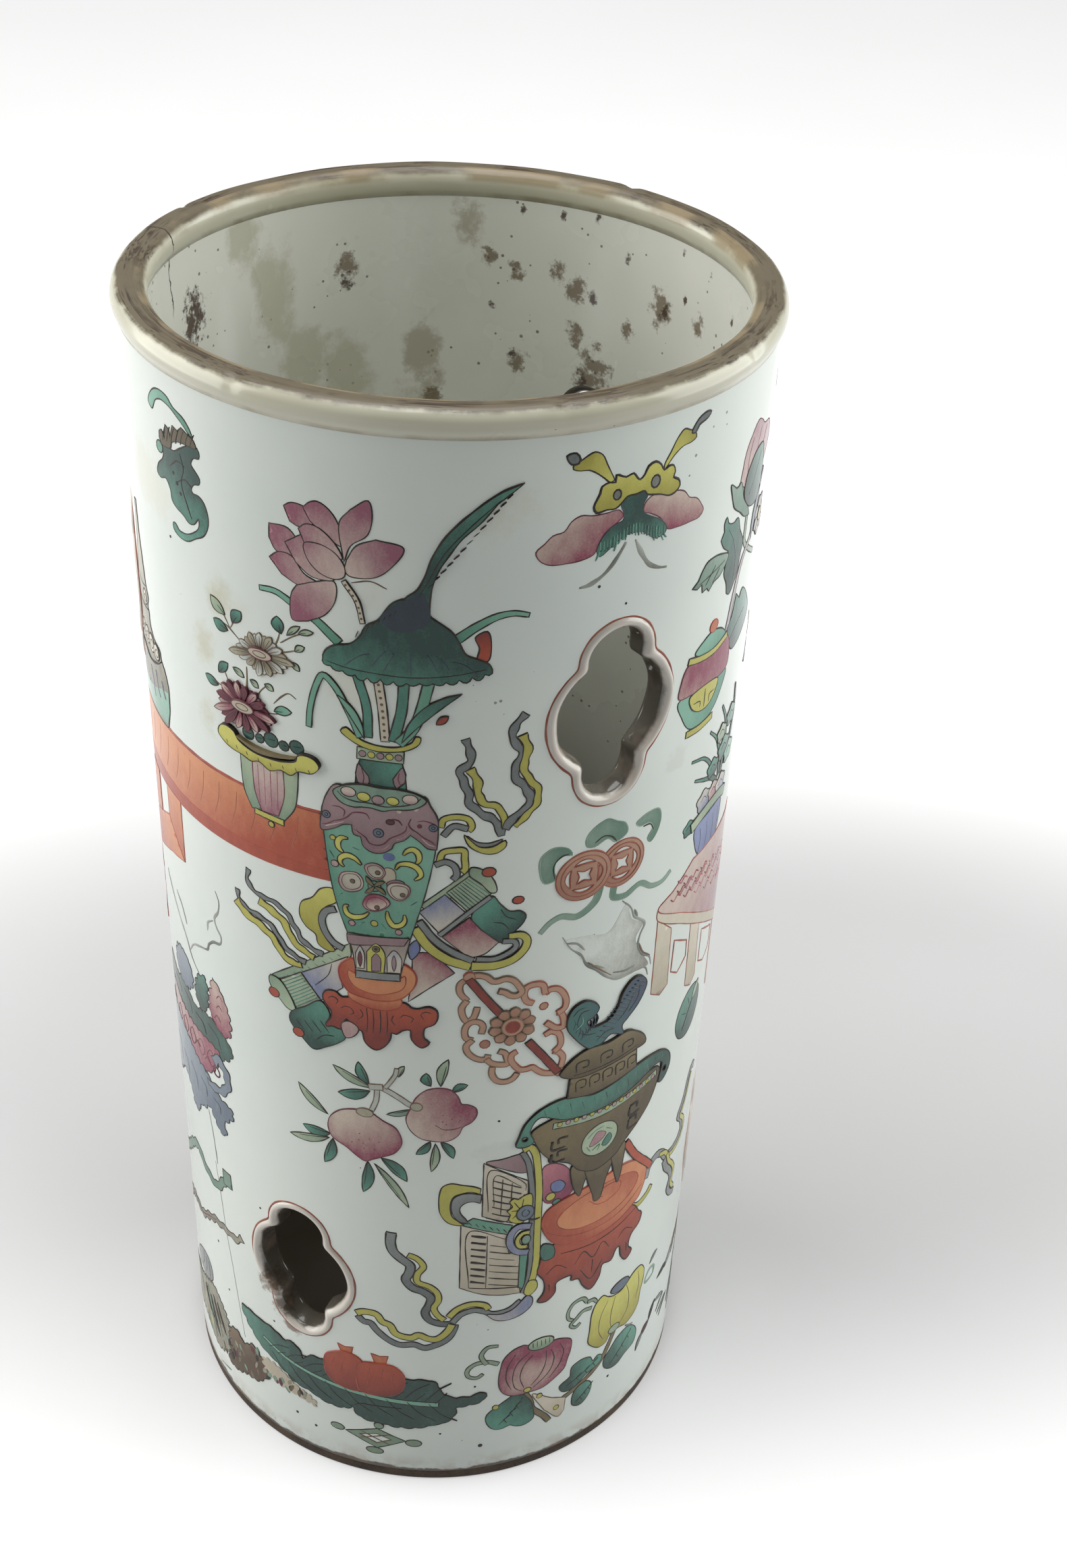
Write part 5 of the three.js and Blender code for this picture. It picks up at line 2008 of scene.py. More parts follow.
    def neck(self, p: Painting) -> None:
        """Draws the dark neck with pink panels, the beads, the upper band and the yellow lip."""
        p.fill(loop([(-16.6, 207.5), (-17, 203.6)], [(-7, 203.6)], [(-7.3, 207.5), (-7.9, 210.4)],
                    [(-15.8, 210.4)]), LEAF, wash=((-8, 210), (-14, 204)), rim=0.2)
        p.fill(loop([(-16.2, 209.2), (-15.4, 208.1), (-14.3, 206.6)], [(-14.1, 205.4), (-14.8, 203.9)],
                    [(-15.6, 204.2), (-16.5, 205)], [(-16.8, 206.8)]), MAUVE, depth=0.6)
        p.fill(loop([(-7.8, 209.4), (-8.9, 207.8), (-9.6, 206.6)], [(-9.4, 205.4), (-8.9, 204.4)],
                    [(-8.1, 205.2), (-7.3, 206)], [(-7.2, 207.8)]), MAUVE, depth=0.6)
        p.line((-15.6, 208.2), (-15.2, 206.4), (-15.4, 204.6), width=0.3, enamel=PLUM)
        p.line((-8.4, 208.2), (-8.6, 206.6), (-8.2, 205.4), width=0.3, enamel=PLUM)
        p.fill(loop([(-16.5, 210.3)], [(-7.6, 210.3)], [(-7.5, 213)], [(-16.4, 213)]), CELADON)
        for i in range(5):
            p.fill(disc((-15.4 + i * 1.72, 211.6), 0.72), YELLOW if i % 2 else MAUVE, width=0.24)
        p.fill(blob((-21.3, 202), (-19.4, 203.6), (-15.6, 204.6), (-12, 204.4), (-8.4, 204.4), (-5, 203.6),
                    (-3.2, 202.2), (-4.8, 200.6), (-6.9, 199.9), (-9.4, 199.7), (-11.6, 199.1),
                    (-13.7, 199.5), (-15.6, 199.4), (-17.2, 199.1), (-19.3, 199.5), (-20.6, 200.5)), SAGE,
               depth=0.5, width=0.42)
        p.line((-20.4, 202.2), (-19.6, 201.3), (-18.5, 200.8), (-16.7, 200.5), (-14.1, 200.6),
               (-11.2, 200.2), (-9.1, 200.5), (-6.9, 201), (-5.2, 201.7), (-4.3, 202.8), width=0.42)
        for centre, radius, squash, enamel in (((-18.2, 202.5), 1.5, 0.75, PINK),
                                               ((-15.2, 201.9), 1.3, 0.8, YELLOW),
                                               ((-12.4, 201.6), 1.2, 0.85, MAUVE),
                                               ((-9.6, 201.7), 1.2, 0.8, YELLOW),
                                               ((-6.3, 202.4), 1.5, 0.75, PINK)):
            p.fill(disc(centre, radius, squash), enamel, wash=(centre, (centre[0], centre[1] - radius)),
                   width=0.3)
        p.fill(blob((-19.6, 216), (-18.5, 216.9), (-17.2, 215.9), (-15.5, 214.6), (-12, 213.8), (-8.5, 214),
                    (-6, 215.3), (-5.3, 216.6), (-4.4, 216.4), (-4.7, 215), (-6.5, 213.6), (-9.5, 212.8),
                    (-12.5, 212.6), (-15.5, 213.2), (-18, 214.5)), YELLOW, depth=0.45)


class VaseStand(Motif):
    """The carved iron-red stand under the vase."""

    name = "vase_stand"

    def paint(self, p: Painting) -> None:
        """Draws the legs, the lower ring and the top ring."""
        p.fill(blob((-19, 151), (-20.5, 150.6), (-22, 151.7), (-24, 151.3), (-24.8, 149.5), (-24, 147.5),
                    (-23, 146.3), (-23, 144.5), (-24.3, 142.3), (-24.1, 141.6), (-22.8, 142.1), (-21, 141.8),
                    (-20.5, 143.5), (-19.5, 145), (-18.3, 143), (-17, 142.8), (-16.3, 142.5), (-15.7, 139.8),
                    (-14.3, 138.3), (-13.2, 138), (-11.4, 139.3), (-10.3, 141.5), (-10, 143.2), (-9, 143),
                    (-7.9, 144), (-6.2, 144.4), (-5.9, 142), (-4.6, 140.2), (-3.6, 139.8), (-2.2, 141.2),
                    (-3.2, 142.2), (-3.5, 143.5), (-3.1, 145.2), (-1.3, 146.2), (-0.6, 147.8), (-0.8, 149.9),
                    (-2.3, 150.8), (-4.8, 150.2), (-6, 150.4), (-7, 151.4)), RUST,
               wash=((-12, 152), (-13, 141)), width=0.5, rim=0.2)
        p.fill(blob((-20.7, 143.5), (-19, 144.5), (-17, 143), (-18, 140.7), (-19.8, 139.9)), PINK, depth=0.5)
        for u in (-15.2, -13.9, -12.4, -11):
            p.line((u, 149), (u + 0.15, 146), (u, 142.6))
        for path in ([(-20.8, 147.5), (-19.8, 148.4), (-18.6, 148.2), (-18, 147), (-18.8, 146.4)],
                     [(-8.3, 147.5), (-7.6, 148.3), (-6.5, 148.2), (-5.5, 147.6), (-6, 146.6)],
                     [(-23.6, 149.4), (-22.6, 150.2), (-21.4, 149.6), (-21.8, 148.4)],
                     [(-1.9, 149.2), (-3, 149.6), (-4, 148.8), (-3.4, 147.6)],
                     [(-17, 145.6), (-16, 146.8), (-16.6, 148.4)],
                     [(-9.2, 145.4), (-10, 146.6), (-9.6, 148)]):
            p.line(*path, width=0.34)
        p.fill(blob((-19, 152.7), (-18.8, 151), (-17, 149.9), (-14, 149), (-10.5, 149.2), (-8.3, 150.5),
                    (-8, 152.3), (-13, 153)), IRON, wash=((-13, 153), (-13, 149)), line=RUST)
        p.fill(blob((-17.9, 161.4), (-19.8, 160.3), (-21, 158.3), (-20.9, 156), (-20, 153.8), (-18.9, 152.5),
                    (-16, 151.7), (-13.5, 151.4), (-10.5, 151.7), (-8, 152.7), (-6.5, 154.2), (-5.2, 156.5),
                    (-5, 158.8), (-6, 160.6), (-7.7, 161.6), (-8.2, 159.4), (-8, 158), (-17.6, 158),
                    (-17.4, 159.4)), IRON, wash=((-8, 160), (-18, 153)), line=RUST, width=0.5)
        p.fill(blob((-18.9, 158.3), (-19, 156.5), (-18, 154.6), (-15.5, 153.4), (-13, 153.1), (-10, 153.9),
                    (-8, 155), (-7.1, 156.8), (-7.3, 158.8), (-8.4, 157.8), (-13, 156.9), (-17.4, 157.6)),
               IRON, depth=0.1, line=RUST, width=0.34)


class Scrolls(Motif):
    """Two bundles of painting scrolls behind the vase, tied with ribbons."""

    name = "scrolls"

    def paint(self, p: Painting) -> None:
        """Draws the lower bundle on the left and the upper one on the right."""
        self.lower(p)
        self.upper(p)

    @staticmethod
    def hatched(p: Painting, corners: list[Point], count: int) -> None:
        """Draws a pale green end of silk with lines along its second side.

        Args:
            p: the painting.
            corners: its four corners. The lines run from the first side to the third.
            count: how many lines there are.
        """
        p.fill(loop(*([c] for c in corners)), CELADON, depth=0.25, rim=0.3)
        a, b, c, d = (np.array(corner, float) for corner in corners)
        for i in range(1, count + 1):
            share = i / (count + 1)
            start, end = a + (b - a) * share, d + (c - d) * share
            p.line(tuple(start * 0.95 + end * 0.05), tuple(start * 0.05 + end * 0.95), width=0.3,
                   enamel=LEAF)

    def lower(self, p: Painting) -> None:
        """Draws the lower bundle."""
        p.fill(loop([(-31.5, 154.9), (-26, 159.3), (-18.6, 165)], [(-18.6, 161.4), (-24, 158), (-29.5, 154)],
                    [(-36, 149.5)], [(-36.9, 150.5)]), CELADON, wash=((-20, 163), (-36, 150)))
        for i in range(9):
            u = -35 + i * 1.7
            p.line((u, 150.6 + i * 1.36), (u + 0.8, 150.2 + i * 1.36), width=0.3, enamel=LEAF)
        p.fill(loop([(-19, 161.6)], [(-20.9, 157), (-20.3, 153)], [(-25.2, 148.2)], [(-29.6, 154)]),
               LAVENDER, wash=((-19.5, 158), (-27, 151)))
        p.line((-22.6, 158.6), (-23.4, 155.6), (-26.6, 151.6), width=0.3)
        self.hatched(p, [(-34.8, 150), (-31.3, 143.2), (-25.4, 148.2), (-29.8, 154)], 9)
        p.fill(blob((-37.5, 150), (-35, 149.8), (-32, 145.5), (-31.4, 143), (-33, 142.8), (-35.5, 145),
                    (-37.7, 148)), CELADON, wash=((-32, 143), (-37, 150)))
        p.fill(blob((-32.5, 142.3), (-29, 145.2), (-25.3, 148), (-23.3, 145), (-24.2, 142), (-21, 142),
                    (-19.9, 139.7), (-22, 137.4), (-24.6, 135.6), (-27.3, 134.2), (-30, 136.5),
                    (-32.8, 139.8)), LEAF, wash=((-22, 146), (-29, 137)), rim=0.2)
        for i in range(4):
            p.line((-31.2 + i * 1.9, 140.8 + i * 0.6), (-29.2 + i * 1.9, 138.4 + i * 0.5), width=0.34)
        p.line((-26.6, 137), (-24.6, 139), (-22.4, 139.4), width=0.4)
        for centre in ((-36.6, 145.8), (-30.8, 137.5)):
            p.fill(disc(centre, 1.35, 0.9), RUST, width=0.34)

    def upper(self, p: Painting) -> None:
        """Draws the upper bundle."""
        p.fill(loop([(5.2, 185.6)], [(7, 184)], [(-2.4, 175)], [(-4.4, 176.9)]), CELADON)
        p.fill(loop([(0.5, 179.8)], [(-4.5, 175.2)], [(-0.3, 169.8)], [(5, 174.8)]), LAVENDER,
               wash=((1, 172), (-1, 178)))
        self.hatched(p, [(5.1, 184.2), (0.8, 180.3), (5.2, 175.3), (9.9, 180)], 8)
        p.fill(blob((5.2, 184.5), (5.5, 186.3), (8, 185.5), (10.2, 182.5), (10.6, 180), (9.6, 179.8),
                    (7.4, 182.4)), CELADON, wash=((9, 180), (6, 186)))
        p.fill(blob((9.8, 179), (11.5, 176.8), (13.5, 174.8), (15.5, 174.6), (16.8, 173.2), (16.3, 171.5),
                    (14.5, 169.5), (12.5, 167.3), (11.3, 167.2), (8, 170.5), (5.8, 174.3)), LEAF,
               wash=((8, 176), (14, 169)), rim=0.2)
        p.fill(loop([(7.8, 170.8)], [(11.4, 167.3)], [(8.5, 164.5), (5.5, 163.8)], [(0.1, 169.2)],
                    [(5.4, 174)]), ROSE, wash=((6, 163.5), (4.6, 172.5)), rim=0.15)
        p.fill(band([(-0.5, 169.6), (5.5, 175.5), (9.5, 179)], 1.0), SLATE, depth=0.3, width=0.3)
        p.line((10.2, 172.4), (12, 172), (13.4, 170.4))
        p.line((11.6, 175.6), (12.8, 173.6), (14.8, 172.6))
        p.fill(loop([(-3, 165), (0, 162.9), (2.7, 159.8)], [(-2.3, 155.8), (-6.6, 151.9)],
                    [(-5.9, 158), (-5.8, 164.5)]), ROSE, wash=((-5.4, 156.5), (-0.6, 163.6)))
        p.fill(blob((-6.6, 166), (-5, 168), (-4.3, 165.6), (-6, 163)), BLUE)
        for centre, radius in (((9, 185), 1.4), ((15.1, 177.3), 1.2)):
            p.fill(disc(centre, radius, 0.8), RUST, width=0.34)


class VaseRibbons(Motif):
    """The long ribbons that hang and curl round the vase and the scrolls."""

    name = "vase_ribbons"

    def paint(self, p: Painting) -> None:
        """Draws the ribbons on the right, on the left and across the scrolls."""
        self.right(p)
        self.left(p)
        self.across(p)

    @staticmethod
    def pair(p: Painting, slate: list[Point], yellow: list[Point], widths: Point = (1.7, 1.7)) -> None:
        """Draws a ribbon whose slate back and yellow face, of the given widths, run side by side."""
        p.fill(band(slate, widths[0] * 0.85, widths[0], ripple=0.18), SLATE, depth=0.5, width=0.34, rim=0.2)
        p.fill(band(yellow, widths[1], widths[1] * 0.75, ripple=0.16), YELLOW, depth=0.45, width=0.34,
               rim=0.2)

    def right(self, p: Painting) -> None:
        """Draws the two wavy ends, the crescent and the loops at the vase's shoulder."""
        self.pair(p, [(3.8, 216.3), (4.6, 214), (5, 211.5), (3, 209), (3.5, 207), (4.5, 204.5), (5, 201.5),
                      (7, 199.3), (9.5, 197.5), (10.8, 195.5), (11.2, 193.5)],
                  [(4.8, 209.5), (6.3, 206.5), (6.5, 203.5), (8, 201.3), (10.5, 200.3), (11.5, 197.5),
                   (12, 195.3)])
        self.pair(p, [(15, 221.2), (13, 218.5), (12.8, 215.5), (14.5, 213), (14.3, 210.8), (13.3, 209.3),
                      (13.8, 206.5), (15.5, 204.3), (16.5, 202), (16, 199.5), (13.3, 197.5), (12, 195)],
                  [(14.5, 216.5), (15.7, 213), (15, 210), (15.7, 207), (17.8, 204), (18, 200.8),
                   (16.5, 198.5), (13.8, 195.5)])
        p.fill(blob((4.4, 194), (6.5, 192.4), (9, 192), (11.5, 192.7), (10, 191.4), (7.2, 191.2),
                    (5.2, 192.4)), SLATE, depth=0.5)
        p.fill(blob((4, 194.2), (5, 191.5), (8, 189.5), (10.5, 189.5), (12.2, 191), (12, 192.3), (9.5, 191),
                    (7, 191.2), (5.3, 192.8)), YELLOW, depth=0.45)
        p.fill(band([(-0.5, 196), (0, 197.8), (2.5, 198.5), (4.8, 197.8), (5.4, 196), (4.8, 195.2)], 1.3),
               YELLOW, depth=0.45, width=0.34)
        p.fill(band([(0, 194), (2, 196.3), (4.7, 195.6)], 1.3), SLATE, depth=0.5, width=0.34)
        p.fill(band([(-0.7, 187.5), (0, 190), (2.5, 190.6), (4, 190.5), (4.2, 188.5), (4.3, 186),
                     (3.7, 185.3)], 1.3), YELLOW, depth=0.45, width=0.34)
        p.fill(band([(-1.5, 187), (0.5, 187.8), (2.2, 186.8), (2.7, 184.5), (2, 183.5)], 1.3), SLATE,
               depth=0.5, width=0.34)

    def left(self, p: Painting) -> None:
        """Draws the two wavy ends and the looped one at the left."""
        self.pair(p, [(-42, 175.3), (-42.5, 172.5), (-40.5, 170.2), (-36, 169.8), (-33, 168.5),
                      (-30.8, 165.5), (-29.3, 162.8), (-26.5, 161), (-24.5, 160.5)],
                  [(-39.5, 168.5), (-36, 167.2), (-33.3, 165.5), (-31.5, 162), (-29, 160), (-26.5, 159)],
                  (1.2, 2.0))
        self.pair(p, [(-45.5, 168.5), (-45.3, 166.5), (-43, 164.8), (-39, 164.3), (-36, 162.8), (-34, 160),
                      (-31.5, 158), (-28.5, 157)],
                  [(-46, 165.5), (-43.5, 163.5), (-39, 162), (-36, 160), (-34, 157), (-31, 155.7),
                   (-29.5, 156)], (1.2, 2.0))
        p.fill(blob((-22, 178), (-24.5, 177.3), (-26.5, 174.5), (-29, 172.5), (-29.5, 169), (-28, 166.5),
                    (-26, 165.3), (-25.5, 163), (-23, 161.8), (-21.8, 162.3), (-23.2, 164.2), (-24.8, 167),
                    (-25.2, 170), (-23.6, 173), (-21.2, 175)), YELLOW, wash=((-23, 176), (-27, 166)))
        p.fill(band([(-21.5, 173), (-23.5, 172), (-24.5, 169.8), (-24, 167), (-22.3, 164.5), (-20, 163.3)],
                    1.5), SLATE, depth=0.5, width=0.34)

    @staticmethod
    def across(p: Painting) -> None:
        """Draws the ribbon that ties the scrolls and its loop on the right."""
        p.fill(band([(-5.3, 171.2), (-2.7, 166.8), (1.1, 163.5), (5.9, 161.5)], 2.1), YELLOW, depth=0.45,
               width=0.34)
        p.fill(band([(-4.5, 173), (-1.4, 168.5), (2.3, 165.3), (6.3, 163)], 1.5), SLATE, depth=0.5,
               width=0.34)
        p.fill(band([(6, 161.6), (11, 161.4), (14.6, 162.5), (16.9, 165), (17.2, 167), (16, 168.4),
                     (13.4, 168.5)], 2.1, 1.5), YELLOW, depth=0.45, width=0.34)
        p.fill(band([(7, 163.4), (10.7, 163.1), (13.7, 164.4), (15, 165.7), (14.6, 167), (12.2, 167.4)],
                    1.2), SLATE, depth=0.5, width=0.34)


class Butterfly(Motif):
    """A butterfly with a yellow scalloped head, curled antennae and rosy wings."""

    name = "butterfly"

    def paint(self, p: Painting) -> None:
        """Draws the tails, the wings, the body, the antennae and the head."""
        p.line((33, 254), (31.5, 251.5), (29, 248.5), (26, 246.8), (24, 246.5), width=1.0, enamel=SMOKE)
        p.line((35, 254), (36.5, 251), (38.5, 248), (41, 246.5), (43, 246), width=1.0, enamel=SMOKE)
        p.fill(blob((31, 260.9), (28.5, 260.8), (26, 260.8), (23.5, 261.2), (21.8, 260.3), (20.5, 258.5),
                    (18.5, 258), (17, 256.5), (15.5, 255), (16.2, 253.3), (18, 252.2), (21, 252),
                    (24, 252.2), (26.5, 253), (27.3, 255), (28.5, 257), (31, 258.6), (32, 259.5)), ROSE,
               wash=((19, 261.5), (25.5, 253)), line=PLUM, width=0.3)
        p.fill(blob((36.6, 261), (38, 262), (40, 262), (42, 261), (44, 261.3), (46, 260.5), (47.5, 258.8),
                    (49.5, 258), (51, 256.3), (51.8, 254.8), (50.8, 253.7), (48, 253.6), (44, 253.7),
                    (42.5, 254), (40.5, 256.8), (38, 258.5), (36.4, 259.3)), ROSE,
               wash=((45, 261.5), (42.5, 254)), line=PLUM, width=0.3)
        p.fill(blob((31.9, 263.2), (34, 263.2), (36, 263.4), (37, 262.4), (36.2, 261), (36.3, 259.3),
                    (38, 258), (40.5, 256.5), (42, 254.8), (41.8, 253.5), (39.5, 253), (37, 255),
                    (35, 255.5), (33, 255.5), (31, 254.5), (29, 253), (27.7, 252.2), (27, 253.5), (28, 256),
                    (30, 258), (32, 258.6), (32.1, 260), (31.5, 261.5)), LEAF,
               wash=((35, 248), (34.6, 258.5)), line=BLUE_BLACK, width=0.26)
        for i in range(22):
            u = 27.6 + i * 0.66
            z = 252.9 + 2.4 * math.exp(-((u - 34.4) / 3.6) ** 2)
            deep = p.random.uniform(-0.4, 1.5)
            p.line((u, z + 2.2), (u - 0.1 + i * 0.012, z + 0.2), (u - 0.7 + i * 0.07, z - deep),
                   width=p.random.uniform(0.3, 0.8), enamel=LEAF)
        p.fill(blob((22.9, 272), (24, 272.7), (25.5, 273.3), (27, 272.5), (28, 270.5), (29, 268.5),
                    (29.6, 267.1), (28.9, 266.8), (27.5, 268), (26, 269.2), (24.5, 270), (23, 270.1),
                    (21.6, 270.6), (21.7, 271.5)), YELLOW, wash=((29, 268), (23, 272)))
        p.fill(blob((20.3, 273.3), (22, 273.6), (22.8, 272.3), (22.5, 271.6), (21.2, 271.6)), SLATE,
               depth=0.9, width=0.5)
        p.fill(blob((40.3, 267.5), (41.5, 269.5), (43, 272), (44.5, 273.3), (46, 272.7), (47.3, 272),
                    (47.8, 270.8), (46.5, 270.2), (44.5, 270), (42.5, 268.8), (41, 267.2), (40.4, 266.6)),
               YELLOW, wash=((41, 268), (47, 272)))
        p.fill(blob((46.5, 272), (48, 274.2), (50.2, 275), (51.4, 274.7), (50.5, 273.7), (48.3, 273),
                    (47.5, 271.8)), SLATE, depth=0.9, width=0.5)
        p.fill(blob((30, 268), (32, 267.2), (33.5, 267.6), (34.3, 266.6), (35, 266), (36, 266.8),
                    (36.7, 268.2), (38.2, 268.7), (39.5, 267.8), (40.3, 266.5), (41.5, 267), (42.5, 266.8),
                    (43, 265.5), (42.7, 264.4), (44, 263.6), (44.5, 262.3), (43.6, 261.3), (42, 261),
                    (40, 261.8), (38, 262.3), (36.8, 262.7), (36.2, 263.5), (34.5, 263.3), (32.5, 263.3),
                    (31.7, 262.5), (30.3, 261.4), (28.5, 261.5), (26.5, 261.3), (25.9, 262.5), (26.4, 263.8),
                    (27, 265), (27.3, 266.3), (28.8, 266.8), (29.9, 266.6)), YELLOW,
               wash=((35, 268), (35, 261)), width=0.55)
        for centre, radius in (((30.4, 264.1), 0.8), ((38.5, 264.8), 1.0)):
            p.fill(disc(centre, radius, 1.25), SMOKE, depth=0.8, width=0.55)


class Coins(Motif):
    """A pair of square-holed coins among clouds and ribbons."""

    name = "coins"

    def paint(self, p: Painting) -> None:
        """Draws the clouds, the ribbons and the coins."""
        for cloud in (
                blob((19.3, 183), (19.5, 187), (22, 188.6), (25, 187.8), (26, 186), (24.5, 186.3),
                     (22.5, 185), (22.3, 182.5), (23, 181), (20.5, 180.2)),
                blob((29, 189), (30.5, 191), (33.5, 192.3), (36, 191), (38, 189.8), (38.8, 187.3), (36, 186),
                     (34, 187.5), (31, 186.5), (29.3, 187)),
                blob((41, 188.5), (44, 189.8), (47, 189.5), (48, 187), (47.3, 184), (45.5, 182),
                     (44.5, 183.3), (45.8, 185.5), (44.5, 187.2), (42, 187.3))):
            p.fill(cloud, SAGE, wash=((cloud[0][0] - 4, cloud[0][1] + 4), cloud[len(cloud) // 2]), rim=0.3,
                   line=SAGE, width=0.4)
        for path in ([(31, 187.4), (33, 188.4), (35, 187.6), (36.2, 186)],
                     [(43, 186.8), (45, 186.6), (46, 184.8)],
                     [(22.4, 181), (22.2, 184.4), (23.8, 186.2), (25.4, 186.4)]):
            p.line(*path, width=0.45)
        p.fill(band([(33, 176), (32, 172.5), (28, 170), (24.5, 171), (22, 170), (20, 167.8)], 1.8, 1.0),
               SAGE, wash=((20, 168), (33, 178)), width=0.3, line=SAGE)
        p.fill(band([(36.5, 175), (36.5, 172), (39.5, 171), (43.5, 172.3), (47, 170), (50.5, 169.5),
                     (53, 170.8)], 1.6, 0.9), SAGE, wash=((53, 171), (36, 175)), width=0.3, line=SAGE)
        for centre, radius, squash in (((38, 180), 5.7, 1.0), ((29, 180), 6.2, 0.95)):
            self.coin(p, centre, radius, squash)

    @staticmethod
    def coin(p: Painting, centre: Point, radius: float, squash: float) -> None:
        """Draws one coin: a brown ring pierced by four lenses round a square hole with hollow sides."""
        reach = radius - 0.5
        u, z = centre
        lenses = []
        for turn in range(4):
            angle = turn * math.pi / 2
            away, side = (math.cos(angle), math.sin(angle)), (-math.sin(angle), math.cos(angle))
            shape = [(0.52, 0.44), (0.7, 0.24), (0.76, 0.0), (0.7, -0.24), (0.52, -0.44), (0.54, -0.2),
                     (0.55, 0.0), (0.54, 0.2)]
            lenses.append(loop([(u + reach * (away[0] * out + side[0] * over),
                                 z + reach * squash * (away[1] * out + side[1] * over))
                                for out, over in shape]))
        square = loop([(u + reach * 0.42 * math.cos(angle) * (1.0 if corner % 2 == 0 else 0.5),
                        z + reach * 0.42 * squash * math.sin(angle) * (1.0 if corner % 2 == 0 else 0.5))
                       for corner, angle in enumerate(math.pi / 4 + math.pi / 4 * k for k in range(8))])
        p.fill(disc(centre, radius, squash), TAN, wash=((u + 4, z + 8), (u - 2, z - 5)), line=IRON_INK,
               width=0.4, holes=[*lenses, square])
        for ring in (*lenses, square):
            p.stroke(ring, 0.34, IRON_INK, closed=True)
        p.stroke(disc(centre, radius * 0.84, squash), 0.3, IRON_INK, closed=True)


class Rock(Motif):
    """A rock and far hills drawn in dry grey brush lines."""

    name = "rock"

    def paint(self, p: Painting) -> None:
        """Draws the outline and its soft shade."""
        p.fill(smooth([(25.4, 164.3), (26.4, 162.3), (28.8, 160.4), (29.6, 158.2), (32.5, 156),
                       (34.1, 153.5), (36, 151.5), (38.4, 149.6), (42.3, 149), (45.7, 148.4), (48.3, 148.5),
                       (46.6, 151.7), (44.3, 155.6), (43.7, 158.2), (45.4, 161.1), (42.1, 163.8),
                       (40.2, 168.4), (36, 163), (31, 164)], closed=True), MIST, wash=((34, 161), (50, 145)),
               rim=0.3, line=None, spread=1.4)
        for path in ([(25, 165.5), (27, 162), (29.5, 159.5), (31, 156.5), (34, 153.5), (37, 150.5),
                      (40, 149), (45, 148.8), (47.5, 148), (48.5, 145.5)],
                     [(39, 169.8), (41.5, 167), (42.8, 164), (44.5, 162.5), (46, 160.5), (45, 158.5),
                      (44.5, 155.5), (46, 152.5), (48.5, 150.5), (49.2, 148)],
                     [(26, 163.6), (28.4, 162.8), (30.4, 160.4)], [(33, 155.4), (35.6, 153.6)],
                     [(42.6, 166), (43.6, 163.8)], [(38, 151.4), (41.4, 150.4), (44.6, 150.6)]):
            p.line(*path, width=0.75, enamel=SMOKE, fade=0.7)
        p.line((31.4, 156.8), (34.4, 153.8), (37.6, 150.9), width=0.5, enamel=SEPIA)
        p.line((44.8, 156), (46.2, 153), (48.6, 150.8), width=0.5, enamel=SEPIA)


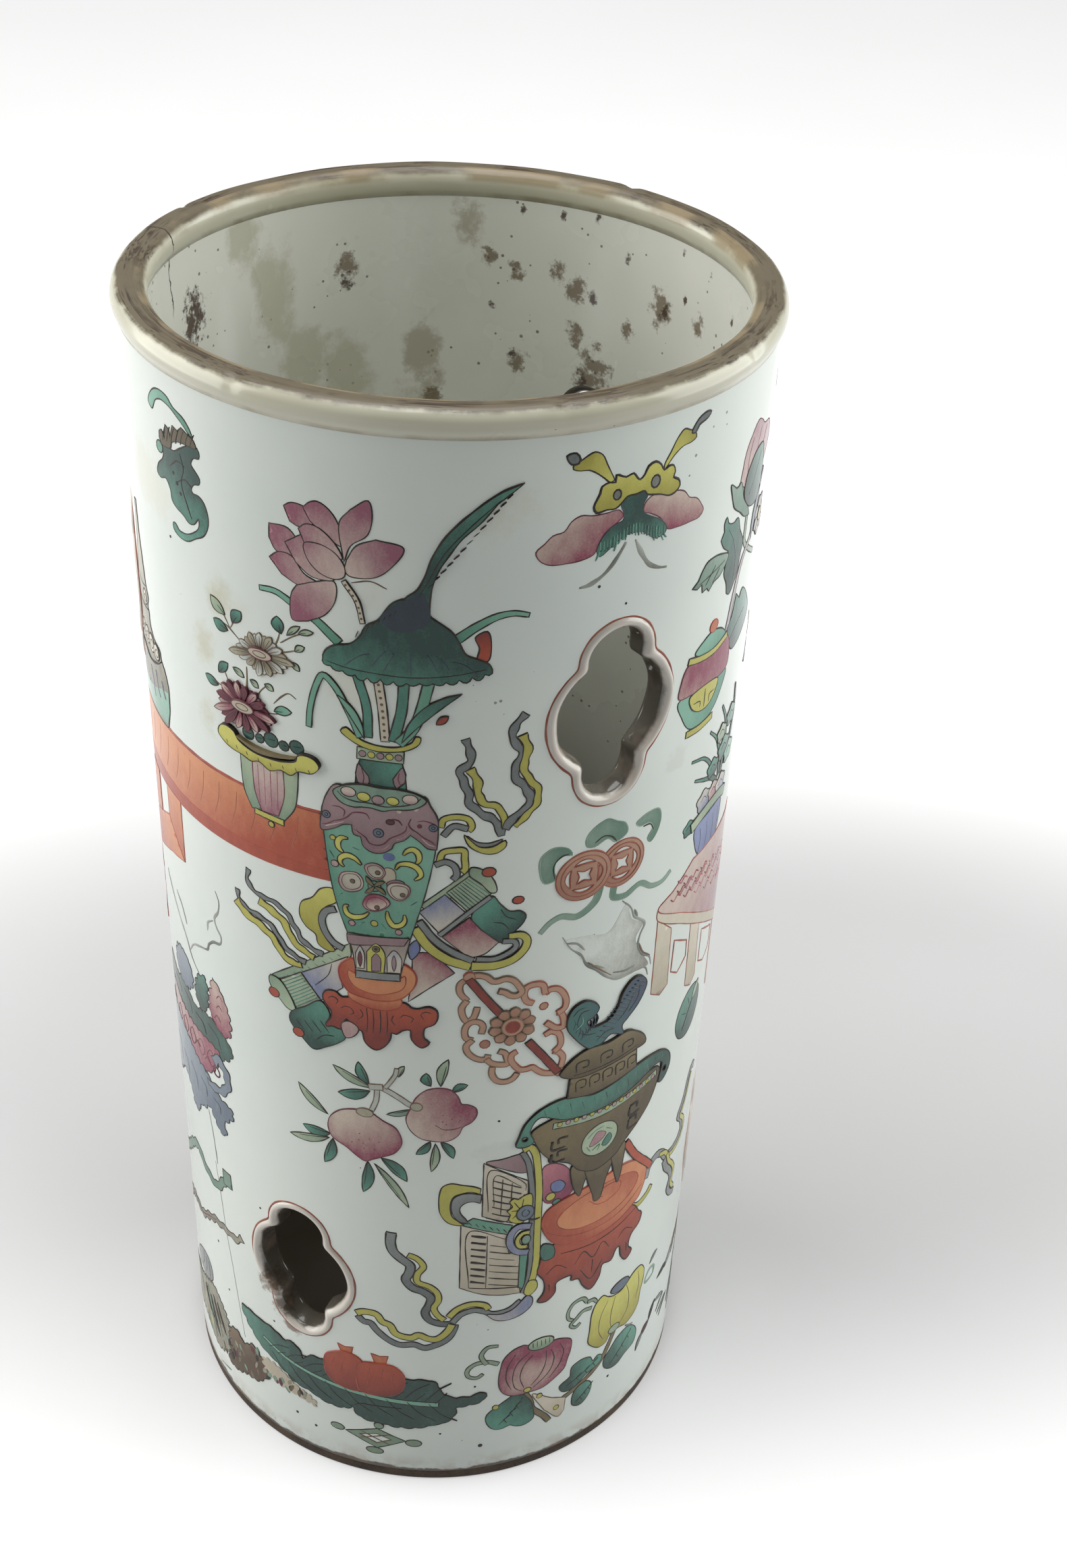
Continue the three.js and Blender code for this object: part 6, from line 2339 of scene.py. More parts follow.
class Lozenge(Motif):
    """An openwork lozenge of scrolls round a flower, crossed by a red rod."""

    name = "openwork_lozenge"
    heart = (15.0, 144.5)

    def paint(self, p: Painting) -> None:
        """Draws the curling bands, the knot and rings, the rod and then the flower."""
        bands = (
            [(4.8, 157.8), (3.9, 156.8), (3.9, 154.5), (5.4, 152.4)],
            [(5.4, 152.4), (4.3, 150.5), (4.6, 148.2), (5.5, 146.8), (6.6, 147.5), (7.2, 149), (7.5, 150.5)],
            [(8.5, 143.3), (8.8, 145.3), (8, 146.4), (6.6, 146.6), (5.5, 145.8), (5, 144), (5.4, 142.2),
             (6.7, 141.7)], [(6.7, 141.7), (5.4, 140.1), (5.8, 138.3), (7, 136.9), (8.6, 136.1),
                             (9.7, 136.2), (10.1, 137.3)],
            [(9.7, 136.2), (10.7, 135), (12.3, 134.3), (14.3, 134.2), (14.1, 135.9), (13.6, 137.3),
             (12.3, 138)],
            [(11.1, 133.8), (11, 131.9), (12, 129.9), (13.9, 129.2), (15.5, 129.7), (16.5, 131.1)],
            [(16.2, 137.2), (15.2, 136.6), (15, 135.2), (15.8, 133.5), (17.1, 132), (18.6, 131.8),
             (19.8, 132), (20.9, 130.9), (22.5, 129.6), (25.2, 128.8)],
            [(26.1, 129), (26.6, 131.2), (26.8, 132.8), (25.5, 134.7), (24.5, 135.1)],
            [(24.6, 135), (25.9, 136.3), (26, 138.1), (25.3, 139.9), (23.7, 140.9), (22.2, 140.3)],
            [(22.3, 143.7), (23.2, 142.9), (24.7, 141.6), (26.3, 141.4), (26.4, 143.4), (25.6, 145.4),
             (24.8, 145.6)], [(24.8, 145.6), (26.4, 146.5), (26.7, 148.5), (26, 150.5), (24.6, 152.2),
                              (22.7, 152.5), (21.8, 151.7)],
            [(21.8, 151.7), (21.2, 154.2), (19.3, 154.8), (17.7, 154.3), (17.2, 152.6), (17.8, 150.7),
             (19.2, 149.8)], [(6.4, 158.9), (7.7, 159), (9.3, 158.4), (10.5, 157.2), (11.6, 157.1),
                              (13.2, 157.5), (14.8, 156.8), (16, 155.1), (16.7, 153.5), (15.7, 152.6),
                              (14.3, 152.9), (13.1, 153.9), (11.8, 154.4)])
        for path in bands:
            p.fill(band(path, 1.3), TAN, depth=0.05, line=SEPIA if path[0][0] < 14 else IRON_INK)
        for points in ([(4.6, 159.2), (5.6, 160), (6.6, 159.6), (6.8, 158.4), (5.6, 157.9), (4.6, 158.3)],
                       [(25.2, 129.4), (26.4, 130), (27.2, 129.2), (26.8, 128), (25.6, 127.8)]):
            p.fill(blob(*points), TAN, depth=0.3, line=IRON_INK, width=0.34)
        p.fill(disc((21.7, 148.3), 0.95), TAN, depth=0.3, line=IRON_INK)
        p.fill(disc((9.3, 140.3), 1.1), TAN, depth=0.8, line=IRON_INK)
        for path in ([(5.6, 158.2), (9, 153), (12.4, 148.2)], [(18.6, 139.5), (22, 134.6), (25.9, 128.8)]):
            p.fill(band(path, 1.7), RUST, depth=0.95, width=0.32)
        u, z = self.heart
        for i in range(10):
            angle = 2 * math.pi * i / 10 + 0.2
            tip = (u + 5.1 * math.cos(angle), z + 5.0 * math.sin(angle))
            base = (u + 2.0 * math.cos(angle), z + 2.0 * math.sin(angle))
            p.fill(petal(base, tip, 2.3, 0, 0.7), TAN,
                   wash=((tip[0] * 1.5 - u * 0.5, tip[1] * 1.5 - z * 0.5), base), line=SEPIA, width=0.4)
        p.fill(disc(self.heart, 2.4), TAN, depth=0.2, line=SEPIA, width=0.4)
        p.fill(disc(self.heart, 1.55), RUST, depth=0.8, line=IRON_INK)


class Censer(Motif):
    """An old bronze censer with a bird on its lid, standing on a round iron-red stand."""

    name = "censer"

    def paint(self, p: Painting) -> None:
        """Draws the stand, the legs, the body, the rim, the lid and the bird."""
        self.stand(p)
        self.body(p)
        self.lid(p)
        self.bird(p)

    @staticmethod
    def stand(p: Painting) -> None:
        """Draws the carved apron and the two rings of the stand."""
        p.fill(blob((24, 70), (23.8, 68), (25.5, 65), (25.8, 61), (24.3, 58.3), (26.5, 57.6), (28.7, 59.5),
                    (29, 62.8), (33, 63.2), (33, 61.5), (35, 61), (36.5, 58), (39, 55.2), (41.5, 58),
                    (42.3, 61.5), (45, 61), (46.5, 63.8), (47.5, 64), (48.5, 60), (50.5, 57.5), (52.5, 59.2),
                    (51, 61.5), (51.8, 65), (54.5, 66.8), (55.2, 69.5), (54, 71), (51, 75), (38, 77),
                    (26, 75)), RUST, wash=((38, 80), (40, 56)), rim=0.25, width=0.5)
        for path in ([(26, 66.6), (28.6, 68.6), (31.6, 66.4)],
                     [(33.6, 66.4), (36, 69.4), (39, 66), (41.6, 69.4), (44, 66.2)],
                     [(46.6, 67), (49, 68.8), (52, 66.8)], [(35.4, 63.6), (38.8, 59), (42, 63.4)],
                     [(27, 63), (27.2, 60.4)], [(50, 63.4), (50.2, 60.6)], [(38.9, 65.2), (38.9, 61)],
                     [(29.6, 72), (38, 70.8), (46, 71.4), (52.4, 73.2)]):
            p.line(*path, width=0.42)
        p.fill(blob((24.8, 77), (27.5, 75.5), (27.7, 72), (25.5, 71.5), (24.2, 74)), LEAF, depth=0.6)
        p.fill(blob((24.3, 83), (25, 87), (28, 89), (31, 89.8), (38, 90.6), (46, 91.2), (50, 90),
                    (53.5, 87.5), (55, 85), (54.8, 80), (53, 76.5), (51, 75.5), (46, 73.5), (38, 73),
                    (31, 74.5), (27, 77)), IRON, wash=((50, 90), (34, 74)), line=RUST, width=0.5, rim=0.1)
        p.fill(disc((40, 83.2), 12, 0.46, 2), IRON, wash=((34, 78), (46, 94)), line=RUST, width=0.4)
        p.stroke(smooth([(36.4, 85.6), (38.6, 83.4), (42, 82.8), (45.4, 84.2), (45.8, 86.4), (42.8, 87.6),
                         (39.4, 87.2), (38.4, 85.8), (40.4, 84.8)]), 0.4, RUST)
        p.line((25.6, 80.5), (31, 77.2), (39, 75.6), (47, 76.4), (53.8, 80), width=0.4, enamel=RUST)
        p.fill(band([(46.5, 98), (50, 92), (55, 86), (57, 83.5)], 1.9), RUST, depth=0.2)

    @staticmethod
    def body(p: Painting) -> None:
        """Draws the legs, the bowl with its round panel, and the teal rim."""
        for leg in ([(31, 99), (31.2, 94), (32.6, 89.8), (33.4, 88.8), (34.4, 92), (35.6, 98)],
                    [(34.7, 97), (35.6, 92), (37.2, 87), (37.8, 84.8), (39.2, 84.8), (40.6, 90), (42.3, 97)],
                    [(45.7, 99), (45.8, 93), (45.2, 88.4), (44.5, 86.8), (43.8, 88.6), (42.8, 92.4),
                     (42, 98)]):
            p.fill(blob(*leg), BROWN, wash=((leg[0][0], 102), (leg[0][0], 92)))
        p.fill(blob((20.5, 113), (21.5, 109.5), (23.5, 105.5), (26.5, 102.5), (30, 100.5), (33, 97),
                    (37.5, 95), (43, 96.6), (45.5, 99), (50, 102.5), (53.5, 106), (55.5, 110), (56, 114.6),
                    (48, 116), (38, 115), (28, 116)), BROWN, wash=((30, 118), (44, 102)), rim=0.3, width=0.4)
        for u, side in ((27.4, 1), (48.4, -1)):
            for z in (103.6, 107.4):
                p.line((u - 1.9, z + 1.4), (u - 1.9, z - 1.2), (u + 1.4, z - 1.2), width=1.1, fade=0.1)
                p.line((u + 1.9 * side, z + 1.6), (u - 0.4 * side, z + 1.6), (u - 0.4 * side, z + 0.2),
                       width=1.1, fade=0.1)
        p.fill(disc((38, 104.2), 5, 0.92), CELADON, depth=0.2, width=0.4)
        p.fill(blob((35.2, 103), (37.2, 106.6), (39.6, 105.2), (38.2, 103.6)), PINK, depth=0.7, width=0.24)
        p.fill(blob((38.6, 102), (40.6, 104.6), (41.4, 102.8), (39.8, 101.2)), LEAF, width=0.24)
        for path in ([(34.6, 105.8), (36.4, 107.2), (39, 107.6)], [(36, 101.6), (38, 102.6), (37.4, 101)],
                     [(39.6, 106.6), (41.4, 105.4)], [(34.4, 103.4), (35.4, 101.6)]):
            p.line(*path, width=0.3, enamel=LEAF)
        p.fill(band([(25.4, 113.4), (31, 112.6), (38, 112), (46, 112.6), (55, 113.8)], 1.7), CELADON,
               depth=0.5, width=0.34)
        for i in range(14):
            u = 27 + i * 2.05
            p.fill(disc((u, 112.9 - 0.045 * (11 - abs(u - 40.5)) + 0.35), 0.62), PINK if i % 2 else YELLOW,
                   depth=0.6, width=0.22)
        rim = [(17.5, 112), (19, 116), (22, 119), (26, 120.5), (30, 120.3), (35, 118.8), (42, 119.5),
               (47, 120.5), (52, 120.5), (56, 119.5), (59, 117.5), (60.5, 114.5), (60, 111.5), (58, 109.6),
               (56.3, 109.9), (57, 115.5), (54, 116.5), (48, 115), (42, 113.8), (35, 113.5), (28, 114.5),
               (22, 117), (20, 113.6), (21, 110.3), (19.5, 109.3), (17, 109.8)]
        p.fill(blob(*rim), LEAF, wash=((30, 124), (40, 106)), rim=0.1, width=0.4,
               holes=[disc((58.2, 112.8), 0.75, 1.2), disc((18.9, 111.6), 0.7)])
        for i in range(11):
            u = 23 + i * 3.1
            p.line((u, 118.8 - (0.9 if 31 < u < 42 else 0)),
                   (u + 0.9, 116.4 - (1.2 if 27 < u < 48 else 0.2)), enamel=LEAF)

    @staticmethod
    def lid(p: Painting) -> None:
        """Draws the waisted neck and the domed lid, both with key frets."""
        p.fill(loop([(28.8, 125.8)], [(28.4, 120.4)], [(35, 119.2), (42, 119.8), (47.2, 120.6)],
                    [(46.8, 125.8)]), BROWN, wash=((38, 126), (38, 119)))
        for i in range(5):
            u = 30.4 + i * 3.5
            p.line((u, 121.6), (u, 124.4), (u + 2.2, 124.4), (u + 2.2, 122.4), (u + 1.0, 122.4), width=0.52,
                   fade=0.1)
        p.fill(blob((26.2, 128), (29.5, 131.5), (33, 132.8), (38, 132.3), (43.5, 132.8), (46.5, 131),
                    (49, 128.5), (49.5, 126.3), (46, 126), (38, 125.5), (31, 125.5), (27, 127)), BROWN,
               wash=((38, 134), (38, 126)), width=0.4)
        for u in (30.4, 36.6, 42.6):
            p.line((u - 0.2, 127.3), (u - 0.2, 129.7), (u + 2.6, 129.7), (u + 2.6, 128.1), (u + 1.2, 128.1),
                   width=0.6, fade=0.1)
        p.line((29.5, 126.6), (38, 126.3), (47, 127), width=0.3)

    @staticmethod
    def bird(p: Painting) -> None:
        """Draws the bird whose curled tail rises behind the lid."""
        p.fill(blob((32, 141), (33.5, 141.5), (34.8, 143.5), (33.5, 145.5), (31, 146.7), (28.5, 145.7),
                    (27.2, 143), (27.5, 140), (29, 137.5), (31, 134.8), (33, 133), (34.5, 133), (36, 133),
                    (38.5, 134.5), (42, 133), (41.5, 135.5), (43, 136.8), (45.5, 139), (47.3, 141.5),
                    (48, 144), (47, 146), (45, 147.2), (43, 146.8), (41, 144.5), (40, 141.5), (38.5, 139.3),
                    (36, 138.5), (33, 138.8)), SLATE_BLUE, wash=((30, 140), (45, 145)), rim=0.1, width=0.4)
        for path in ([(29.4, 141), (30.4, 143.8), (32.4, 144)], [(30, 138.6), (32, 137.2), (34.4, 136.8)],
                     [(40, 137.4), (42.4, 139.6), (44, 143)], [(43, 138.6), (45.4, 141.4), (45.8, 144.6)],
                     [(34.6, 134.4), (37, 136), (39.4, 135.8)], [(28.4, 143.6), (29.8, 145), (31.4, 145)]):
            p.line(*path, width=0.34)
        for i in range(15):
            share = i / 14
            u, z = 36 + 10.2 * share, 134.8 + 10.4 * share**0.8
            p.line((u - 1.4, z + 0.9), (u, z + 0.2), (u + 1.5, z - 1.0), width=0.34, enamel=BLUE_BLACK)
        for i in range(9):
            u, z = 28.6 + 0.7 * i, 137.2 + abs(i - 3) * 0.9 - i * 0.3
            p.line((u, z), (u + 0.5, z + 1.4), (u + 0.2, z + 2.6), width=0.32, enamel=BLUE_BLACK)
        p.line((29, 139.4), (30.8, 141), (30.6, 142.8), width=0.6, enamel=TEAL)


class Books(Motif):
    """A bundle of books in cloth cases, tied with knotted ribbons."""

    name = "books"

    def paint(self, p: Painting) -> None:
        """Draws the two cases, the rolled scroll, the straps and the knots."""
        self.upper(p)
        self.lower(p)
        self.straps(p)
        self.knots(p)

    @staticmethod
    def upper(p: Painting) -> None:
        """Draws the upper case with its lattice and the rolled scroll beside it."""
        p.fill(blob((24, 101.5), (26, 101.8), (29, 100), (31, 97), (31.8, 94), (31.5, 91), (29, 89.5),
                    (25, 90), (23.4, 95)), MAGENTA, wash=((24, 100), (30, 92)), line=PLUM)
        p.fill(blob((26, 95.6), (28, 96), (29.6, 94), (28.6, 92.4), (26.4, 93)), BLUE, depth=0.5)
        p.fill(disc((26, 91.6), 1.2), YELLOW)
        p.fill(disc((27.6, 89.4), 1.1, 0.8), LEAF)
        p.fill(loop([(20.3, 98.5)], [(20.5, 93)], [(17, 86.3)], [(10, 89.8)], [(10, 106)]), CREAM,
               wash=((12, 104), (17, 88)))
        p.line((11.3, 91), (11.6, 103.6), (19.8, 97.6), (19.8, 95.6), width=0.4)
        p.line((12.6, 92.4), (12.8, 101.8), (18.8, 97.2), width=0.3)
        p.line((10.8, 89.2), (15.8, 87.2), (19.6, 94.6), width=0.4)
        for u in (14.4, 16.6):
            p.line((u, 101.4 - (u - 13) * 0.72), (u - 0.2, 89.6 - (u - 13) * 0.3), width=0.38)
        for i in range(6):
            z = 100.4 - i * 2.0
            p.line((12.2, z), (14.3, z - 1.1), (18.8, z - 3.6 + i * 0.2), width=0.5 if i % 2 else 0.4,
                   fade=0.2)
        p.fill(blob((10.5, 106.2), (14, 106.5), (18.5, 107), (20, 104.5), (20.3, 101.5), (19, 101.3),
                    (14.6, 103.4)), MAUVE, wash=((12, 107), (20, 102)))

    @staticmethod
    def lower(p: Painting) -> None:
        """Draws the lower case with its rungs."""
        p.fill(loop([(5.3, 87.6)], [(5.3, 67.5)], [(10, 65), (14.6, 63.6), (19.7, 63)], [(19.5, 75.5)],
                    [(16.5, 77)], [(16, 83)]), CREAM, wash=((7, 86), (18, 66)))
        p.line((7.4, 67.3), (7.4, 85.4), (16, 81.4), width=0.4)
        p.line((7.4, 67.3), (12, 66.4), (19.8, 65), width=0.5)
        p.line((11.4, 83.4), (11.4, 66.6), width=0.34)
        for i in range(8):
            z = 83.6 - i * 2.1
            p.line((7.7, z + 0.4), (11.1, z - 0.6), width=0.85, fade=0.15)
        for i in range(7):
            z = 80.4 - i * 2.1
            p.line((12, z), (15.8 + min(i, 3) * 1.1, z - 1.4 - min(i, 3) * 0.3), width=0.34 + 0.16 * (i % 2),
                   fade=0.4)
        p.fill(loop([(8, 89.5)], [(5.3, 87.6)], [(16, 83)], [(17.1, 85.6)]), TEAL, depth=0.6)
        for i in range(6):
            p.line((7 + i * 1.6, 88.4 - i * 0.7), (7.8 + i * 1.6, 87.2 - i * 0.7), width=0.3)

    @staticmethod
    def straps(p: Painting) -> None:
        """Draws the upright straps in teal, yellow and slate."""
        p.fill(loop([(19.2, 77.2)], [(19.2, 65)], [(20.6, 64)], [(21.2, 77.2)]), TEAL, depth=0.9, width=0.34)
        p.fill(band([(18.6, 107.6), (20, 104.4), (20.8, 100), (21.4, 95), (21.7, 88), (21.9, 78), (21.9, 71),
                     (21.4, 66), (20.4, 62.8)], 1.3), SLATE, depth=0.6, width=0.34)
        p.fill(band([(18.7, 108.2), (20.4, 108.6), (21.6, 106.6), (22.4, 102), (23, 95), (23.1, 88),
                     (23.2, 80), (23.3, 73), (22.8, 67.6), (22.3, 65.6)], 1.7), YELLOW, depth=0.45,
               width=0.34)
        p.fill(blob((20.7, 62.5), (21.8, 66.3), (23.5, 65.9), (23.9, 63.3), (22, 61.4)), YELLOW)

    @staticmethod
    def knots(p: Painting) -> None:
        """Draws the loops, the flower and the spiral of the ribbon."""
        p.fill(loop(smooth([(9.5, 98.4), (8, 99.2), (5.4, 99.9), (2.9, 100.5), (1.1, 99.6), (0.4, 97.2),
                            (0.3, 94), (0.7, 91.1), (2.3, 88.6), (4.6, 87.6), (5.9, 87.6)]),
                    smooth([(4.4, 89.1), (3.3, 90.3), (2.8, 92.5), (2.9, 95), (3.7, 96.7), (5.5, 97.5),
                            (7.5, 97.7), (9.3, 96.9)])), YELLOW, depth=0.45)
        p.fill(loop(smooth([(9.6, 96.6), (7.5, 97.2), (5.5, 97.2), (3.7, 96.2), (3, 93.9), (3.4, 91.1),
                            (4.9, 88.8), (7, 87.9)]),
                    smooth([(6.3, 89.4), (5.1, 91.3), (5, 93.1), (6.1, 94.4), (7.9, 94.7), (9.5, 94)])),
               SLATE, wash=((3, 96), (9, 90)))
        p.fill(blob((21.1, 94.4), (19.5, 94.2), (18.1, 93.4), (17.2, 93.9), (16.2, 93.1), (16.9, 91.4),
                    (15.7, 90.3), (16.5, 89.1), (16.1, 87.6), (17.6, 86.2), (19.5, 86), (20.6, 88),
                    (21.6, 91)), YELLOW, depth=0.45)
        for tip in ((17.2, 92.8), (16.7, 90.2), (17, 87.8), (19.4, 93.2)):
            p.line((19, 89.8), tip, width=0.32)
        p.fill(disc((20, 88.8), 2.1, 1.1), STEEL, depth=0.8, width=0.5)
        p.stroke(smooth([(20, 90), (19.2, 89.2), (19.4, 88), (20.4, 87.8), (21, 88.8), (20.4, 89.6)]), 0.4,
                 INK)
        p.line((20.6, 86.8), (22, 86), (23.6, 86.2), width=0.7)
        p.fill(band([(21.5, 84.2), (18.4, 84.7), (16.8, 82.6), (16.8, 79.4), (18.4, 77), (21.2, 76)], 1.7),
               LAVENDER, depth=0.9)
        p.fill(band([(21.3, 82.4), (19.5, 82.4), (18.4, 80.6), (19, 78.5), (20.8, 78)], 1.1), YELLOW,
               depth=0.45, width=0.34)
        p.fill(disc((20.5, 80.3), 1.1, 1.3), SAGE, depth=0.5, width=0.34)


class LongRibbon(Motif):
    """The long two-coloured ribbon that trails below the books."""

    name = "long_ribbon"

    def paint(self, p: Painting) -> None:
        """Draws the hanging end, the low waves and the humps on the right."""
        p.fill(band([(-10.3, 84.5), (-10.5, 81), (-9.8, 78.5), (-8, 76.5), (-6, 74.5), (-6.3, 72), (-7, 70),
                     (-5.5, 67.5), (-3, 66.3), (-1.3, 64.5), (-1.5, 62), (-2.5, 59.5), (-1.5, 57), (1, 55.8),
                     (3.5, 55.5)], 2.3, 1.7), SLATE, wash=((-2, 90), (-4, 60)), width=0.45)
        p.fill(band([(-6.5, 78), (-4.5, 77), (-3, 74.5), (-4.3, 72), (-4.3, 69.5), (-1.5, 68), (0.2, 66),
                     (0.5, 63.5), (-0.5, 61), (0.5, 58.5), (2, 57)], 1.5), YELLOW, depth=0.45)
        p.fill(band([(-18.5, 55.5), (-17, 54), (-15.5, 54), (-14, 52), (-11.5, 49.5), (-8.5, 48), (-5, 48.5),
                     (-2.5, 47.5), (0, 48.5), (2.5, 50.3), (4, 53), (4.5, 55.3)], 1.7), SLATE, depth=0.7)
        p.fill(band([(-18.8, 56.3), (-17, 57.3), (-14, 57.2), (-12.5, 55), (-10.8, 54.3), (-9.5, 51.8),
                     (-8, 51), (-5.5, 50.8), (-4, 51.8), (-2, 50.8), (0, 50.5), (1.5, 51.5), (3, 53.5),
                     (3.8, 55.5)], 1.8), YELLOW, depth=0.45, width=0.38)
        p.fill(band([(3.8, 56), (6, 58.8), (9, 59.7), (11.5, 58.8), (13, 57.8), (17, 58), (20, 60.3)], 1.5),
               SLATE, depth=0.5)
        p.fill(band([(3, 58), (5, 60.5), (8, 61.8), (11.3, 61), (12.3, 59.5)], 1.6), YELLOW, depth=0.45)
        p.fill(blob((12, 57.8), (14, 55.5), (17, 54.8), (20.5, 55.8), (22.8, 58), (22.8, 60.5), (21.5, 61.5),
                    (20.5, 60.5), (18, 58), (15, 57.2)), LAVENDER, wash=((8, 54), (22, 60)))


class Peaches(Motif):
    """A sprig of two rosy peaches with pointed leaves."""

    name = "peaches"

    def paint(self, p: Painting) -> None:
        """Draws the leaves, the stems and the fruit."""
        for base, tip, width, enamel in (
                ((-14.3, 127), (-23, 131.2), 2.2, CELADON), ((-15, 127.8), (-17.3, 133.6), 2.2, LEAF),
                ((-14.8, 126), (-21.9, 123.8), 2.8, LEAF), ((-4.8, 122.3), (-11.2, 120), 1.5, SAGE),
                ((-24.5, 116.5), (-31.5, 123), 2.2, CELADON), ((-24, 111), (-30.7, 111.1), 2.8, LEAF),
                ((-24.3, 109.7), (-34.2, 107), 2.2, CELADON), ((-23.5, 109.7), (-25.6, 102), 2.5, LEAF),
                ((-15.5, 105.3), (-16.6, 95.8), 2.6, LEAF), ((-12.5, 107), (-6.8, 100.8), 2.8, LEAF),
                ((-14, 105), (-6.3, 92.8), 1.9, CELADON), ((-1.8, 129), (-2.8, 132.6), 2.2, LEAF),
                ((0.3, 129), (1.8, 136.5), 2.2, CELADON), ((2.8, 127.3), (6, 129.2), 1.9, LEAF),
                ((-1.8, 113), (-4.8, 109.1), 1.9, LEAF), ((-0.7, 112.5), (-1.5, 104.1), 1.9, CELADON),
                ((0.5, 113), (3.3, 108.1), 2.0, LEAF), ((-8.6, 131), (-7.4, 134.2), 1.3, CELADON)):
            p.fill(petal(base, tip, width, width * 0.25), enamel, wash=(tip, base))
            p.line(base, ((base[0] + tip[0] * 3) / 4, (base[1] + tip[1] * 3) / 4), width=0.26)
        for path, width in (([(-14.5, 120.5), (-13.5, 123.5), (-13.2, 127)], 1.1),
                            ([(-12.5, 127.5), (-10.5, 126.5), (-8.3, 125), (-6, 123.3), (-4.5, 122.8)], 1.3),
                            ([(-11.5, 127.5), (-10.3, 129.5), (-9.3, 131.5), (-9, 133.3)], 0.9),
                            ([(-15, 127.2), (-12, 127.6)], 1.5)):
            p.fill(band(path, width), MIST, depth=0.5, line=SEPIA, width=0.3)
        p.fill(blob((-15, 120), (-18, 120), (-21.5, 118.8), (-24, 116), (-24.5, 113), (-23.5, 110.3),
                    (-20.5, 108.5), (-18, 106.5), (-16, 105.3), (-14.5, 106.2), (-12, 107.5), (-9.5, 109),
                    (-8, 111.5), (-8.2, 114), (-9.3, 116.3), (-12, 118)), ROSE,
               wash=((-18, 118), (-13.5, 106.8)), line=PLUM, rim=0.25)
        p.fill(blob((0, 128.5), (-2.8, 127.8), (-5, 125.3), (-6, 122.5), (-7, 119.5), (-6.3, 116.5),
                    (-4, 114), (-1.5, 113.3), (2, 113.3), (4.3, 115), (5.2, 117.3), (7, 118.5), (8.1, 120.5),
                    (7.8, 122.5), (6, 123.7), (4.8, 123.8), (4, 126), (2.3, 128)), ROSE,
               wash=((-6.5, 115), (7, 122)), line=PLUM)
        p.line((-0.5, 117.8), (1, 116.7), (3.5, 116.8), (5, 117.5), width=0.34, enamel=PLUM)
        for i in range(9):
            angle = 2.4 * i
            away = 1.1 * math.sqrt(i)
            p.fill(disc((-16.4 + away * math.cos(angle) * 1.2, 110.6 + away * math.sin(angle)), 0.17),
                   MAGENTA, depth=0.9, line=None)
            p.fill(disc((1.6 + away * math.cos(angle), 118.2 + away * math.sin(angle)), 0.17), MAGENTA,
                   depth=0.9, line=None)
        p.fill(disc((-16, 119.6), 1.9, 0.62), STRAW, depth=0.3, line=SEPIA, width=0.34)
        p.fill(disc((-4.8, 123), 1.3, 0.9), STRAW, depth=0.3, line=SEPIA, width=0.34)


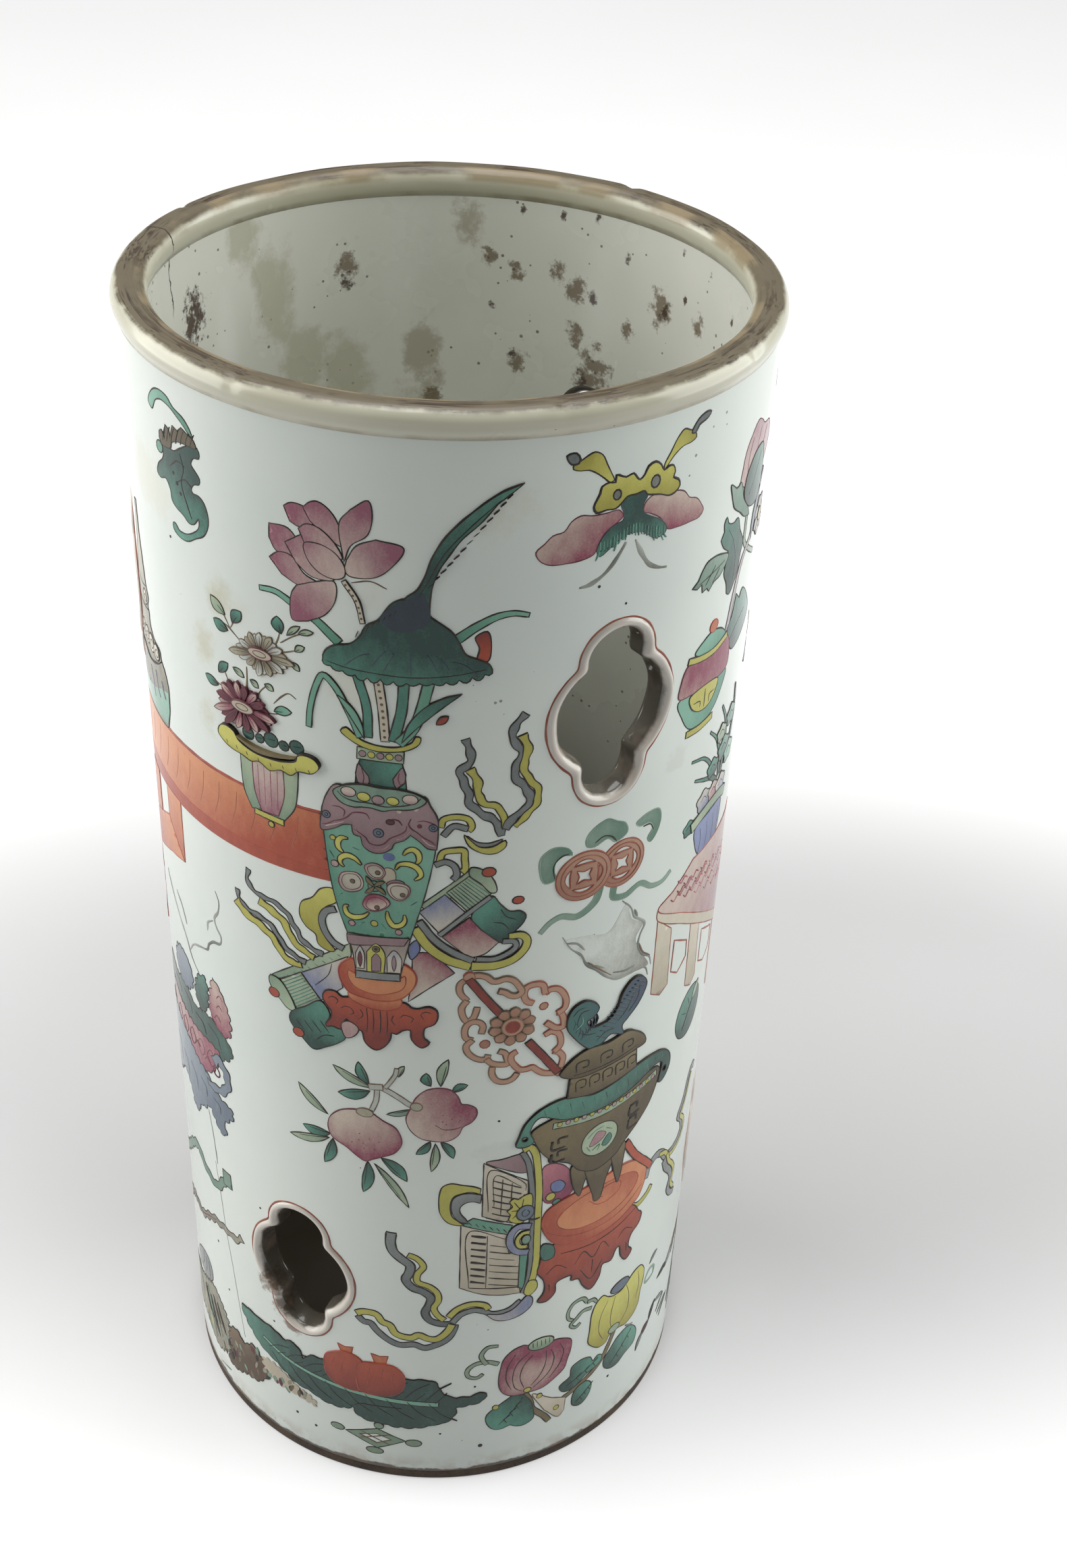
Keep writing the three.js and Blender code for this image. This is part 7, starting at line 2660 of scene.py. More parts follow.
class LeafAndFruits(Motif):
    """A great leaf that carries two iron-red fruits, over a lozenge emblem."""

    name = "leaf_and_fruits"

    def paint(self, p: Painting) -> None:
        """Draws the leaf, the fruits and the emblem."""
        p.fill(ragged(blob((-53.8, 38.5), (-51, 39), (-47, 38.7), (-42.5, 38.5), (-39, 37), (-36.5, 37.7),
                           (-34.3, 36), (-33.5, 33.7), (-31.5, 36), (-28, 36.5), (-20, 36), (-7, 36),
                           (-3, 36.3), (0.5, 35.3), (1, 33), (3.5, 30.3), (6, 29.8), (9, 30), (11.3, 31),
                           (12.6, 30), (11.5, 28), (8, 27), (5.3, 26.5), (5, 24), (3, 21.5), (0, 20.5),
                           (-4, 19.3), (-9, 19), (-13, 19.5), (-17, 19.8), (-19.5, 21.5), (-20.2, 23.5),
                           (-21.5, 22.3), (-24.5, 21.8), (-28, 22), (-32, 23.5), (-36, 24), (-38.5, 25.5),
                           (-42, 27.5), (-46.3, 29.3), (-50, 32.5), (-52.5, 35.5)), 0.5, 3.4), LEAF,
               wash=((-60, 30), (-34, 33)), rim=0.1)
        p.fill(band([(-46, 33.6), (-38, 31), (-29, 29.7), (-20, 28.9), (-8, 28.2), (1, 27.8)], 0.9, 1.5),
               TEAL, depth=0.2, width=0.34)
        for i in range(9):
            u = -44 + i * 5.2
            p.line((u, 31.6 - i * 0.35), (u + 3.4, 34.2 - i * 0.15), (u + 6.4, 35.2))
            p.line((u + 1, 30.4 - i * 0.3), (u + 4.2, 26.6 - i * 0.3), (u + 8, 24.4 - i * 0.35))
            p.line((u + 2.6, 31 - i * 0.35), (u + 5.4, 32.9 - i * 0.15), width=0.26)
        p.line((-20.3, 23.5), (-18.5, 25), (-14, 25.5), (-8, 25.8), width=0.45)
        for crown in ([(-23.8, 44.2), (-21.8, 43.6), (-19.8, 44.2), (-20.4, 41.6), (-22.9, 41.6)],
                      [(-15.4, 43.5), (-13.3, 43), (-11.2, 43.4), (-11.9, 40.3), (-14.4, 40.3)]):
            p.fill(loop(*([c] for c in crown)), IRON, depth=0.6, line=RUST)
        p.fill(blob((-27.5, 36), (-27, 39), (-24, 41.3), (-21.5, 42), (-18.5, 41), (-17, 38), (-17, 34),
                    (-18.5, 29.7), (-24, 30), (-26.8, 32.5)), RUST, wash=((-25, 43), (-21, 28)), rim=0.2,
               line=RUST, width=0.4)
        p.fill(blob((-18.6, 39.2), (-13.5, 40.5), (-9.5, 40), (-7.3, 37), (-7.2, 34), (-8.8, 31),
                    (-13, 29.5), (-18, 29.8), (-19, 33.5)), RUST, wash=((-15, 42), (-12, 28)), rim=0.2,
               line=RUST, width=0.4)
        for start, end in (((-24.6, 39), (-25.4, 33)), ((-22, 40), (-22.6, 32)), ((-15.6, 38.6), (-16, 32)),
                           ((-12.4, 39), (-12.2, 31.6)), ((-9.8, 38), (-9.6, 33))):
            p.line(start, ((start[0] + end[0]) / 2 - 0.5, (start[1] + end[1]) / 2), end, width=0.26,
                   enamel=RUST)
        outer = loop([(-14, 17)], [(-7, 13.8)], [(-14, 10)], [(-22.3, 13.8)])
        inner = loop([(-14.2, 15.2)], [(-10.4, 13.7)], [(-14.2, 11.8)], [(-18.6, 13.8)])
        p.fill(outer, CELADON, depth=1.0, holes=[inner])
        p.stroke(inner, 0.36, SEPIA, closed=True)
        p.line((-18.4, 15.2), (-11, 11.8), enamel=SEPIA)
        p.line((-18.8, 12.4), (-10.6, 15.6), enamel=SEPIA)
        for centre, radius, squash in (((-24.4, 14.3), 1.8, 0.6), ((-5, 13.3), 2.0, 0.6),
                                       ((-14.7, 8.9), 2.2, 0.5), ((-13.6, 18.4), 1.2, 0.9)):
            p.fill(disc(centre, radius, squash), CELADON, depth=1.0, width=0.34)


class Pomegranates(Motif):
    """A ribbed pink fruit and a yellow one on a leafy branch with tendrils."""

    name = "pomegranates"

    def paint(self, p: Painting) -> None:
        """Draws the branch, the leaves, the fruits and the tendrils."""
        self.branch(p)
        self.pink_fruit(p)
        self.yellow_fruit(p)

    @staticmethod
    def branch(p: Painting) -> None:
        """Draws the branch and its leaves."""
        p.fill(band([(33, 20), (38, 22), (42, 24), (45, 26.5), (47.5, 31), (49, 34.5)], 1.4), BROWN,
               width=0.34)
        p.fill(band([(22.5, 27), (24, 23.5), (24.5, 21), (28, 16.5), (29.5, 14)], 1.6), BROWN, depth=0.3,
               width=0.34)
        p.fill(loop([(24.5, 26), (30, 22)], [(34, 20)], [(33.8, 15.5)], [(32.3, 14), (28, 18.6)]), CREAM,
               wash=((30, 22), (32, 14)), line=SEPIA)
        leaves = (
            ([(20.5, 28), (17, 26), (13, 22.5), (12.7, 20), (14.3, 17), (16.5, 16.3), (19, 17), (20, 16.3),
              (22.5, 15.7), (25, 17), (25, 20), (24, 24)], ((16, 18), (22, 26))),
            ([(35, 27), (35.3, 30), (38, 31), (41, 30), (42, 28), (43.5, 29), (45, 28), (44.5, 26),
              (40, 24.5), (36, 22), (33, 22.5), (32, 25), (34.5, 26.5)], ((44, 28), (34, 24))),
            ([(36, 18), (37, 21), (40, 22), (42, 20), (41.5, 16.5), (39, 14.3), (36.5, 15.5)],
             ((42, 20), (37, 16))), ([(46, 26), (48, 28), (50, 30), (53.5, 31), (56, 30), (58.5, 26.5),
                                      (58, 22.5), (54, 21.3), (51, 20), (48, 20.8), (46, 23)],
                                     ((56, 29), (48, 22))))
        for points, wash in leaves:
            p.fill(blob(*points), LEAF, wash=wash, rim=0.1)
            start, end = wash
            p.line(end, ((start[0] + end[0]) / 2 + 0.4, (start[1] + end[1]) / 2), start, width=0.34)
            for share in (0.3, 0.55, 0.8):
                spot = (end[0] + (start[0] - end[0]) * share, end[1] + (start[1] - end[1]) * share)
                p.line(spot, (spot[0] + 1.6, spot[1] + 1.1), width=0.28)
                p.line(spot, (spot[0] + 0.9, spot[1] - 1.5), width=0.28)
        for centre in ((15, 24.6), (26.4, 24.6), (31.4, 17.8)):
            p.fill(disc(centre, 0.8), YELLOW, depth=0.5, width=0.28)

    @staticmethod
    def pink_fruit(p: Painting) -> None:
        """Draws the ribbed pink fruit with its crown and tendril."""
        p.fill(band([(15.3, 40), (12.5, 41.3), (9.5, 41), (7.7, 39), (8, 37), (10, 36.2), (11.5, 37.3)], 1.3,
                    0.9), CELADON, depth=0.8, width=0.3)
        p.fill(band([(12.4, 40.6), (11.5, 42), (11, 44), (12.5, 46.3), (15, 46.3)], 1.2, 0.9), CELADON,
               depth=0.8, width=0.3)
        p.fill(blob((24, 43), (21.5, 44.5), (18.5, 43.5), (16.5, 41), (15.7, 37), (15.5, 33), (16.5, 29.5),
                    (18.5, 27.8), (21, 27.3), (24, 27.2), (27, 27.3), (30, 28.8), (33, 31.3), (33.7, 34),
                    (34.6, 37.5), (34.4, 40.5), (32.5, 42), (29.5, 42.8), (27.5, 41.5)), ROSE,
               wash=((24.5, 30), (26, 46)), rim=1.0, width=0.34, spread=3.6)
        for path in ([(23, 41.5), (20, 38.5), (19, 34), (19.8, 30), (21.5, 28.5)],
                     [(24, 40.3), (21.8, 37.5), (20.9, 33.5), (22, 29.5)],
                     [(27.5, 40.2), (27.5, 36), (26, 32), (23.8, 29.5)],
                     [(28.8, 40), (29.8, 37), (29, 33), (27, 30.5), (24.5, 28.5)],
                     [(19.4, 42), (17.6, 38), (17.4, 33.6), (18.8, 29.8)],
                     [(31.2, 41), (32.4, 37.6), (31.4, 33.6), (28.8, 30)]):
            p.line(*path, width=0.4)
        p.fill(disc((26, 43.4), 3.4, 0.58), CELADON, wash=((26, 45), (26, 42)), width=0.4)
        for i in range(5):
            u = 23.8 + i * 1.1
            p.line((u, 44.6), (u + 0.1, 42.6), width=0.28)
        p.fill(disc((23, 28.3), 1.0, 0.8), YELLOW, width=0.34)

    @staticmethod
    def yellow_fruit(p: Painting) -> None:
        """Draws the yellow fruit with its crown and tendrils."""
        for path in ([(38.5, 51), (37, 53), (34.5, 52.8), (33, 50.5), (33.3, 48), (34.5, 47)],
                     [(40, 48), (37.5, 48.5), (35.5, 47), (34, 45.5), (35.5, 44), (36.8, 44.8)],
                     [(38.6, 50.8), (40.4, 50.6), (41.6, 49)]):
            p.fill(band(path, 1.1, 0.8), CELADON, depth=0.8, width=0.3)
        p.fill(blob((45.3, 48.3), (43.5, 49.8), (41.5, 48.5), (40.3, 45.5), (40, 40), (39.8, 36), (41, 34),
                    (43.7, 31.8), (46, 32), (46.8, 33.5), (50.5, 33.8), (53, 33), (56, 33.8), (58, 36),
                    (58.5, 40), (59.5, 44), (59.3, 47.5), (57.5, 49.8), (54.5, 49.7), (52, 48), (50, 47),
                    (47, 47.3)), YELLOW, wash=((50, 46), (52, 33)), rim=0.25)
        for path in ([(45.4, 47), (43.4, 43), (43, 38), (44.6, 34)],
                     [(48, 46.6), (47, 42), (47, 37.6), (48, 35.4)],
                     [(52, 47.4), (53.4, 43), (53, 38), (50.4, 35.2)],
                     [(56.6, 48.6), (57.4, 44), (56.6, 39)]):
            p.line(*path, width=0.34, enamel=SEPIA)
        p.fill(disc((49.5, 49.2), 3.3, 0.52), STEEL, depth=1.0, width=0.38)
        p.fill(disc((48.5, 35), 2.0, 0.65), CELADON, depth=0.6, width=0.34)


class RightEdge(Motif):
    """What wraps round the right side: a bud, a jar, a potted plant, a table and loose ribbons."""

    name = "right_side"

    def paint(self, p: Painting) -> None:
        """Draws the things from the top down."""
        self.bud(p)
        self.plant(p)
        self.table(p)
        self.jar(p)
        self.ribbons(p)

    @staticmethod
    def bud(p: Painting) -> None:
        """Draws the rosy bud on its leafy stem."""
        p.fill(band([(70.4, 246), (70.4, 243.6), (70.6, 240), (74, 237), (78, 234.5)], 1.1), CELADON,
               depth=0.9, width=0.3)
        p.fill(band([(66, 222), (68, 230), (70.4, 236), (74.6, 240), (76.5, 246), (80, 252)], 1.6, 0.8),
               LAVENDER, depth=0.5, width=0.3, line=PLUM)
        p.fill(petal((74.6, 238.6), (78, 249), 2.4, 0.5), STEEL, depth=0.8, width=0.3)
        p.fill(loop([(59.9, 248.6), (60.7, 249.6), (61.4, 248.2)], [(62.6, 247.4), (64.1, 247.1)],
                    [(65.7, 247.4), (67.2, 244.3), (69.6, 240.6), (68.9, 238.3), (68.3, 235), (67.1, 232.9),
                     (65.1, 231), (63.8, 231.8)], [(63.3, 234.1), (61.8, 237), (62.5, 240.4), (62.6, 241.6)],
                    [(60.5, 243.2), (59.2, 245.2)], [(60.2, 246.7)]), LEAF, wash=((54, 252), (64, 236)),
               width=0.3)
        p.line((62, 246.4), (64.6, 243), (66.4, 238), (66, 233), width=0.4, enamel=BLUE_BLACK)
        p.fill(loop([(62.9, 240.8), (60, 242.1), (57.4, 242.6), (55, 242.3), (53.6, 241), (52.6, 239.3)],
                    [(50.9, 238.2)], [(52.4, 237.6)], [(53.8, 238.2)], [(54.2, 236.2)], [(55.6, 236.6)],
                    [(56.4, 235.6)], [(58, 237), (60, 237.4), (61.8, 238.9)]), SAGE,
               wash=((63, 244), (52, 234)))
        for start, end in (((61.6, 240.2), (53, 238.4)), ((58, 240.6), (55, 237.4)),
                           ((59.6, 239.4), (57.4, 237))):
            p.line(start, end, width=0.34)
        p.fill(loop([(66, 222), (68, 224.6), (69.4, 229)], [(71.4, 227)], [(73, 228.5), (78, 224), (80, 220),
                    (75, 216.5), (70, 216), (67.6, 219)]), LEAF, wash=((78, 232), (70, 218)), width=0.3)
        p.line((68, 219), (72, 221.4), (76, 222.6), width=0.4, enamel=BLUE_BLACK)
        p.fill(blob((65.2, 254.7), (65.5, 257.6), (66.2, 260.6), (68.4, 263.4), (71.5, 265.4), (74, 264.5),
                    (76, 263), (81, 261.5), (82, 258), (78, 254), (72, 252)), PINK,
               wash=((66, 250), (76, 266)), line=PLUM, width=0.3)
        for start, end in (((68, 256), (69.6, 262.6)), ((72.4, 256.4), (74, 263.2)),
                           ((76, 256.4), (78.4, 261.6))):
            p.line(start, ((start[0] + end[0]) / 2 - 0.6, (start[1] + end[1]) / 2), end, width=0.4,
                   enamel=PLUM)
        p.fill(loop([(61, 256.2), (63.4, 254.6)], [(64.4, 254.6)],
                    [(65.1, 255.2), (66.2, 253.6), (67.2, 251), (70.2, 247.8), (71.4, 245.6)],
                    [(69, 246.2), (66.4, 248.2), (63.2, 250.6), (62.1, 252.8)]), SAGE,
               wash=((60, 258), (68, 246)))
        p.fill(blob((76.4, 258.8), (72.2, 258.9), (69.5, 257.2), (67.8, 255.1), (67.3, 252.4), (68.1, 250.2),
                    (71.3, 247.4), (75.4, 247), (77.4, 249.4), (78, 252.4), (77.6, 256)), LEAF,
               wash=((84, 262), (70, 250)), width=0.3)
        p.line((70, 250.4), (72.6, 253.4), (75.4, 257.6), enamel=BLUE_BLACK)
        for i in range(7):
            angle = 2 * math.pi * i / 7
            centre = (80.5, 241.5)
            p.fill(petal((centre[0] + math.cos(angle), centre[1] + math.sin(angle)),
                         (centre[0] + 4.4 * math.cos(angle), centre[1] + 4.4 * math.sin(angle)), 2.9, 0,
                         0.6), GREY_PINK,
                   wash=(centre, (centre[0] + 4 * math.cos(angle), centre[1] + 4 * math.sin(angle))),
                   width=0.34)
        p.fill(disc((80.5, 241.5), 1.4), YELLOW, depth=0.7, width=0.34)

    @staticmethod
    def jar(p: Painting) -> None:
        """Draws the covered jar with its domed lid and yellow fret."""
        p.fill(blob((54, 222.5), (57, 224.5), (60, 225.2), (64, 223.8), (66, 221.2), (60, 220.2)), TEAL,
               wash=((58, 225), (62, 220)))
        p.fill(disc((60, 226.3), 1.5, 0.9), IRON, depth=0.6, line=RUST, width=0.34)
        p.fill(blob((50, 213), (51.5, 209), (54.5, 205), (58.5, 204.4), (62.5, 205), (66, 208), (68, 212.5),
                    (60, 213.6)), TEAL, wash=((54, 211), (64, 206)))
        p.fill(blob((50, 214), (50.2, 217), (52.2, 220.8), (60, 219.9), (66.7, 221), (68.4, 217),
                    (68, 213.3), (60, 212.9), (54, 213.3)), ROSE, wash=((50, 203), (56, 218)), line=PLUM)
        p.fill(band([(52, 221.6), (56, 220.7), (61, 220.3), (66.4, 221.4)], 1.4), YELLOW, depth=0.5,
               width=0.34)
        p.fill(blob((53.6, 212.7), (54.5, 209.8), (57, 208), (60, 207.6), (62.5, 208.8), (64.2, 212.3)),
               YELLOW, depth=0.35)
        p.line((59, 212.4), (59, 208.2), width=0.4)
        p.line((55, 210.6), (57.4, 210.2), (57.4, 208.8), width=0.34)
        p.line((63, 210.4), (60.8, 210.2), (60.8, 208.6), width=0.34)
        p.fill(band([(53.6, 203.9), (58, 203.5), (63.4, 203.9)], 1.5), YELLOW, depth=0.5, width=0.34)

    @staticmethod
    def plant(p: Painting) -> None:
        """Draws the blue pot with its rock, its flowers and grass."""
        for path, width in (([(69, 184), (66, 190), (62, 194), (57, 195.6)], 1.3),
                            ([(70, 184), (67, 186.5), (63, 188.2), (59, 190)], 1.5),
                            ([(71, 185), (70, 191), (67.4, 196), (63.8, 199.4)], 1.4),
                            ([(72, 185), (73, 192), (72, 198), (69, 203)], 1.5),
                            ([(74, 186), (77, 192), (78, 198), (77, 204)], 1.6)):
            p.fill(band(path, width, 0.5), LEAF, wash=(path[-1], path[0]), width=0.32)
        for centre, radius, enamel in (((67, 189), 2.6, LEAF), ((72.5, 191), 3.2, LEAF),
                                       ((76.5, 188), 3.0, TEAL), ((70, 196), 2.4, CELADON),
                                       ((75.5, 197.5), 2.8, LEAF), ((64, 182.6), 3.0, LAVENDER),
                                       ((68.6, 182.4), 2.6, PINK), ((73, 181.6), 3.0, LAVENDER),
                                       ((58.6, 178.4), 2.2, LEAF)):
            ring = [(centre[0] + radius * (1 + 0.12 * math.sin(5 * a)) * math.cos(a),
                     centre[1] + radius * (1 + 0.12 * math.sin(5 * a)) * 0.85 * math.sin(a))
                    for a in np.linspace(0, 2 * math.pi, 30)[:-1]]
            p.fill(loop(ring), enamel, wash=((centre[0] - 1, centre[1] + 2), (centre[0] + 1, centre[1] - 2)),
                   width=0.34)
            p.line((centre[0] - radius * 0.5, centre[1]), (centre[0], centre[1] + radius * 0.3),
                   (centre[0] + radius * 0.5, centre[1] - radius * 0.1), width=0.26)
        p.fill(blob((61.3, 176.5), (62, 172), (64, 168.5), (67, 166.4), (71, 166), (74, 168), (75.4, 173),
                    (75, 176.6), (68, 177.4)), BLUE, wash=((64, 174), (72, 168)))
        p.fill(band([(59.4, 177.8), (63, 178.8), (68, 179.4), (73, 179), (77, 177.6)], 2.6), CELADON,
               wash=((60, 178), (70, 179)))
        for u in (63.8, 67, 70.4, 73.4):
            p.line((u, 175.4), (u + 0.6, 172), (u, 168.9), width=0.3, enamel=BLUE_BLACK)

    @staticmethod
    def table(p: Painting) -> None:
        """Draws the marbled table top, its cream rail and its legs."""
        p.fill(loop([(50.3, 159)], [(50.3, 139)], [(53.5, 136.8)], [(56.2, 138.3)], [(55.6, 154)]), CREAM,
               wash=((51, 158), (55, 138)), line=IRON_INK)
        p.fill(loop([(64.4, 150)], [(64.8, 132)], [(68, 130)], [(70.2, 131.6)], [(69.4, 147)]), CREAM,
               wash=((65, 148), (69, 132)), line=IRON_INK)
        p.fill(loop([(84, 138)], [(84.4, 118)], [(88, 116)], [(90, 118)], [(89.6, 134)]), CREAM,
               wash=((85, 136), (89, 118)), line=IRON_INK)
        p.stroke(loop([(57.4, 149.6)], [(57.2, 141)], [(60, 139)], [(63.4, 141.4)], [(63.2, 146)]), 0.5,
                 IRON_INK, closed=True)
        p.stroke(loop([(72, 143)], [(72, 134)], [(76, 131.4)], [(81, 132)], [(81.4, 137.6)]), 0.5, IRON_INK,
                 closed=True)
        p.fill(loop([(50, 159.4), (60, 152.6), (70, 146.2), (80, 139.8), (90, 133)], [(90.4, 136)],
                    [(80, 143), (70, 149.4), (60, 155.8), (50, 162.2)]), CREAM, wash=((52, 161), (86, 136)),
               line=IRON_INK)
        p.fill(loop([(50, 162), (60, 155.6), (70, 149.2), (80, 142.8), (90.4, 136)],
                    [(97, 160), (90, 166.6)], [(76, 168), (62, 168.6)], [(55, 164.4)]), PINK,
               wash=((58, 166), (84, 142)), line=RUST)
        for i in range(40):
            u = 56 + (i * 7.7) % 36
            z = 163.5 - (u - 52) * 0.42 + (i * 3.3) % 13 * (0.35 + (u - 52) * 0.012)
            p.line((u - 1.9, z + 0.6), (u - 0.6, z - 0.5), (u + 0.5, z + 0.6), (u + 1.9, z - 0.4),
                   width=0.7, enamel=MAGENTA if i % 3 else RUST)

    @staticmethod
    def ribbons(p: Painting) -> None:
        """Draws the green disc and the two ribbons under it."""
        p.fill(disc((69, 121.8), 6.6, 1.04), LEAF, wash=((66, 129), (71, 119)), rim=0.2)
        p.fill(petal((70.5, 124), (74, 127.6), 2.4), CELADON, depth=0.3, width=0.34)
        p.line((66, 118), (68.6, 121.6), (70.6, 124), width=0.4)
        p.line((65, 123.4), (67.6, 122), width=0.3)
        p.line((67.8, 126.4), (69, 123.8), width=0.3)
        grey = [(55.5, 80), (56.5, 83), (59.5, 84.5), (62.5, 83), (64.5, 80.5), (68, 79.5), (72, 80),
                (74, 82), (73, 85.5), (70.5, 88.5), (73, 91), (75, 94.5), (76.5, 97), (79, 97.5), (81, 96.2)]
        p.fill(band(grey, 2.2, 1.8), SLATE, wash=((56, 80), (76, 96)))
        p.fill(band([(u + 1.7, z - 1.1) for u, z in grey[2:13]], 1.3), YELLOW, depth=0.45, width=0.34)
        tail = [(64, 79.5), (65.5, 76), (68, 73), (69.5, 70), (68.5, 66.5), (70.5, 63.5), (73, 62.2)]
        p.fill(band(tail, 2.0, 1.6), SLATE, depth=0.5)
        p.fill(band([(u + 1.6, z + 0.8) for u, z in tail[:-1]], 1.3), YELLOW, depth=0.45, width=0.34)
        p.fill(band([(50.5, 75), (53, 73.5), (57, 74.5), (58.5, 76)], 1.6), YELLOW, depth=0.5, width=0.34)


class LeftEdge(Motif):
    """What wraps round the left side: a rock, a cluster of fruit and leaves, ribbons and a bush."""

    name = "left_side"

    def paint(self, p: Painting) -> None:
        """Draws the things from the top down."""
        for path in ([(-53, 163.8), (-52, 161.5), (-52.5, 158.5), (-54, 156), (-53.5, 154), (-52, 152),
                      (-52.5, 150), (-55, 149), (-57, 147), (-57.5, 145.5), (-61, 144), (-64, 142.5),
                      (-66.5, 139)],
                     [(-79, 153), (-75, 149), (-71, 145), (-68, 142), (-65.5, 138), (-62.5, 135.5)],
                     [(-54.6, 155), (-56.6, 153.4), (-57, 151)], [(-72, 152), (-69, 149.6), (-67, 146)]):
            p.line(*path, width=0.75, enamel=SMOKE, fade=0.7)
        self.cluster(p)
        self.ribbons(p)
        self.bush(p)

    @staticmethod
    def cluster(p: Painting) -> None:
        """Draws the fruit, leaves and curls."""
        for points, enamel, wash in (
                ([(-85, 126), (-77, 125), (-72, 127), (-66, 124), (-62, 125), (-56, 125), (-51, 121),
                  (-51, 119), (-55, 116), (-60, 117.5), (-66, 117), (-75, 118.5), (-85, 119)], LEAF,
                 ((-20, 119), (-60, 121))),
                ([(-84, 119), (-76, 118), (-68, 117.4), (-56, 117), (-58, 111), (-62, 107.5), (-68, 108.5),
                  (-72, 110.5), (-82, 112)], ROSE, ((-84, 136), (-62, 106))),
                ([(-90, 111), (-82, 111.6), (-72, 110), (-66, 107.6), (-62, 106.6), (-56.5, 103),
                  (-53, 102.5), (-52, 100.5), (-54, 98), (-56, 96), (-55, 93.3), (-57, 92), (-59.5, 94),
                  (-62, 97), (-64, 95), (-67, 93.5), (-69, 90), (-71.5, 90.5), (-73, 94), (-78, 96),
                  (-85, 91), (-90, 95)], STEEL, ((-76, 114), (-60, 96))),
                ([(-56.5, 138), (-54, 136.5), (-51.5, 132), (-50.8, 127), (-52, 124), (-55, 124.3),
                  (-58, 127), (-58.5, 131), (-57.5, 135)], ROSE, ((-50, 140), (-57, 124))),
                ([(-62, 135.5), (-64.5, 132), (-64.8, 128), (-62, 125.3), (-59.5, 128), (-59, 133),
                  (-60, 136)], LEAF, ((-61, 140), (-62, 128))),
                ([(-72, 136), (-76, 134), (-77, 129), (-73, 126), (-68, 127.4), (-66, 131), (-68, 135)],
                 STEEL, ((-70, 138), (-73, 127)))):
            p.fill(ragged(blob(*points), 0.7, 2.6), enamel, wash=wash, rim=0.2, width=0.3)
        for start, end in (((-80, 123), (-75, 121)), ((-73, 124), (-68, 120)), ((-66, 122), (-61, 119)),
                           ((-60, 123), (-55, 118.6)), ((-78, 102), (-74, 97)), ((-72, 103), (-68, 97)),
                           ((-66, 103), (-63, 99)), ((-60, 101), (-57, 98)), ((-84, 103), (-81, 96))):
            middle = ((start[0] + end[0]) / 2 + 1.2, (start[1] + end[1]) / 2 + 0.9)
            p.line(start, middle, end, width=0.42)
        for i in range(5):
            u = -78 + i * 4.6
            p.stroke(smooth([(u - 1.7, 113), (u, 115.4), (u + 1.7, 113), (u, 110.8)], closed=True), 0.34,
                     PLUM, closed=True)
        p.fill(band([(-58.5, 113), (-56.5, 114.8), (-54, 113), (-53.2, 110), (-55, 106.5), (-58, 105),
                     (-62, 104.5)], 2.6, 2.0, ripple=0.3), STEEL, depth=0.6, width=0.3)
        p.stroke(disc((-57.6, 110.4), 1.3), 0.5, PLUM, closed=True)
        for u, z in ((-66, 113), (-61.4, 111.6), (-54.6, 131), (-55.6, 127.6), (-54.2, 134)):
            p.line((u - 1.2, z - 0.8), (u, z + 0.6), (u + 1.2, z - 0.4), width=0.4, enamel=PLUM)
        p.line((-63, 95), (-61.5, 88), (-60.5, 80), width=0.5, enamel=SMOKE)

    @staticmethod
    def ribbons(p: Painting) -> None:
        """Draws the two ribbons that trail away to the left."""
        upper = [(-56.5, 78.5), (-58.5, 75.5), (-62, 72), (-68, 73.5), (-72, 76), (-76, 74), (-82, 68),
                 (-90, 61), (-97, 54)]
        p.fill(band(upper, 2.2, 2.6, ripple=0.25), SAGE, wash=((-30, 80), (-64, 70)))
        p.fill(loop([(-54.6, 76)], [(-55, 80.4)], [(-58.2, 80.2)], [(-58, 75.6)]), SAGE, depth=0.7)
        lower = [(-52, 62), (-54.5, 60), (-58, 59.8), (-64, 58.8), (-69, 56), (-73, 53.5), (-79, 53),
                 (-85, 50), (-92, 43), (-97, 38)]
        p.fill(band(lower, 1.9, 2.4, ripple=0.35), STRAW, wash=((-30, 61), (-64, 54)), width=0.34)
        p.line(*[(u + 0.3, z + 0.2) for u, z in lower[3:]], width=0.5, enamel=PLUM)

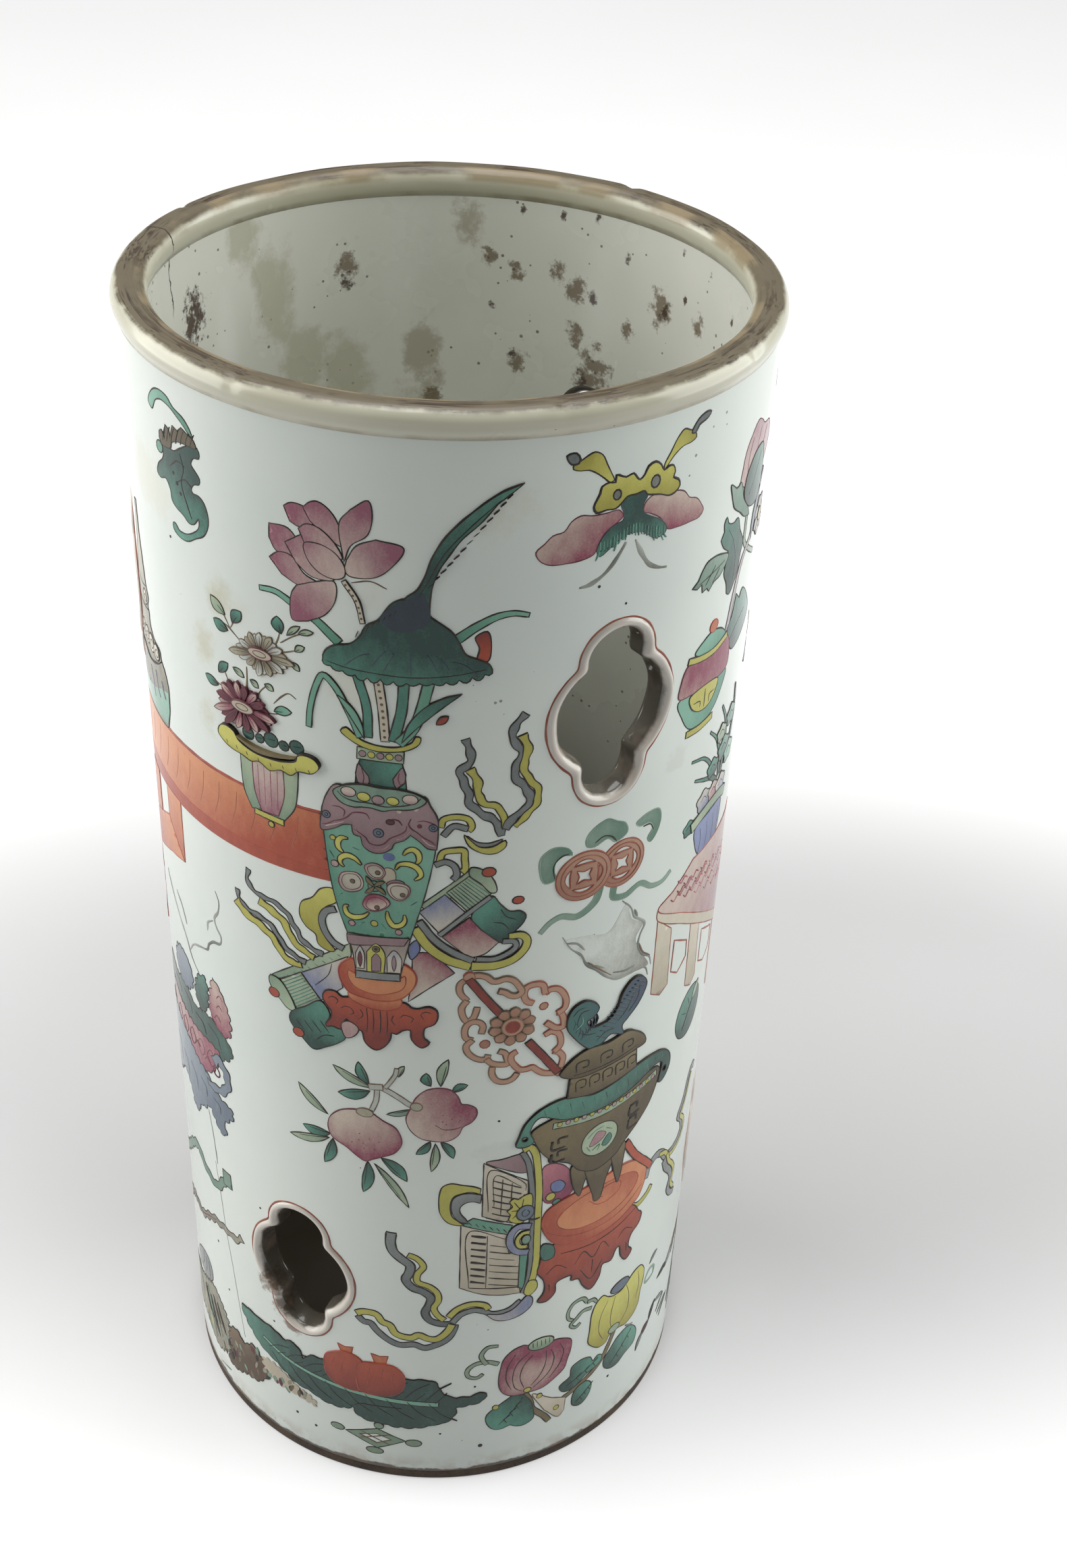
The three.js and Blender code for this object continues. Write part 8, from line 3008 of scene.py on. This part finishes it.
    @staticmethod
    def bush(p: Painting) -> None:
        """Draws the leaf, the olive grass and the brown scrub near the foot."""
        p.fill(blob((-81.8, 33.4), (-75.1, 38.3), (-71.2, 38.7), (-69.6, 36.9), (-69.2, 33.4), (-73.4, 29.9),
                    (-77.2, 29.6), (-81, 30.1)), SLATE, depth=0.8, width=0.3)
        for i in range(3):
            p.line((-78 + i * 3.4, 30.6 + i * 0.6), (-76 + i * 2.4, 34), (-75.6 + i * 2, 37.4), width=0.34)
        p.fill(ragged(blob((-92, 22), (-84, 25), (-76.2, 28.1), (-68.8, 31.6), (-65.8, 30.4), (-62.7, 27.7),
                           (-61, 24.4), (-60.9, 19.1), (-58, 18), (-62.1, 14.3), (-67.8, 10.6), (-71, 11.1),
                           (-75.2, 12.7), (-78.4, 13.6), (-92, 13)), 0.9, 2.2), STRAW,
               depth=0.85, width=0.3)
        for i in range(30):
            u, z = p.random.uniform(-82, -61), p.random.uniform(12, 21)
            long = p.random.uniform(3, 8)
            p.fill(petal((u, z), (u - long * 0.55, z + long), p.random.uniform(0.6, 1.3), 0.3),
                   p.random.choice((YELLOW, SAGE, BROWN, INK)), depth=0.6, line=None)
        p.fill(ragged(blob((-60.7, 23.7), (-56.9, 26.4), (-54.2, 24.4), (-49.9, 26.7), (-47.5, 24.5),
                           (-45.2, 23.1), (-45.9, 18.8), (-48.9, 15.2), (-53.6, 14), (-58.3, 11.5),
                           (-62.1, 11.8), (-60.4, 17.6)), 1.0, 2.4), SEPIA, wash=((-60, 30), (-54, 18)),
               width=0.3)
        p.fill(ragged(blob((-46.7, 25), (-43.8, 26), (-40, 25), (-36, 22.8), (-31, 20.6), (-30, 18.8),
                           (-35, 19.4), (-41.2, 19.6), (-45.4, 21)), 0.8, 2.0), CREAM, depth=1.0, line=None)
        for i in range(34):
            u = p.random.uniform(-62, -33)
            z = 19 + (u + 62) * 0.05 + p.random.uniform(-6, 5) * (0.3 if u > -46 else 1)
            p.fill(petal((u, z), (u + p.random.uniform(-1.4, 1.4), z + p.random.uniform(1.4, 3)),
                         p.random.uniform(0.7, 1.6)), p.random.choice((BROWN, PLUM, INK, STRAW, SAGE)),
                   depth=0.7, line=None)
        p.line((-67.6, 5.7), (-65, 6.5), (-61.8, 7.5), width=0.7, enamel=SMOKE)


class FootGrass(Motif):
    """A curl and dark grass strokes that run round the right side above the foot."""

    name = "foot_grass"

    def paint(self, p: Painting) -> None:
        """Draws the curl, the smudge and the strokes."""
        p.stroke(blob((64.8, 43.5), (62.5, 44.1), (61, 42.7), (60.7, 41), (62.7, 40.5), (64.8, 41.1)), 1.1,
                 SAGE, closed=True)
        p.line((53.2, 32.2), (55, 30.9), (56.5, 30.4), width=0.8, enamel=SMOKE)
        p.line((89, 43), (85.7, 41), (81.2, 39.7), (77.4, 37.9), width=0.6, enamel=SEPIA)
        for base, tip, width, enamel in (
                ((62.3, 46.2), (66, 48.2), 1.4, SLATE), ((68, 35.8), (74.8, 35.6), 1.8, INK),
                ((73.4, 34.8), (80.5, 36.6), 2.6, SLATE), ((79, 34.8), (86, 40), 2.4, STRAW),
                ((84, 24), (89.5, 33), 2.6, SLATE), ((83.7, 9.3), (86.6, 19), 1.6, STRAW),
                ((80.8, 15), (86, 25), 2.2, SAGE), ((67.4, 27.6), (74.8, 24.8), 1.2, SLATE),
                ((65.3, 23.2), (68.2, 28.4), 1.8, INK), ((71.2, 20), (77.7, 21.4), 1.2, SLATE),
                ((73, 17.6), (79, 21), 1.0, STRAW), ((70, 22), (75, 24.4), 0.9, SAGE),
                ((61.4, 20.8), (65.5, 23.6), 2.0, PLUM), ((59.4, 17.6), (62.5, 22.2), 1.5, SLATE),
                ((86.5, 34), (92, 42), 2.0, STRAW), ((88, 14), (93, 22), 2.0, SLATE)):
            p.fill(petal(base, tip, width, 0.4), enamel, depth=0.85, width=0.26)


class Outlines(Motif):
    """The iron-red line that follows each collar."""

    name = "collar_outlines"

    def paint(self, p: Painting) -> None:
        """Draws a line round each window."""
        for window in WINDOWS:
            ring = quatrefoil(2.5) + (window.u, window.height)
            p.stroke([tuple(point) for point in ring], 0.45, IRON_INK, closed=True)


class Marks(Motif):
    """A hairline crack down the left side and small kiln specks."""

    name = "age_marks"

    def paint(self, p: Painting) -> None:
        """Draws the crack and the specks."""
        p.line((-61.5, 80), (-60, 70), (-58.5, 58), (-57, 50), (-55.5, 40), (-53.5, 27), width=0.16,
               enamel=CRACK, fade=0.8)
        for u, z, radius in ((-44.5, 77.5, 0.3), (-63.5, 52, 0.35), (-59.5, 38.7, 0.3), (-42, 41.5, 0.28),
                             (-36, 13, 0.4), (-30.5, 11.3, 0.4), (1.5, 17, 0.3), (9.7, 33.2, 0.3),
                             (13, 118, 0.3), (-60, 243.5, 0.3), (28, 246, 0.3), (34, 241, 0.25),
                             (11.5, 11.5, 0.6), (48, 18, 0.4)):
            p.fill(disc((u, z), radius), INK, depth=0.6, line=None)


MOTIFS = (LeftEdge(), RightEdge(), Table(), LeftVase(), Bat(), Chrysanthemums(), Scrolls(), VaseRibbons(),
          VaseStand(), Vase(), Lotus(), Butterfly(), Coins(), Rock(), Lozenge(), Books(), Censer(),
          LongRibbon(), Peaches(), LeafAndFruits(), Pomegranates(), FootGrass())
LAYOUTS = (("", Placement()), ("_back", Placement(around=197.0, mirrored=True)))
FILLERS = [
    (Bat(), "_right", Placement(pivot=(-55, 259), around=154, up=-4)),
    (Peaches(), "_right", Placement(pivot=(-13, 117), around=112, up=95, scale=0.7)),
    (Lozenge(), "_left", Placement(pivot=(15, 144.5), around=-114.4, scale=0.8)),
    (Bat(), "_left", Placement(pivot=(-55, 259), around=-44.4, up=-150))]


def main() -> None:
    """Builds the pot, its painting and the studio."""
    logging.basicConfig(level=logging.INFO, format="%(name)s %(message)s")
    pot = PotShape()
    canvas = Canvas()
    Wall(pot).build()
    for window in WINDOWS:
        Collar(pot, window).build()
    Lip(pot).build()
    Foot(pot).build()
    work = [(motif, ending, placement) for ending, placement in LAYOUTS for motif in MOTIFS]
    work += FILLERS
    work += [(Outlines(), "", Placement()), (Marks(), "", Placement())]
    for motif, ending, placement in work:
        painting = Painting(motif.name + ending, pot, canvas, placement)
        motif.paint(painting)
        painting.finish()
    Studio().build()


if __name__ == "__main__":
    main()
